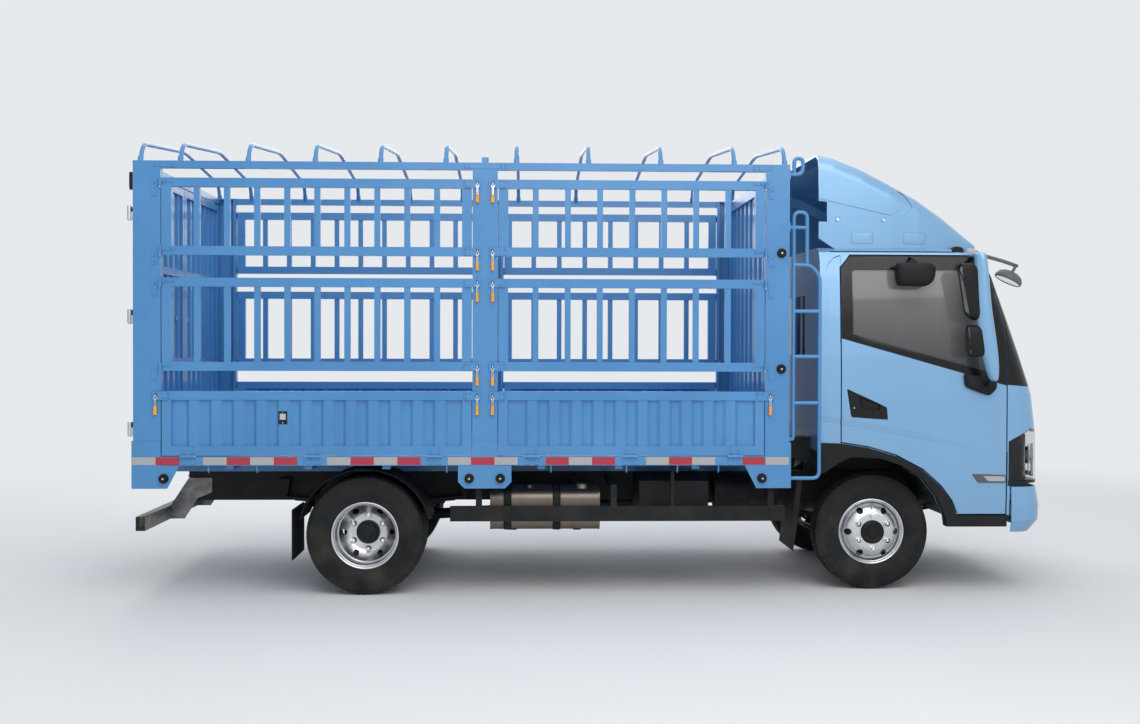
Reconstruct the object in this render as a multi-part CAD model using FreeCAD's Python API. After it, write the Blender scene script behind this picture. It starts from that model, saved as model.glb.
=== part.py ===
import FreeCAD, Part
import math
import os

# Light cab-over truck with a stake body.
# Millimetres. The truck faces +X, its left side is +Y, +Z is up, and Z = 0 is the ground under the tyres.
# The origin is on the ground under the middle of the truck.
# Pieces are drawn on the left side and mirrored for the right side.

# Axles and wheels
WHEELBASE = 3360.0
FRONT_AXLE_X = 1860.0
TYRE_RADIUS = 387.5
TYRE_WIDTH = 200.0
TREAD_WIDTH = 156.0
BEAD_RADIUS = 204.0
RIM_LIP_RADIUS = 220.0
RIM_WIDTH = 156.0
RIM_WALL = 10.0
DISC_OFFSET = 112.0
DISC_THICKNESS = 8.0
HAND_HOLE_RADIUS = 21.0
HAND_HOLE_CIRCLE = 160.0
HAND_HOLES = 6
HAND_HOLE_SIDES = 12
WHEEL_SIDES = 48
AXLE_BULB_SIDES = 24
MIRROR_SIDES = 16
FRONT_WHEEL_Y = 800.0
REAR_OUTER_WHEEL_Y = 948.0
TWIN_SPACING = 2.0 * DISC_OFFSET + 2.0
KINGPIN_Y = 640.0
HUB_RADIUS = 78.0
FRONT_HUB_INSIDE = 40.0
FRONT_HUB_OUTSIDE = 26.0
REAR_HUB_INSIDE = 180.0
REAR_HUB_OUTSIDE = 88.0
KINGPIN_RADIUS = 16.0

# Ladder frame
FRAME_HALF_WIDTH = 375.0
FRAME_TOP = 745.0
RAIL_HEIGHT = 200.0
RAIL_FLANGE = 65.0
RAIL_WALL = 6.0
FRAME_REAR_X = -2800.0
FRAME_FRONT_X = 2745.0
CROSS_MEMBER_XS = (-2780.0, -1950.0, -1050.0, -100.0, 900.0, 2690.0)
CROSS_MEMBER_WIDTH = 60.0
COUPLING_WIDTH = 160.0
COUPLING_HEIGHT = 100.0
COUPLING_HOLE_RADIUS = 8.5
SPRING_GAP = 10.0
SPRING_WIDTH = 70.0
SPRING_LEAF = 12.0
FRONT_SPRING_SPAN = 1150.0
REAR_SPRING_SPAN = 1250.0
FRONT_LEAVES = 4
REAR_LEAVES = 7
FRONT_EYE_Z = 500.0
REAR_EYE_Z = 575.0
SPRING_EYE_RADIUS = 20.0
HANGER_TOP_DROP = 45.0
FRONT_SEAT_Z = 392.0
REAR_SEAT_Z = 462.0
FRONT_BEAM_Z = 340.0
REAR_TUBE_RADIUS = 62.0
GEARBOX_REAR_X = 1000.0
PROPSHAFT_RADIUS = 38.0
PROPSHAFT_FRONT_Z = 520.0

# Side guards, underrun and what hangs on the frame
GUARD_REAR_X = -947.0
GUARD_FRONT_X = 1245.0
GUARD_OUTER_Y = 1050.0
GUARD_THICKNESS = 38.0
GUARD_BOTTOM = 482.0
GUARD_TOP = 580.0
GUARD_ARM_XS = (-760.0, 120.0, 1150.0)
GUARD_ARM_WIDTH = 40.0
UNDERRUN_REACH = 20.0
UNDERRUN_DEPTH = 60.0
UNDERRUN_HALF_WIDTH = 1000.0
UNDERRUN_BOTTOM = 418.0
UNDERRUN_TOP = 509.0
UNDERRUN_BRACKET = 10.0
TANK_REAR_X = -690.0
TANK_FRONT_X = 35.0
TANK_BOTTOM = 411.0
TANK_TOP = 677.0
TANK_INNER_Y = 520.0
TANK_OUTER_Y = 948.0
TANK_CORNER = 60.0
STRAP_INSET = 150.0
STRAP_WIDTH = 50.0
STRAP_SHEET = 4.0
MUDGUARD_RADIUS = 432.0
MUDGUARD_SHEET = 5.0
MUDFLAP_BOTTOM = 232.0

# Stake body
BODY_HALF_WIDTH = 1120.0
BODY_REAR_X = -2965.0
BODY_FRONT_X = 1254.0
DECK_TOP = 911.0
DECK_RAIL_HEIGHT = 58.0
DECK_RAIL_DEPTH = 50.0
BEARER_HEIGHT = 80.0
BEARER_WIDTH = 50.0
BEARER_COUNT = 9
FLOOR_PLATE = 6.0
POST_TOP = 2804.0
POST_DEPTH = 60.0
POST_WALL = 5.0
REAR_POST_WIDTH = 175.0
MID_POST_X = -719.5
MID_POST_WIDTH = 161.0
FRONT_POST_WIDTH = 156.0
SLEEVE_TOP = 1012.0
SLEEVE_WALL = 4.0
SKIRT_BOTTOM = 705.0
ROOF_RAIL_HEIGHT = 47.0
ROOF_RAIL_DEPTH = 40.0
LADDER_INSET = 35.0
LADDER_TUBE_RADIUS = 12.5
BOW_RADIUS = 14.0
BOW_FOOT_INSET = 22.0
BOW_BEND_INSET = 90.0
BOW_BEND_Z = 2922.0
BOW_RIDGE_Z = 3018.0
BOW_XS = (-2925.0, -2671.0, -2240.0, -1812.0, -1393.0, -973.0, -519.0, -53.0, 417.0, 895.0, 1225.0)

# Hinged gates and drop boards
GATE_CLEARANCE = 6.0
GATE_DEPTH = 40.0
GATE_STILE = 62.0
GATE_BAR = 38.0
GATE_BAR_DEPTH = 30.0
GATE_RAIL_HEIGHT = 58.0
UPPER_GATE_BOTTOM = 2202.0
UPPER_GATE_TOP = 2696.0
LOWER_GATE_BOTTOM = 1461.0
LOWER_GATE_TOP = 2058.0
REAR_BAY_BARS = 9
FRONT_BAY_BARS = 7
BOARD_BOTTOM = 917.0
BOARD_TOP = 1331.0
BOARD_TOP_RAIL = 57.0
BOARD_BOTTOM_RAIL = 62.0
BOARD_STILE = 60.0
RIB_PITCH = 143.0
RIB_CREST = 58.0
RIB_SLOPE = 20.0
RIB_HEIGHT = 16.0
SHEET = 3.0
KNUCKLE_RADIUS = 9.0
KNUCKLE_STANDOFF = 12.0
SEAT_GAP = 0.3
GATE_KNUCKLE = 42.0
HINGE_STRAP = 80.0
STRAP_THICKNESS = 5.0
STRAP_HEIGHT = 36.0
BOARD_HINGE_WIDTH = 90.0
BOARD_HINGE_PLACES = {
    # distance from the rear end of the bay, past its middle, and from its front end
    "rear": (175.0, -27.0, 243.0),
    "front": (222.0, -10.5, 195.0),
}
LATCH_REACH = 31.0
LATCH_TAB_HEIGHT = 54.0
LATCH_TAB_WALL = 5.0
LATCH_LIFT = 6.0
STAPLE_HEIGHT = 22.0
STAPLE_WIDTH = 8.0
STAPLE_LENGTH = 22.0
STAPLE_CLEARANCE = 5.0
LEVER_LENGTH = 95.0
LEVER_WIDTH = 10.0
GRIP_LENGTH = 52.0
GRIP_WIDTH = 17.0
BUFFER_RADIUS = 27.5
BUFFER_SIDES = 16
BUFFER_LENGTH = 26.0
BUFFER_Z = 770.0
BUFFER_REACH = 20.0
BUFFER_SPACING = 200.0
POST_BUFFER_ZS = (2231.0, 1479.0)
POST_BUFFER_X = 104.0
POST_BUFFER_LENGTH = 18.0

# Rear doors and front wall
REAR_DOOR_BOTTOM = 918.0
REAR_DOOR_TOP = 2745.0
REAR_DOOR_DEPTH = 40.0
REAR_DOOR_FRAME = 50.0
REAR_DOOR_GAP = 10.0
REAR_HINGE_STANDOFF = 22.0
REAR_HINGE_RADIUS = 11.0
REAR_HINGE_Y = BODY_HALF_WIDTH + 4.0
REAR_HINGE_ZS = (1090.0, 1810.0, 2470.0)
REAR_HINGE_LENGTH = 44.0
LOCK_ROD_RADIUS = 11.0
LOCK_ROD_STANDOFF = 22.0
WALL_RIB_PITCH = 190.0

# Cab
CAB_BACK_X = 1484.0
CAB_BOTTOM = 512.0
CAB_WALL = 50.0
CAB_FLOOR = 960.0
CAB_FLOOR_BOTTOM = 925.0
CAB_LEVELS = (
    # height, front at the middle, bulge of the front, half width, corner radius
    (512.0, 2978.0, 16.0, 1008.0, 150.0),
    (740.0, 2982.0, 16.0, 1018.0, 150.0),
    (1040.0, 2982.0, 20.0, 1020.0, 150.0),
    (1310.0, 2966.0, 34.0, 1020.0, 152.0),
    (1560.0, 2895.0, 44.0, 1014.0, 150.0),
    (1830.0, 2812.0, 52.0, 1000.0, 148.0),
    (2091.0, 2728.0, 58.0, 981.0, 146.0),
    (2200.0, 2684.0, 60.0, 968.0, 142.0),
    (2252.0, 2622.0, 62.0, 940.0, 140.0),
    (2283.0, 2500.0, 62.0, 890.0, 130.0),
)
ARCH_INNER = (
    (1500.0, 789.0), (1607.0, 860.0), (1690.0, 898.0), (1880.0, 889.0), (2046.0, 836.0), (2166.0, 753.0),
    (2261.0, 635.0), (2322.0, 500.0), (2330.0, 400.0))
ARCH_OUTER = (
    (1484.0, 995.0), (1618.0, 990.0), (1800.0, 962.0), (1986.0, 907.0), (2166.0, 812.0), (2285.0, 706.0),
    (2357.0, 611.0), (2400.0, 505.0))
DEFLECTOR_STATIONS = (
    # place along the cab, half width, top
    (1491.0, 905.0, 2915.0),
    (1590.0, 905.0, 2895.0),
    (1780.0, 902.0, 2822.0),
    (1980.0, 896.0, 2722.0),
    (2168.0, 884.0, 2622.0),
    (2355.0, 862.0, 2499.0),
    (2498.0, 838.0, 2376.0),
    (2570.0, 820.0, 2312.0),
)
DEFLECTOR_BASE = 2284.0
DEFLECTOR_WALL = 10.0
COLUMN_RADIUS = 24.0
COLUMN_LENGTH = 380.0
DOOR_GAP = 8.0
CREASE = (
    # place along the cab, height of the line, depth, height of the fade above it
    (1400.0, 1150.0, 7.0, 46.0),
    (1613.0, 1110.0, 7.0, 46.0),
    (1879.0, 1063.0, 6.5, 44.0),
    (2150.0, 1017.0, 5.5, 40.0),
    (2359.0, 978.0, 4.0, 34.0),
    (2560.0, 947.0, 1.5, 24.0),
    (2680.0, 931.0, 0.2, 12.0),
)
PILLAR_PANEL = (
    (1528.0, 1700.0), (1536.0, 1664.0), (1562.0, 1646.0), (1625.0, 1640.0), (1625.0, 2232.0), (1580.0,
                                                                                               2216.0),
    (1542.0, 2178.0), (1528.0, 2130.0))
PILLAR_RECESS = 5.0
HANDLE_POCKET = ((1658.0, 1348.0), (1688.0, 1160.0), (1932.0, 1143.0), (1924.0, 1225.0), (1870.0, 1252.0))
HANDLE_DEPTH = 16.0
DEFLECTOR_CHANNEL = (
    (1400.0, 2632.0), (1971.0, 2505.0), (2036.0, 2540.0), (2054.0, 2604.0), (2030.0, 2668.0), (2066.0,
                                                                                               2656.0),
    (2098.0, 2612.0), (2126.0, 2562.0), (2092.0, 2520.0), (2020.0, 2492.0), (1900.0, 2482.0), (1400.0,
                                                                                               2500.0))
DEFLECTOR_CHANNEL_DEPTH = 5.0
DOOR_REAR_X = 1617.0
DOOR_FRONT_X = 2730.0
DOOR_TOP = 2236.0
DOOR_HINGE_X = 2716.0
DOOR_HINGE_Y = 1012.0
GLASS_THICKNESS = 6.0
GLASS_RECESS = 10.0
SILL_BOTTOM = 436.0
TILT_PIVOT_X = 2815.0
TILT_PIVOT_Z = 800.0
BUMPER_TOP = 700.0
BUMPER_GAP = 24.0
BUMPER_BOTTOM = 400.0
BUMPER_FRONT_X = 3000.0
BUMPER_REAR_X = 2758.0
BUMPER_WALL = 7.0
BUMPER_HALF_WIDTH = 1026.0

# Worked out from the sizes above
REAR_AXLE_X = FRONT_AXLE_X - WHEELBASE
REAR_INNER_WHEEL_Y = REAR_OUTER_WHEEL_Y - TWIN_SPACING
SPRING_Y = FRAME_HALF_WIDTH + SPRING_GAP + SPRING_WIDTH / 2
BOW_FOOT_Y = BODY_HALF_WIDTH - BOW_FOOT_INSET
BOW_BEND_Y = BODY_HALF_WIDTH - BOW_BEND_INSET
LADDER_Y = LADDER_INSET - BODY_HALF_WIDTH
REAR_POST = (BODY_REAR_X, BODY_REAR_X + REAR_POST_WIDTH)
MID_POST = (MID_POST_X - MID_POST_WIDTH / 2, MID_POST_X + MID_POST_WIDTH / 2)
FRONT_POST = (BODY_FRONT_X - FRONT_POST_WIDTH, BODY_FRONT_X)
HINGE_Y = BODY_HALF_WIDTH + KNUCKLE_STANDOFF
BOARD_HINGE_Z = DECK_TOP + 1.0
RAIL_BOTTOM = FRAME_TOP - RAIL_HEIGHT
SPRINGS = (
    (FRONT_AXLE_X, FRONT_SPRING_SPAN, FRONT_EYE_Z),
    (REAR_AXLE_X, REAR_SPRING_SPAN, REAR_EYE_Z),
)
ROOF_TOP = CAB_LEVELS[-1][0]
DECK_RAIL_BOTTOM = DECK_TOP - DECK_RAIL_HEIGHT
BEARER_TOP = DECK_TOP - FLOOR_PLATE
BEARER_BOTTOM = BEARER_TOP - BEARER_HEIGHT
LATCH_ROWS = (
    UPPER_GATE_TOP - GATE_RAIL_HEIGHT / 2,
    UPPER_GATE_BOTTOM + GATE_RAIL_HEIGHT / 2,
    LOWER_GATE_TOP - GATE_RAIL_HEIGHT / 2,
    LOWER_GATE_BOTTOM + GATE_RAIL_HEIGHT / 2,
)
BOARD_LATCH_Z = BOARD_TOP - 30.0
BAY_ENDS = {"rear": (REAR_POST[1], MID_POST[0]), "front": (MID_POST[1], FRONT_POST[0])}
BOARD_HINGE_XS = {}
for bay_name, (bay_x0, bay_x1) in BAY_ENDS.items():
    first, middle, last = BOARD_HINGE_PLACES[bay_name]
    BOARD_HINGE_XS[bay_name] = (bay_x0 + first, (bay_x0 + bay_x1) / 2 + middle, bay_x1 - last)
BAYS = {
    "rear": (*BAY_ENDS["rear"], REAR_BAY_BARS, BOARD_HINGE_XS["rear"]),
    "front": (*BAY_ENDS["front"], FRONT_BAY_BARS, BOARD_HINGE_XS["front"]),
}

os.makedirs("parts", exist_ok=True)


# Helpers

def vec(x, y, z):
    return FreeCAD.Vector(x, y, z)


def block(x0, x1, y0, y1, z0, z1):
    return Part.makeBox(x1 - x0, y1 - y0, z1 - z0, vec(x0, y0, z0))


def rod(x, y, z, radius, length, axis):
    return Part.makeCylinder(radius, length, vec(x, y, z), axis)


def plate_xz(points, y0, y1):
    """A flat plate with its outline in the XZ plane."""
    loop = [vec(x, y0, z) for x, z in points]
    face = Part.Face(Part.makePolygon(loop + loop[:1]))
    return face.extrude(vec(0, y1 - y0, 0))


def plate_yz(points, x0, x1):
    loop = [vec(x0, y, z) for y, z in points]
    face = Part.Face(Part.makePolygon(loop + loop[:1]))
    return face.extrude(vec(x1 - x0, 0, 0))


def plate_xy(points, z0, z1):
    loop = [vec(x, y, z0) for x, y in points]
    face = Part.Face(Part.makePolygon(loop + loop[:1]))
    return face.extrude(vec(0, 0, z1 - z0))


def joined(pieces):
    """Pieces welded into one solid."""
    whole = pieces[0].fuse(pieces[1:])
    return whole.removeSplitter()


def group(pieces):
    """Separate solids that share a node."""
    return Part.makeCompound(pieces)


def to_right(shape):
    return shape.mirror(vec(0, 0, 0), vec(0, 1, 0))


def both(shape):
    return [shape, to_right(shape)]


def save(name, shape):
    shape.exportStep("parts/" + name + ".step")


def save_sides(name, shape):
    save(name + "_left", shape)
    save(name + "_right", to_right(shape))


def eight_sided(centre, radius, axis_name, length):
    """A folded hinge eye or a thin tube, eight-sided, that starts at centre and runs along an axis."""
    flat = radius / math.cos(math.pi / 8)
    turns = [math.pi / 8 + i * math.pi / 4 for i in range(8)]
    ring = [(flat * math.cos(t), flat * math.sin(t)) for t in turns]
    x, y, z = centre
    if axis_name == "x":
        return plate_yz([(y + a, z + b) for a, b in ring], x, x + length)
    if axis_name == "y":
        return plate_xz([(x + a, z + b) for a, b in ring], y, y + length)
    return plate_xy([(x + a, y + b) for a, b in ring], z, z + length)


def tube_run(points, radius):
    """A thin tube along straight runs with mitred bends."""
    path = Part.makePolygon([vec(*p) for p in points])
    start = vec(*points[0])
    along = (vec(*points[1]) - start).normalize()
    side = along.cross(vec(0, 0, 1))
    if side.Length < 0.2:
        side = along.cross(vec(1, 0, 0))
    side.normalize()
    up = side.cross(along)
    flat = radius / math.cos(math.pi / 8)
    ring = []
    for i in range(8):
        turn = math.pi / 8 + i * math.pi / 4
        ring.append(start + side * (flat * math.cos(turn)) + up * (flat * math.sin(turn)))
    profile = Part.makePolygon(ring + ring[:1])
    return path.makePipeShell([profile], True, False, 1)


def ring_of(profile, centre_y, sides=WHEEL_SIDES):
    """A ring about the Y axis from a closed section of (offset along Y, radius) points.

    It has flats all round: they lie at the given radius, and one of them faces the ground.
    """
    step = 2 * math.pi / sides
    stretch = 1.0 / math.cos(step / 2)
    faces = []
    for k in range(sides):
        corners = []
        for turn in ((k - 0.5) * step, (k + 0.5) * step):
            x = stretch * math.sin(turn)
            z = -stretch * math.cos(turn)
            corners.append([vec(r * x, centre_y + a, r * z) for a, r in profile])
        for i in range(len(profile)):
            j = (i + 1) % len(profile)
            if profile[i][1] == 0 and profile[j][1] == 0:
                continue
            loop = [corners[0][i], corners[0][j]]
            if profile[j][1] > 0:
                loop.append(corners[1][j])
            if profile[i][1] > 0:
                loop.append(corners[1][i])
            faces.append(Part.Face(Part.makePolygon(loop + loop[:1])))
    ring = Part.Solid(Part.Shell(faces))
    if ring.Volume < 0:
        ring.reverse()
    return ring


def at_axle(shape, axle_x):
    moved = shape.copy()
    moved.translate(vec(axle_x, 0, TYRE_RADIUS))
    return moved


def wave(length, pitch, crest, slope, height, wall):
    """The cross-section of a ribbed sheet: (along, out) points, with every rib whole."""
    count = int((length - crest) // pitch)
    margin = (length - count * pitch) / 2
    front = [(0.0, 0.0)]
    for i in range(count):
        middle = margin + (i + 0.5) * pitch
        half = crest / 2
        front.append((middle - half - slope, 0.0))
        front.append((middle - half, height))
        front.append((middle + half, height))
        front.append((middle + half + slope, 0.0))
    front.append((length, 0.0))
    back = [(a, b - wall) for a, b in reversed(front)]
    return front + back


# Wheels

def tyre(centre_y):
    half = TYRE_WIDTH / 2
    bead = BEAD_RADIUS + SEAT_GAP
    belly = (TYRE_RADIUS + BEAD_RADIUS) / 2
    outer = [
        (RIM_WIDTH / 2 - 12.0, bead),
        (half, belly),
        (half - 6.0, TYRE_RADIUS - 24.0),
        (TREAD_WIDTH / 2, TYRE_RADIUS),
    ]
    profile = outer + [(-a, r) for a, r in reversed(outer)]
    return ring_of(profile, centre_y)


def wheel_section(centre_y, out):
    """Disc and rim in section: from the hub at the mounting face, round the rim, and back to the hub.

    out is +1 where the disc bulges away from the truck.
    """
    half = RIM_WIDTH / 2
    wall = BEAD_RADIUS - RIM_WALL
    face = DISC_OFFSET
    back = DISC_OFFSET - DISC_THICKNESS
    points = [
        (face, HUB_RADIUS), (face, 128.0), (face - 8.0, 148.0), (face - 34.0, 176.0), (46.0, wall),
        (half, wall), (half, RIM_LIP_RADIUS), (half - 8.0, BEAD_RADIUS), (-half + 8.0, BEAD_RADIUS),
        (-half, RIM_LIP_RADIUS), (-half, wall), (34.0, wall), (back - 34.0, 169.0), (back - 8.0, 142.0),
        (back, 124.0), (back, HUB_RADIUS)]
    return [(centre_y + out * a, r) for a, r in points]


def hand_holes(y0, y1):
    """Twelve-sided cutters for the hand holes of a disc."""
    cuts = []
    for i in range(HAND_HOLES):
        turn = 2 * math.pi * (i + 0.5) / HAND_HOLES
        x = HAND_HOLE_CIRCLE * math.sin(turn)
        z = HAND_HOLE_CIRCLE * math.cos(turn)
        ring = []
        for k in range(HAND_HOLE_SIDES):
            angle = 2 * math.pi * k / HAND_HOLE_SIDES
            ring.append((x + HAND_HOLE_RADIUS * math.cos(angle), z + HAND_HOLE_RADIUS * math.sin(angle)))
        cuts.append(plate_xz(ring, y0, y1))
    return cuts


def build_wheels():
    front_tyre = at_axle(tyre(FRONT_WHEEL_Y), FRONT_AXLE_X)
    save_sides("tyre_front", front_tyre)
    hub_in = FRONT_WHEEL_Y - FRONT_HUB_INSIDE
    hub_out = FRONT_WHEEL_Y + DISC_OFFSET + FRONT_HUB_OUTSIDE
    section = [(hub_out, 0.0), (hub_out, HUB_RADIUS)] + wheel_section(FRONT_WHEEL_Y, 1)
    section += [(hub_in, HUB_RADIUS), (hub_in, 0.0)]
    front = ring_of(section, 0.0).cut(hand_holes(FRONT_WHEEL_Y, hub_out))
    save_sides("rim_front", at_axle(front, FRONT_AXLE_X))
    outer_tyre = at_axle(tyre(REAR_OUTER_WHEEL_Y), REAR_AXLE_X)
    inner_tyre = at_axle(tyre(REAR_INNER_WHEEL_Y), REAR_AXLE_X)
    save_sides("tyres_rear", group([outer_tyre, inner_tyre]))
    # The two rear wheels stand back to back on one hub.
    face_y = REAR_OUTER_WHEEL_Y - DISC_OFFSET
    hub_in = face_y - REAR_HUB_INSIDE
    hub_out = face_y + REAR_HUB_OUTSIDE
    section = [(hub_out, 0.0), (hub_out, HUB_RADIUS)] + wheel_section(REAR_OUTER_WHEEL_Y, -1)[::-1]
    section += wheel_section(REAR_INNER_WHEEL_Y, 1) + [(hub_in, HUB_RADIUS), (hub_in, 0.0)]
    rear = ring_of(section, 0.0).cut(hand_holes(face_y + 1.0 - TWIN_SPACING / 2, face_y + TWIN_SPACING / 2))
    save_sides("rims_rear", at_axle(rear, REAR_AXLE_X))


# Chassis

def channel_rail():
    """One side rail of the ladder frame: a channel open to the inside."""
    outer = FRAME_HALF_WIDTH
    inner = outer - RAIL_FLANGE
    top = FRAME_TOP
    low = RAIL_BOTTOM
    section = [
        (outer, low), (outer, top), (inner, top), (inner, top - RAIL_WALL),
        (outer - RAIL_WALL, top - RAIL_WALL), (outer - RAIL_WALL, low + RAIL_WALL),
        (inner, low + RAIL_WALL), (inner, low)]
    return plate_yz(section, FRAME_REAR_X, FRAME_FRONT_X)


def cross_member(x):
    """A pressed cross member, open to the rear, between the webs of the rails."""
    half = FRAME_HALF_WIDTH - RAIL_WALL
    low = RAIL_BOTTOM + RAIL_WALL + 20.0
    top = FRAME_TOP - RAIL_WALL - 20.0
    w = CROSS_MEMBER_WIDTH / 2
    section = [
        (x - w, low), (x + w, low), (x + w, top), (x - w, top), (x - w, top - RAIL_WALL),
        (x + w - RAIL_WALL, top - RAIL_WALL), (x + w - RAIL_WALL, low + RAIL_WALL), (x - w, low + RAIL_WALL)]
    return plate_xz(section, -half, half)


def spring_eye_xs(axle_x, span):
    return (axle_x - span / 2, axle_x + span / 2)


def build_frame():
    pieces = both(channel_rail())
    for x in CROSS_MEMBER_XS:
        pieces.append(cross_member(x))
    for axle_x, span, eye_z in SPRINGS:
        for x in spring_eye_xs(axle_x, span):
            top = FRAME_TOP - HANGER_TOP_DROP
            seat = eye_z + SPRING_EYE_RADIUS + SEAT_GAP
            hanger = plate_xz([(x - 38.0, top), (x + 38.0, top), (x + 22.0, seat), (x - 22.0, seat)],
                              FRAME_HALF_WIDTH, SPRING_Y + SPRING_WIDTH / 2)
            pieces += both(hanger)
    # The towers at the front carry the tilt pivots of the cab.
    tower_y0 = FRAME_HALF_WIDTH - 60.0
    tower = plate_xz([
        (FRAME_FRONT_X - 90.0, FRAME_TOP), (FRAME_FRONT_X, FRAME_TOP), (TILT_PIVOT_X + 24.0,
                                                                        TILT_PIVOT_Z - 30.0),
        (TILT_PIVOT_X + 24.0, TILT_PIVOT_Z + 22.0), (TILT_PIVOT_X - 24.0, TILT_PIVOT_Z + 22.0)],
        tower_y0, FRAME_HALF_WIDTH)
    pieces += both(tower)
    # The rear cab mount stands on the frame behind the engine.
    mount_leg = block(1520.0, 1580.0, FRAME_HALF_WIDTH - 60.0, FRAME_HALF_WIDTH, FRAME_TOP,
                      CAB_FLOOR_BOTTOM - SEAT_GAP)
    pieces += both(mount_leg)
    frame = joined(pieces)
    # Four bolt holes in the rear cross member take a tow coupling.
    web_x = CROSS_MEMBER_XS[0] + CROSS_MEMBER_WIDTH / 2
    middle_z = (FRAME_TOP + RAIL_BOTTOM) / 2
    holes = []
    for y in (-COUPLING_WIDTH / 2, COUPLING_WIDTH / 2):
        for z in (middle_z - COUPLING_HEIGHT / 2, middle_z + COUPLING_HEIGHT / 2):
            holes.append(rod(web_x - 20.0, y, z, COUPLING_HOLE_RADIUS, 40.0, vec(1, 0, 0)))
    save("chassis_frame", frame.cut(holes))


def leaf_pack(spring, leaves, seat_z):
    """A pack of leaves, each shorter than the one above, with rolled eyes, clamped on the axle at seat_z."""
    axle_x, span, eye_z = spring
    y0 = SPRING_Y - SPRING_WIDTH / 2
    y1 = SPRING_Y + SPRING_WIDTH / 2
    top = seat_z + leaves * SPRING_LEAF
    pieces = []
    for i in range(leaves):
        half = span / 2 * (1.0 - 0.8 * i / leaves)
        z_mid = top - (i + 1) * SPRING_LEAF
        rise = (eye_z - top + SPRING_LEAF / 2) * (2 * half / span) ** 2
        points = [
            (axle_x - half, z_mid + rise), (axle_x - half / 2, z_mid + rise / 4), (axle_x, z_mid),
            (axle_x + half / 2, z_mid + rise / 4), (axle_x + half, z_mid + rise)]
        upper = [(x, z + SPRING_LEAF) for x, z in reversed(points)]
        pieces.append(plate_xz(points + upper, y0, y1))
    for x in spring_eye_xs(axle_x, span):
        pieces.append(eight_sided((x, y0, eye_z), SPRING_EYE_RADIUS, "y", SPRING_WIDTH))
    pieces.append(block(axle_x - 60.0, axle_x + 60.0, y0 - 10.0, y1 + 10.0, seat_z - 2.0, top + 14.0))
    return joined(pieces)


def build_suspension():
    packs = both(leaf_pack(SPRINGS[0], FRONT_LEAVES, FRONT_SEAT_Z))
    packs += both(leaf_pack(SPRINGS[1], REAR_LEAVES, REAR_SEAT_Z))
    save("leaf_springs", group(packs))
    # Dropped front beam: low in the middle, up at the kingpins, which its round ends hold.
    top = TYRE_RADIUS
    end = KINGPIN_Y
    beam = plate_yz([
        (-end, top - 45.0), (-520.0, top - 45.0), (-430.0, FRONT_BEAM_Z - 40.0),
        (430.0, FRONT_BEAM_Z - 40.0), (520.0, top - 45.0), (end, top - 45.0),
        (end, top + 45.0), (500.0, top + 30.0), (470.0, FRONT_SEAT_Z - 2.0),
        (-470.0, FRONT_SEAT_Z - 2.0), (-500.0, top + 30.0), (-end, top + 45.0)],
        FRONT_AXLE_X - 30.0, FRONT_AXLE_X + 30.0)
    eyes = both(rod(FRONT_AXLE_X, end, top - 45.0, 30.0, 90.0, vec(0, 0, 1)))
    bores = both(rod(FRONT_AXLE_X, end, top - 60.0, KINGPIN_RADIUS + SEAT_GAP, 120.0, vec(0, 0, 1)))
    save("front_axle_beam", joined([beam] + eyes).cut(bores))
    tube_half = REAR_OUTER_WHEEL_Y - DISC_OFFSET - REAR_HUB_INSIDE - SEAT_GAP
    tube = rod(REAR_AXLE_X, -tube_half, TYRE_RADIUS, REAR_TUBE_RADIUS, 2 * tube_half, vec(0, 1, 0))
    half_bulb = [(150.0, 0.0), (120.0, 90.0), (45.0, 165.0)]
    bulb_section = half_bulb + [(-a, r) for a, r in reversed(half_bulb)]
    bulb = at_axle(ring_of(bulb_section, 0.0, AXLE_BULB_SIDES), REAR_AXLE_X)
    seats = []
    for side in (-1, 1):
        y = side * SPRING_Y
        seats.append(block(REAR_AXLE_X - 55.0, REAR_AXLE_X + 55.0, y - 40.0, y + 40.0,
                           TYRE_RADIUS, REAR_SEAT_Z - 2.0))
    nose = rod(REAR_AXLE_X + 100.0, 0, TYRE_RADIUS + 4.0, 70.0, 150.0, vec(1, 0, 0))
    # The shaft is cut square where it meets the gearbox.
    shaft_start = vec(REAR_AXLE_X + 240.0, 0, TYRE_RADIUS + 4.0)
    run = vec(GEARBOX_REAR_X, 0, PROPSHAFT_FRONT_Z) - shaft_start
    gearbox = block(GEARBOX_REAR_X - SEAT_GAP, GEARBOX_REAR_X + 100.0, -200.0, 200.0, 400.0, 700.0)
    shaft = Part.makeCylinder(PROPSHAFT_RADIUS, run.Length + 20.0, shaft_start, run).cut(gearbox)
    save("rear_axle", joined([tube, bulb, nose, shaft] + seats))


def build_engine():
    block_part = block(1560.0, 2380.0, -260.0, 260.0, 470.0, 900.0)
    sump = block(1640.0, 2200.0, -180.0, 180.0, 400.0, 470.0)
    bell = plate_xz([
        (1560.0, 430.0), (1560.0, 800.0), (1400.0, 700.0), (GEARBOX_REAR_X, 620.0), (GEARBOX_REAR_X, 430.0)],
        -170.0, 170.0)
    fan = rod(2380.0, 0, 640.0, 210.0, 60.0, vec(1, 0, 0))
    web_y = FRAME_HALF_WIDTH - RAIL_WALL - SEAT_GAP
    mounts = both(block(1900.0, 1990.0, 260.0, web_y, 600.0, 660.0))
    radiator = block(2520.0, 2590.0, -300.0, 300.0, 560.0, 900.0)
    web_x = CROSS_MEMBER_XS[-1] + CROSS_MEMBER_WIDTH / 2 - RAIL_WALL - SEAT_GAP
    radiator_feet = block(2520.0, web_x, -120.0, 120.0, 590.0, 650.0)
    save("engine_gearbox", group([joined([block_part, sump, bell, fan] + mounts), joined([radiator,
                                                                                          radiator_feet])]))


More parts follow.
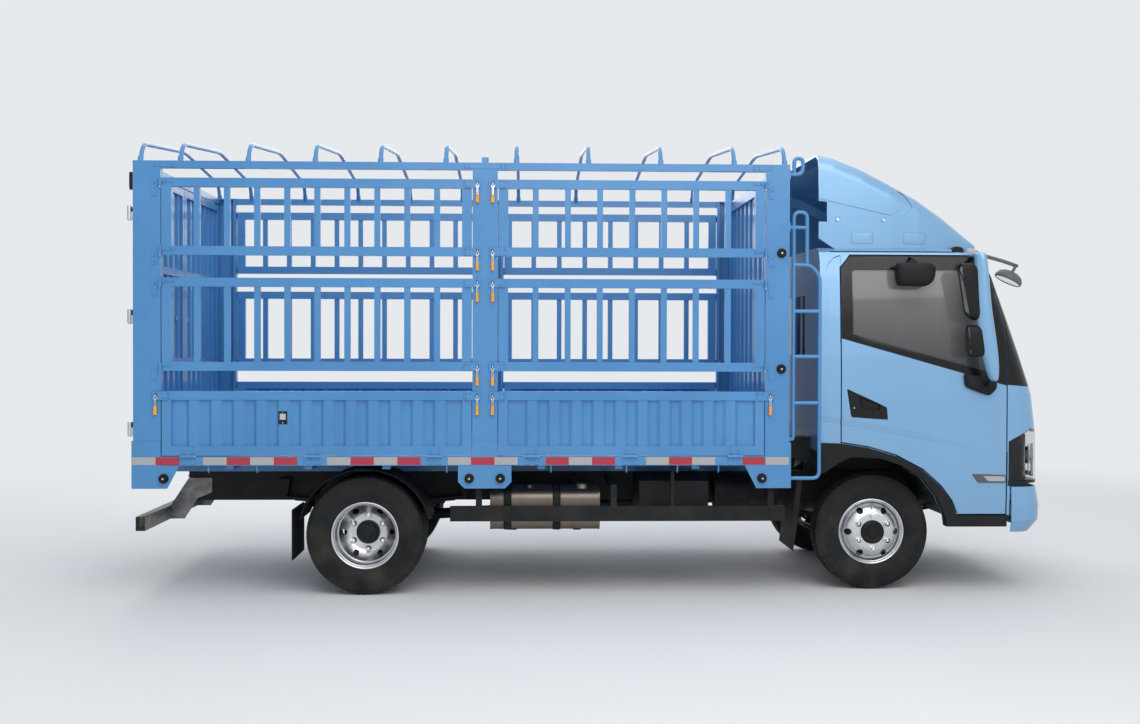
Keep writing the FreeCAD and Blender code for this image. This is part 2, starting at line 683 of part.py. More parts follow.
def build_chassis_equipment():
    # Fuel tank on the right with two straps on brackets from the rail.
    length = TANK_FRONT_X - TANK_REAR_X
    tank = block(TANK_REAR_X, TANK_FRONT_X, -TANK_OUTER_Y, -TANK_INNER_Y, TANK_BOTTOM, TANK_TOP)
    edges = [e for e in tank.Edges if abs(e.Length - length) < 1.0]
    save("fuel_tank", tank.makeFillet(TANK_CORNER, edges))
    straps = []
    low = TANK_BOTTOM - SEAT_GAP
    hook = -TANK_INNER_Y + SEAT_GAP
    top = FRAME_TOP - 25.0
    for x in (TANK_REAR_X + STRAP_INSET, TANK_FRONT_X - STRAP_INSET):
        straps.append(plate_yz([
            (-FRAME_HALF_WIDTH, top), (-FRAME_HALF_WIDTH, low - STRAP_SHEET), (-TANK_OUTER_Y + 40.0,
                                                                               low - STRAP_SHEET),
            (-TANK_OUTER_Y + 40.0, low), (hook, low), (hook, top)], x - STRAP_WIDTH / 2, x + STRAP_WIDTH / 2))
    # Battery and air box on the right, silencer on the left, control box behind the cab.
    battery = block(300.0, 760.0, -900.0, -FRAME_HALF_WIDTH, 480.0, 730.0)
    air = rod(830.0, -610.0, 640.0, 110.0, 240.0, vec(1, 0, 0))
    air_arm = block(930.0, 970.0, -520.0, -FRAME_HALF_WIDTH, 610.0, 670.0)
    silencer = rod(-620.0, 640.0, 560.0, 120.0, 680.0, vec(1, 0, 0))
    silencer_arms = [block(x, x + 30.0, FRAME_HALF_WIDTH, 560.0, 600.0, 650.0) for x in (-500.0, -60.0)]
    box = block(1328.0, 1470.0, -760.0, -560.0, 868.0, 1015.0)
    box_leg = plate_yz([
        (-FRAME_HALF_WIDTH, FRAME_TOP - 80.0), (-FRAME_HALF_WIDTH, FRAME_TOP), (-560.0, 900.0), (-560.0,
                                                                                                 868.0),
        (-700.0, 868.0), (-700.0, 862.0), (-540.0, 862.0)], 1380.0, 1420.0)
    save("chassis_equipment", group(straps + [
        battery, joined([air, air_arm]), joined([silencer] + silencer_arms), joined([box, box_leg])]))


def build_guards():
    inner_y = GUARD_OUTER_Y - GUARD_THICKNESS
    half = GUARD_ARM_WIDTH / 2
    reach = GUARD_OUTER_Y - 20.0
    over_tank = (TANK_TOP + 13.0, TANK_TOP + 43.0)
    left = [block(GUARD_REAR_X, GUARD_FRONT_X, inner_y, GUARD_OUTER_Y, GUARD_BOTTOM, GUARD_TOP)]
    right = [to_right(left[0])]
    for x in GUARD_ARM_XS:
        left.append(block(x - half, x + half, FRAME_HALF_WIDTH, reach, GUARD_TOP - 10.0, GUARD_TOP + 10.0))
        # On the right the arms pass over the tank, and drops carry the beam.
        right.append(block(x - half, x + half, -reach, -FRAME_HALF_WIDTH, *over_tank))
        right.append(block(x - half, x + half, 2.0 - GUARD_OUTER_Y, -inner_y, GUARD_TOP, over_tank[1]))
    # Rear underrun beam on two brackets.
    bar_x0 = BODY_REAR_X - UNDERRUN_REACH
    bar_x1 = bar_x0 + UNDERRUN_DEPTH
    low = UNDERRUN_BOTTOM
    high = UNDERRUN_TOP
    bar = block(bar_x0, bar_x1, -UNDERRUN_HALF_WIDTH, UNDERRUN_HALF_WIDTH, low, high)
    bracket = plate_xz([
        (bar_x1, low), (bar_x1, high), (FRAME_REAR_X, FRAME_TOP - 45.0), (FRAME_REAR_X + 160.0,
                                                                          FRAME_TOP - 45.0),
        (FRAME_REAR_X + 160.0, RAIL_BOTTOM + 55.0), (FRAME_REAR_X + 60.0, RAIL_BOTTOM + 15.0),
        (FRAME_REAR_X - 30.0, low)],
        FRAME_HALF_WIDTH, FRAME_HALF_WIDTH + UNDERRUN_BRACKET)
    save("guards", group([joined(left), joined(right), joined([bar] + both(bracket))]))


def arch_band(centre_x, centre_z, radius, wall, start_deg, end_deg, steps, y0, y1):
    """A bent mudguard sheet round a wheel."""
    inner = []
    for i in range(steps + 1):
        t = math.radians(start_deg + (end_deg - start_deg) * i / steps)
        inner.append((centre_x + radius * math.cos(t), centre_z + radius * math.sin(t)))
    outer = []
    for i in range(steps + 1):
        t = math.radians(end_deg + (start_deg - end_deg) * i / steps)
        outer.append((centre_x + (radius + wall) * math.cos(t), centre_z + (radius + wall) * math.sin(t)))
    return plate_xz(inner + outer, y0, y1)


def build_mudguards():
    pieces = []
    inner_y = REAR_INNER_WHEEL_Y - TYRE_WIDTH / 2 - 10.0
    outer_y = REAR_OUTER_WHEEL_Y + TYRE_WIDTH / 2 + 6.0
    band = arch_band(REAR_AXLE_X, TYRE_RADIUS, MUDGUARD_RADIUS, MUDGUARD_SHEET, 14.0, 166.0, 12, inner_y,
                     outer_y)
    flap = block(REAR_AXLE_X - 470.0, REAR_AXLE_X - 462.0, inner_y, outer_y, MUDFLAP_BOTTOM, 560.0)
    tab = block(REAR_AXLE_X - 470.0, REAR_AXLE_X - 380.0, inner_y + 60.0, inner_y + 120.0, 540.0, 560.0)
    stem = block(REAR_AXLE_X - 20.0, REAR_AXLE_X + 20.0, inner_y + 100.0, inner_y + 160.0,
                 TYRE_RADIUS + MUDGUARD_RADIUS, BEARER_TOP - SEAT_GAP)
    pieces += both(joined([band, flap, tab, stem]))
    front_flap = plate_xz([
        (1340.0, 735.0), (1375.0, 735.0), (1352.0, 500.0), (1318.0, 267.0), (1289.0, 290.0)], 620.0, 960.0)
    arm = block(1340.0, 1372.0, FRAME_HALF_WIDTH, 640.0, 690.0, 730.0)
    pieces += both(joined([front_flap, arm]))
    save("mudguards", group(pieces))


# Cab

def cab_section(z, front, bulge, half, corner, back, rounded=True):
    """One level of the cab: straight sides, round front corners and a slightly bowed front.

    The lining inside has plain folded corners instead of round ones.
    """
    shoulder = front - bulge
    low = half - corner
    turn = corner * (1 - math.sqrt(0.5))
    p = [
        vec(back, -half, z), vec(shoulder - corner, -half, z), vec(shoulder - turn, -half + turn, z),
        vec(shoulder, -low, z), vec(front, 0, z), vec(shoulder, low, z), vec(shoulder - turn, half - turn, z),
        vec(shoulder - corner, half, z), vec(back, half, z)]
    if not rounded:
        return Part.makePolygon(p + p[:1])
    edges = [
        Part.makeLine(p[0], p[1]),
        Part.Arc(p[1], p[2], p[3]).toShape(),
        Part.Arc(p[3], p[4], p[5]).toShape(),
        Part.Arc(p[5], p[6], p[7]).toShape(),
        Part.makeLine(p[7], p[8]),
        Part.makeLine(p[8], p[0])]
    return Part.Wire(edges)


def cab_body(inset, top_inset, rounded=True):
    """The closed form of the cab, drawn in by inset all round."""
    wires = []
    for z, front, bulge, half, corner in CAB_LEVELS:
        level = z - top_inset if z > CAB_LEVELS[-4][0] else z
        wires.append(cab_section(level, front - inset, bulge, half - inset, corner - inset * 0.6,
                                 CAB_BACK_X + inset, rounded))
    return Part.makeLoft(wires, True, True)


def door_outline():
    """The door in side view, from its rear top corner round the wheel arch to the windscreen pillar."""
    return [
        (DOOR_REAR_X, 2150.0), (DOOR_REAR_X + 70.0, DOOR_TOP), (2610.0, DOOR_TOP), (2650.0, 2060.0),
        (DOOR_FRONT_X, 1780.0), (DOOR_FRONT_X, CAB_BOTTOM), (2400.0, CAB_BOTTOM), (2357.0, 611.0),
        (2285.0, 706.0), (2166.0, 812.0), (1986.0, 907.0), (1800.0, 962.0), (DOOR_REAR_X, 990.0)]


def window_outline():
    return [
        (1702.0, 1706.0), (1697.0, 2120.0), (1716.0, 2136.0), (2520.0, 2136.0), (2560.0, 2060.0),
        (2640.0, 1790.0), (2660.0, 1500.0), (2640.0, 1448.0)]


def outline_face(points, y, inset):
    loop = [vec(x, y, z) for x, z in points]
    wire = Part.makePolygon(loop + loop[:1])
    face = Part.Face(wire)
    if inset == 0:
        return face
    return face.makeOffset2D(-inset, 2)


def side_prism(points, inset, y0, y1):
    return outline_face(points, y0, inset).extrude(vec(0, y1 - y0, 0))


def windscreen_prism():
    """The windscreen opening in front view."""
    return plate_yz([
        (-890.0, 1345.0), (890.0, 1345.0), (800.0, 2150.0), (-800.0, 2150.0)], 2400.0, 3100.0)


def rear_window_prism(grow):
    return plate_yz([
        (-520.0 + grow, 1560.0 + grow), (520.0 - grow, 1560.0 + grow), (520.0 - grow, 1980.0 - grow),
        (-520.0 + grow, 1980.0 - grow)], CAB_BACK_X - 50.0, CAB_BACK_X + 150.0)


def fender_crease():
    """The cut that leaves a crease over the wheel arch: square at the line, fading out above it."""
    side_y = CAB_LEVELS[2][3]
    clear = 20.0
    wires = []
    for x, z, depth, fade in CREASE:
        top = z + fade * (clear + depth) / depth
        loop = [vec(x, side_y + clear, z), vec(x, side_y - depth, z), vec(x, side_y + clear, min(top,
                                                                                                 z + 400.0))]
        wires.append(Part.makePolygon(loop + loop[:1]))
    return Part.makeLoft(wires, True, True)


def pillar_recess():
    """A shallow pressed panel in the pillar behind the door."""
    return plate_xz(PILLAR_PANEL, 900.0, 1100.0).cut(cab_body(PILLAR_RECESS, 0.0))


def build_cab():
    outer = cab_body(0.0, 0.0).cut(both(fender_crease()))
    inner = cab_body(CAB_WALL, 34.0, False)
    door_y0 = 900.0
    door_y1 = 1100.0
    opening = side_prism(door_outline(), 0, door_y0, door_y1)
    leaf = side_prism(door_outline(), DOOR_GAP, door_y0, door_y1)
    window = side_prism(window_outline(), 0, door_y0, door_y1)
    pane = side_prism(window_outline(), SEAT_GAP, door_y0, door_y1)

    # Regions of the inner form that are really empty.
    room = inner.common(block(CAB_BACK_X, 3100.0, -1100.0, 1100.0, CAB_FLOOR, 2400.0))
    wells = []
    for side in (-1, 1):
        a, b = sorted((side * 520.0, side * 1100.0))
        wells.append(inner.common(block(2400.0, 2700.0, a, b, 560.0, CAB_FLOOR)))
    nose = inner.common(block(2748.0, 3100.0, -1100.0, 1100.0, 400.0, CAB_FLOOR - 34.0))
    arch = [(1400.0, 300.0), (1400.0, 789.0)] + list(ARCH_INNER) + [(2330.0, 300.0)]
    under = plate_xz(arch, -1100.0, 1100.0)
    tunnel = block(1400.0, 2760.0, -480.0, 480.0, 300.0, CAB_FLOOR_BOTTOM)
    bumper_bay = block(2748.0, 3100.0, -1100.0, 1100.0, 300.0, BUMPER_TOP + BUMPER_GAP)
    shell = outer.cut([room] + wells + [nose, under, tunnel, bumper_bay, windscreen_prism(),
                                        rear_window_prism(0.0)])
    shell = shell.cut(both(opening) + both(pillar_recess()))
    lamp_bay = both(headlamp_prism(0.0))
    shell = shell.cut(lamp_bay + [grille_prism(0.0)] + both(arch_trim_prism()))
    save("cab_shell", largest(shell))

    # Doors: as thick as the wall, with the window cut and a pocket for the handle.
    side_y = CAB_LEVELS[2][3]
    pocket = plate_xz(HANDLE_POCKET, side_y - HANDLE_DEPTH, door_y1)
    door = outer.common(leaf).cut([inner, window, pocket])
    door = largest(door)
    save_sides("door", door)
    skin = cab_body(GLASS_RECESS, 0.0)
    skin_back = cab_body(GLASS_RECESS + GLASS_THICKNESS, 0.0)
    sheet = skin.cut(skin_back)
    glass = largest(sheet.common(pane))
    save_sides("door_glass", glass)
    screen = largest(sheet.common(plate_yz([
        (-890.0 + SEAT_GAP, 1345.0 + SEAT_GAP), (890.0 - SEAT_GAP, 1345.0 + SEAT_GAP),
        (800.0 - SEAT_GAP, 2150.0 - SEAT_GAP), (-800.0 + SEAT_GAP, 2150.0 - SEAT_GAP)], 2400.0, 3100.0)))
    back_pane = largest(sheet.common(rear_window_prism(SEAT_GAP)))
    save("cab_glass", group([screen, back_pane]))

    # Lamps, grille and arch trims fill their bays in the same outer form.
    lamp = largest(outer.common(headlamp_prism(SEAT_GAP)).cut(inner))
    save("headlamps", group(both(lamp)))
    grille = largest(outer.common(grille_prism(SEAT_GAP)).cut(inner))
    slots = []
    for i in range(5):
        z = 800.0 + i * 52.0
        slots.append(block(2900.0, 3100.0, -560.0, 560.0, z, z + 26.0))
    save("front_grille", largest(grille.cut(slots)))
    trims = []
    band = outer_wide().common(arch_trim_prism()).cut(inner)
    trims.append(largest(band))
    save("arch_trims", group(both(trims[0])))


def outer_wide():
    """The cab form a little proud, which the black arch trims and sills follow."""
    wires = []
    for z, front, bulge, half, corner in CAB_LEVELS[:4]:
        level = SILL_BOTTOM if z == CAB_BOTTOM else z
        wires.append(cab_section(level, front, bulge, half + 6.0, corner, CAB_BACK_X))
    return Part.makeLoft(wires, True, True)


def arch_trim_prism():
    """The black trim between the wheel opening and the painted panels, with the sill in front of it."""
    loop = list(ARCH_INNER[:-1])
    loop += [(2330.0, SILL_BOTTOM), (DOOR_FRONT_X, SILL_BOTTOM), (DOOR_FRONT_X, CAB_BOTTOM - 2.0)]
    loop += [(2404.0, CAB_BOTTOM - 2.0)] + [(x, z - 3.0) for x, z in reversed(ARCH_OUTER)]
    loop += [(1484.0, 789.0)]
    return plate_xz(loop, 930.0, 1100.0)


def headlamp_prism(inset):
    """The headlamp in side view, wrapped round the corner of the cab."""
    points = [(2738.0 + inset, 740.0 + inset), (3100.0, 740.0 + inset), (3100.0, 990.0 - inset),
              (2900.0, 1090.0 - inset), (2738.0 + inset, 1000.0 - inset)]
    return plate_xz(points, 640.0 + inset, 1100.0)


def grille_prism(inset):
    return plate_yz([
        (-640.0 + inset, 740.0 + inset), (640.0 - inset, 740.0 + inset), (640.0 - inset, 1080.0 - inset),
        (-640.0 + inset, 1080.0 - inset)], 2800.0, 3100.0)


def largest(shape):
    """The main solid of a cut, without slivers."""
    return max(shape.Solids, key=lambda s: s.Volume)


def deflector_section(x, half, top, base, round_top, rounded):
    """One cross-section of the roof deflector: upright sides, round upper edges and a slightly bowed top."""
    crown = top + 14.0
    turn = round_top * (1 - math.sqrt(0.5))
    p = [
        vec(x, -half, base), vec(x, -half, top - round_top), vec(x, -half + turn, top - turn),
        vec(x, -half + round_top, top), vec(x, 0, crown), vec(x, half - round_top, top),
        vec(x, half - turn, top - turn), vec(x, half, top - round_top), vec(x, half, base)]
    if not rounded:
        return Part.makePolygon(p + p[:1])
    edges = [
        Part.makeLine(p[0], p[1]),
        Part.Arc(p[1], p[2], p[3]).toShape(),
        Part.Arc(p[3], p[4], p[5]).toShape(),
        Part.Arc(p[5], p[6], p[7]).toShape(),
        Part.makeLine(p[7], p[8]),
        Part.makeLine(p[8], p[0])]
    return Part.Wire(edges)


def deflector_form(inset, shift, base, edge, rounded):
    """The closed form of the deflector, drawn in by inset; edge is the share of its height that is round."""
    wires = []
    for x, half, top in DEFLECTOR_STATIONS:
        round_top = min(110.0 - inset, (top - DEFLECTOR_BASE) * edge)
        wires.append(deflector_section(x - shift, half - inset, top - inset, base, round_top, rounded))
    return Part.makeLoft(wires, True, True)


def build_deflector():
    outer = deflector_form(0.0, 0.0, DEFLECTOR_BASE - 30.0, 0.7, True)
    inner = deflector_form(DEFLECTOR_WALL, 14.0, DEFLECTOR_BASE - 60.0, 0.6, False)
    channel = plate_xz(DEFLECTOR_CHANNEL, 700.0, 1100.0)
    channel = channel.cut(deflector_form(DEFLECTOR_CHANNEL_DEPTH, 0.0, DEFLECTOR_BASE - 60.0, 0.7, True))
    hood = outer.cut([inner] + both(channel))
    roof = cab_body(-SEAT_GAP, -SEAT_GAP)
    notch = plate_xz([(1400.0, 2458.0), (1548.0, 2458.0), (1547.0, 2590.0), (1400.0, 2608.0)], -1100.0,
                     1100.0)
    corner = plate_xz([(1400.0, 2200.0), (1610.0, 2268.0), (1480.0, 2355.0), (1400.0, 2355.0)], -1100.0,
                      1100.0)
    hood = largest(hood.cut([roof, notch, corner]))
    feet = []
    for x in (1640.0, 2300.0):
        foot = block(x, x + 60.0, 780.0, 905.0, ROOF_TOP + SEAT_GAP, ROOF_TOP + 8.0)
        feet += both(foot)
    hood = joined([hood] + [f.common(outer) for f in feet])
    save("roof_deflector", largest(hood))


def build_cab_inside():
    # Dashboard with column and steering wheel.
    inner = cab_body(CAB_WALL + 6.0, 40.0, False)
    floor = CAB_FLOOR + SEAT_GAP
    dash = plate_xz([
        (2560.0, 1250.0), (2575.0, 1300.0), (2620.0, 1330.0), (3000.0, 1330.0), (3000.0, floor), (2700.0,
                                                                                                  floor),
        (2690.0, 1060.0), (2640.0, 1120.0)], -1000.0, 1000.0)
    dash = largest(dash.common(inner))
    hub = vec(2440.0, 460.0, 1290.0)
    tilt = vec(0.62, 0, -0.78)
    column = Part.makeCylinder(COLUMN_RADIUS, COLUMN_LENGTH, hub, tilt)
    turn = FreeCAD.Placement(hub, FreeCAD.Rotation(vec(0, 0, 1), tilt))
    rim_radius = 205.0
    grip = 13.0
    loop = [vec(rim_radius + grip, 0, 0), vec(rim_radius, 0, grip), vec(rim_radius - grip, 0, 0),
            vec(rim_radius, 0, -grip)]
    ring = Part.Face(Part.makePolygon(loop + loop[:1])).revolve(vec(0, 0, 0), vec(0, 0, 1), 360)
    ring.Placement = turn
    spokes = Part.makeBox(24.0, 2 * rim_radius, 12.0, vec(-12.0, -rim_radius, -6.0))
    spokes.Placement = turn
    wheel = joined([ring, column, spokes])
    dash = dash.cut(wheel_column_room(hub, tilt))
    save("dashboard", group([dash, wheel]))
    seats = []
    for y, half in ((460.0, 250.0), (-400.0, 420.0)):
        cushion = block(1760.0, 2240.0, y - half, y + half, CAB_FLOOR + 160.0, CAB_FLOOR + 300.0)
        cushion = cushion.makeFillet(40.0, [e for e in cushion.Edges if e.Length > 2 * half - 1.0])
        base = block(1820.0, 2160.0, y - half + 60.0, y + half - 60.0, CAB_FLOOR + SEAT_GAP,
                     CAB_FLOOR + 170.0)
        back = plate_xz([
            (1620.0, 1250.0), (1740.0, 1200.0), (1800.0, 1250.0), (1700.0, 1820.0), (1610.0, 1840.0),
            (1570.0, 1800.0)],
            y - half, y + half)
        link = block(1700.0, 1800.0, y - 120.0, y + 120.0, CAB_FLOOR + 180.0, CAB_FLOOR + 290.0)
        seats.append(joined([cushion, base, back, link]))
    save("seats", group(seats))


def wheel_column_room(hub, tilt):
    return Part.makeCylinder(COLUMN_RADIUS + SEAT_GAP, COLUMN_LENGTH + SEAT_GAP, hub, tilt)


def build_bumper():
    levels = ((BUMPER_BOTTOM, 60.0), (BUMPER_BOTTOM + 76.0, 4.0), (BUMPER_BOTTOM + 180.0, 0.0), (BUMPER_TOP,
                                                                                                 18.0))

    def form(inset):
        wires = []
        for z, back in levels:
            wires.append(cab_section(z, BUMPER_FRONT_X - back - inset, 22.0,
                                     BUMPER_HALF_WIDTH - back * 0.4 - inset,
                                     130.0 - inset * 0.6, BUMPER_REAR_X - 4.0))
        return Part.makeLoft(wires, True, True)

    outer = form(0.0)
    shell = outer.cut(form(BUMPER_WALL))
    shell = shell.cut(block(2700.0, BUMPER_REAR_X, -1100.0, 1100.0, 300.0, 800.0))
    beam = block(BUMPER_REAR_X, BUMPER_REAR_X + 60.0, -940.0, 940.0, 500.0, 600.0)
    stays = both(block(FRAME_FRONT_X, BUMPER_REAR_X + 4.0, FRAME_HALF_WIDTH - 60.0, FRAME_HALF_WIDTH,
                       500.0 + 45.0, 600.0))
    ties = []
    for y in (-700.0, 0.0, 700.0):
        ties.append(block(BUMPER_REAR_X + 40.0, BUMPER_FRONT_X - 20.0, y - 25.0, y + 25.0, 520.0,
                          580.0).common(outer))
    side_ties = both(block(BUMPER_REAR_X, BUMPER_REAR_X + 60.0, 900.0, BUMPER_HALF_WIDTH - 2.0, 520.0,
                           580.0).common(outer))
    plate_seat = block(BUMPER_FRONT_X - 20.0, BUMPER_FRONT_X, -230.0, 230.0, 520.0, 660.0).common(outer)
    save("front_bumper", largest(joined([shell, beam, plate_seat] + stays + ties + side_ties)))


def build_mirrors():
    # Tall mirror on the door: shell, two glass heads behind it and the arms to the door.
    shell = plate_xz([
        (2478.0, 2234.0), (2520.0, 2240.0), (2560.0, 2100.0), (2600.0, 1500.0), (2598.0, 1410.0), (2565.0,
                                                                                                   1400.0),
        (2545.0, 1560.0), (2500.0, 2000.0)], 1150.0, 1215.0)
    main = block(2418.0, 2500.0, 1085.0, 1200.0, 1796.0, 2169.0)
    wide = block(2440.0, 2530.0, 1095.0, 1200.0, 1559.0, 1770.0)
    low_arm = plate_yz([(1012.0, 1320.0), (1160.0, 1410.0), (1160.0, 1460.0), (1012.0, 1440.0)], 2560.0,
                       2590.0)
    top_arm = plate_yz([(945.0, 2200.0), (1160.0, 2190.0), (1160.0, 2215.0), (945.0, 2228.0)], 2490.0, 2515.0)
    cab = cab_body(-SEAT_GAP, 0.0)
    save_sides("door_mirror", largest(joined([shell, main, wide, low_arm, top_arm]).cut(cab)))
    foot = block(2576.0, 2620.0, -800.0, -750.0, 2180.0, 2272.0)
    arm = bar_between((2590.0, -778.0, 2264.0), (2860.0, -850.0, 2150.0), 11.0)
    drop = bar_between((2856.0, -850.0, 2155.0), (2866.0, -850.0, 2075.0), 11.0)
    head = ring_of([(-34.0, 0.0), (-26.0, 62.0), (-6.0, 88.0), (14.0, 84.0), (34.0, 40.0), (38.0, 0.0)],
                   0.0, MIRROR_SIDES)
    head.rotate(vec(0, 0, 0), vec(0, 0, 1), -90.0)
    head.rotate(vec(0, 0, 0), vec(0, 1, 0), 30.0)
    head.translate(vec(2866.0, -850.0, 2075.0))
    save("corner_mirror", largest(joined([arm, drop, head, foot]).cut(cab)))
    # The kerb mirror hangs over the right door's window, on an arm from the frame above it.
    kerb_head = block(1950.0, 2221.0, -1120.0, -1040.0, 2019.0, 2175.0)
    kerb_head = kerb_head.makeChamfer(18.0, kerb_head.Edges)
    kerb_arm = plate_yz([(-1060.0, 2160.0), (-1060.0, 2185.0), (-950.0, 2215.0), (-950.0, 2180.0)], 2065.0,
                        2105.0)
    save("kerb_mirror", largest(joined([kerb_head, kerb_arm]).cut(cab)))


# Steering

def build_knuckles():
    reach = KINGPIN_Y + 60.0
    pin = rod(0, KINGPIN_Y, -70.0, KINGPIN_RADIUS, 140.0, vec(0, 0, 1))
    gap = 45.0 + SEAT_GAP
    yoke = block(-40.0, 40.0, KINGPIN_Y - 28.0, reach, gap, 62.0)
    foot = block(-40.0, 40.0, KINGPIN_Y - 28.0, reach, -62.0, -gap)
    web = block(-40.0, 40.0, KINGPIN_Y + 36.0, reach, -62.0, 62.0)
    spindle_end = FRONT_WHEEL_Y - FRONT_HUB_INSIDE - SEAT_GAP
    stub = rod(0, KINGPIN_Y + 40.0, 0, 45.0, spindle_end - KINGPIN_Y - 40.0, vec(0, 1, 0))
    arm = block(-190.0, -30.0, KINGPIN_Y - 10.0, KINGPIN_Y + 20.0, -62.0, -gap)
    knuckle = joined([yoke, foot, web, stub, arm, pin])
    save_sides("knuckle", at_axle(knuckle, FRONT_AXLE_X))


# Stake body

def build_deck():
    pieces = []
    inner = BODY_HALF_WIDTH - DECK_RAIL_DEPTH
    for y0, y1 in ((-BODY_HALF_WIDTH, -inner), (inner, BODY_HALF_WIDTH)):
        pieces.append(block(BODY_REAR_X, BODY_FRONT_X, y0, y1, DECK_RAIL_BOTTOM, DECK_TOP))
    pieces.append(block(BODY_REAR_X, BODY_FRONT_X, -inner, inner, BEARER_TOP, DECK_TOP))
    for x in (BODY_REAR_X, BODY_FRONT_X - DECK_RAIL_DEPTH):
        pieces.append(block(x, x + DECK_RAIL_DEPTH, -inner, inner, DECK_RAIL_BOTTOM, DECK_TOP))
    pitch = (BODY_FRONT_X - BODY_REAR_X - 200.0) / (BEARER_COUNT - 1)
    for i in range(BEARER_COUNT):
        x = BODY_REAR_X + 100.0 + i * pitch
        pieces.append(block(x - BEARER_WIDTH / 2, x + BEARER_WIDTH / 2, -inner, inner, BEARER_BOTTOM,
                            BEARER_TOP))
    for side in (-1, 1):
        lo, hi = sorted((side * (FRAME_HALF_WIDTH - RAIL_FLANGE), side * FRAME_HALF_WIDTH))
        pieces.append(block(BODY_REAR_X + 20.0, BODY_FRONT_X, lo, hi, FRAME_TOP, BEARER_BOTTOM))
    # Board hinges: the two outer eyes of each hinge stay on the deck rail.
    third = BOARD_HINGE_WIDTH / 3
    for x in BOARD_HINGE_XS["rear"] + BOARD_HINGE_XS["front"]:
        for side in (-1, 1):
            for start in (x - 1.5 * third, x + 0.5 * third + SEAT_GAP):
                eye = eight_sided((start, side * HINGE_Y, BOARD_HINGE_Z), KNUCKLE_RADIUS, "x",
                                  third - SEAT_GAP)
                lo, hi = sorted((side * BODY_HALF_WIDTH, side * (HINGE_Y)))
                leaf = block(start, start + third - SEAT_GAP, lo, hi, BOARD_HINGE_Z - KNUCKLE_RADIUS,
                             BOARD_HINGE_Z - 3.0)
                lo, hi = sorted((side * BODY_HALF_WIDTH, side * (BODY_HALF_WIDTH + 4.0)))
                skirt = block(start, start + third - SEAT_GAP, lo, hi, DECK_RAIL_BOTTOM + 8.0,
                              BOARD_HINGE_Z - 6.0)
                pieces += [eye, leaf, skirt]
    save("cargo_deck", joined(pieces))


def channel_post(x0, x1, z0, z1):
    """A pressed post: web on the outside, flanges and lips to the inside, open to the load space."""
    outer = BODY_HALF_WIDTH
    inner = outer - POST_DEPTH
    w = POST_WALL
    lip = 22.0
    section = [
        (x0, inner), (x0 + lip, inner), (x0 + lip, inner + w), (x0 + w, inner + w), (x0 + w, outer - w),
        (x1 - w, outer - w), (x1 - w, inner + w), (x1 - lip, inner + w), (x1 - lip, inner), (x1, inner),
        (x1, outer), (x0, outer)]
    return plate_xy(section, z0, z1)


def staple(x, z):
    """The eye on a post that a latch tab slips over."""
    y0 = BODY_HALF_WIDTH
    leg_low = block(x - STAPLE_WIDTH / 2, x + STAPLE_WIDTH / 2, y0 - 1.0, y0 + STAPLE_LENGTH,
                    z - STAPLE_HEIGHT / 2, z - STAPLE_HEIGHT / 2 + 7.0)
    leg_high = block(x - STAPLE_WIDTH / 2, x + STAPLE_WIDTH / 2, y0 - 1.0, y0 + STAPLE_LENGTH,
                     z + STAPLE_HEIGHT / 2 - 7.0, z + STAPLE_HEIGHT / 2)
    bridge = block(x - STAPLE_WIDTH / 2, x + STAPLE_WIDTH / 2, y0 + STAPLE_LENGTH - 6.0, y0 + STAPLE_LENGTH,
                   z - STAPLE_HEIGHT / 2, z + STAPLE_HEIGHT / 2)
    return [leg_low, leg_high, bridge]


def latch_column(bay_name):
    """Where the staples for the gates of a bay stand along the mid post."""
    if bay_name == "rear":
        return MID_POST[0] + LATCH_REACH
    return MID_POST[1] - LATCH_REACH


def post_hinge(bay_name, z):
    """The lower eye and strap of a lift-off hinge, on the corner post."""
    x0, x1, _, _ = BAYS[bay_name]
    edge = x0 if bay_name == "rear" else x1
    away = -1.0 if bay_name == "rear" else 1.0
    eye = eight_sided((edge, HINGE_Y, z - GATE_KNUCKLE / 2), KNUCKLE_RADIUS, "z", GATE_KNUCKLE / 2 - SEAT_GAP)
    lo, hi = sorted((edge + away * HINGE_STRAP * 0.7, edge))
    strap = block(lo, hi, BODY_HALF_WIDTH, BODY_HALF_WIDTH + STRAP_THICKNESS, z - GATE_KNUCKLE / 2, z)
    web = block(min(edge, edge + away * 6.0), max(edge, edge + away * 6.0), BODY_HALF_WIDTH, HINGE_Y,
                z - GATE_KNUCKLE / 2, z - SEAT_GAP)
    return [eye, strap, web]


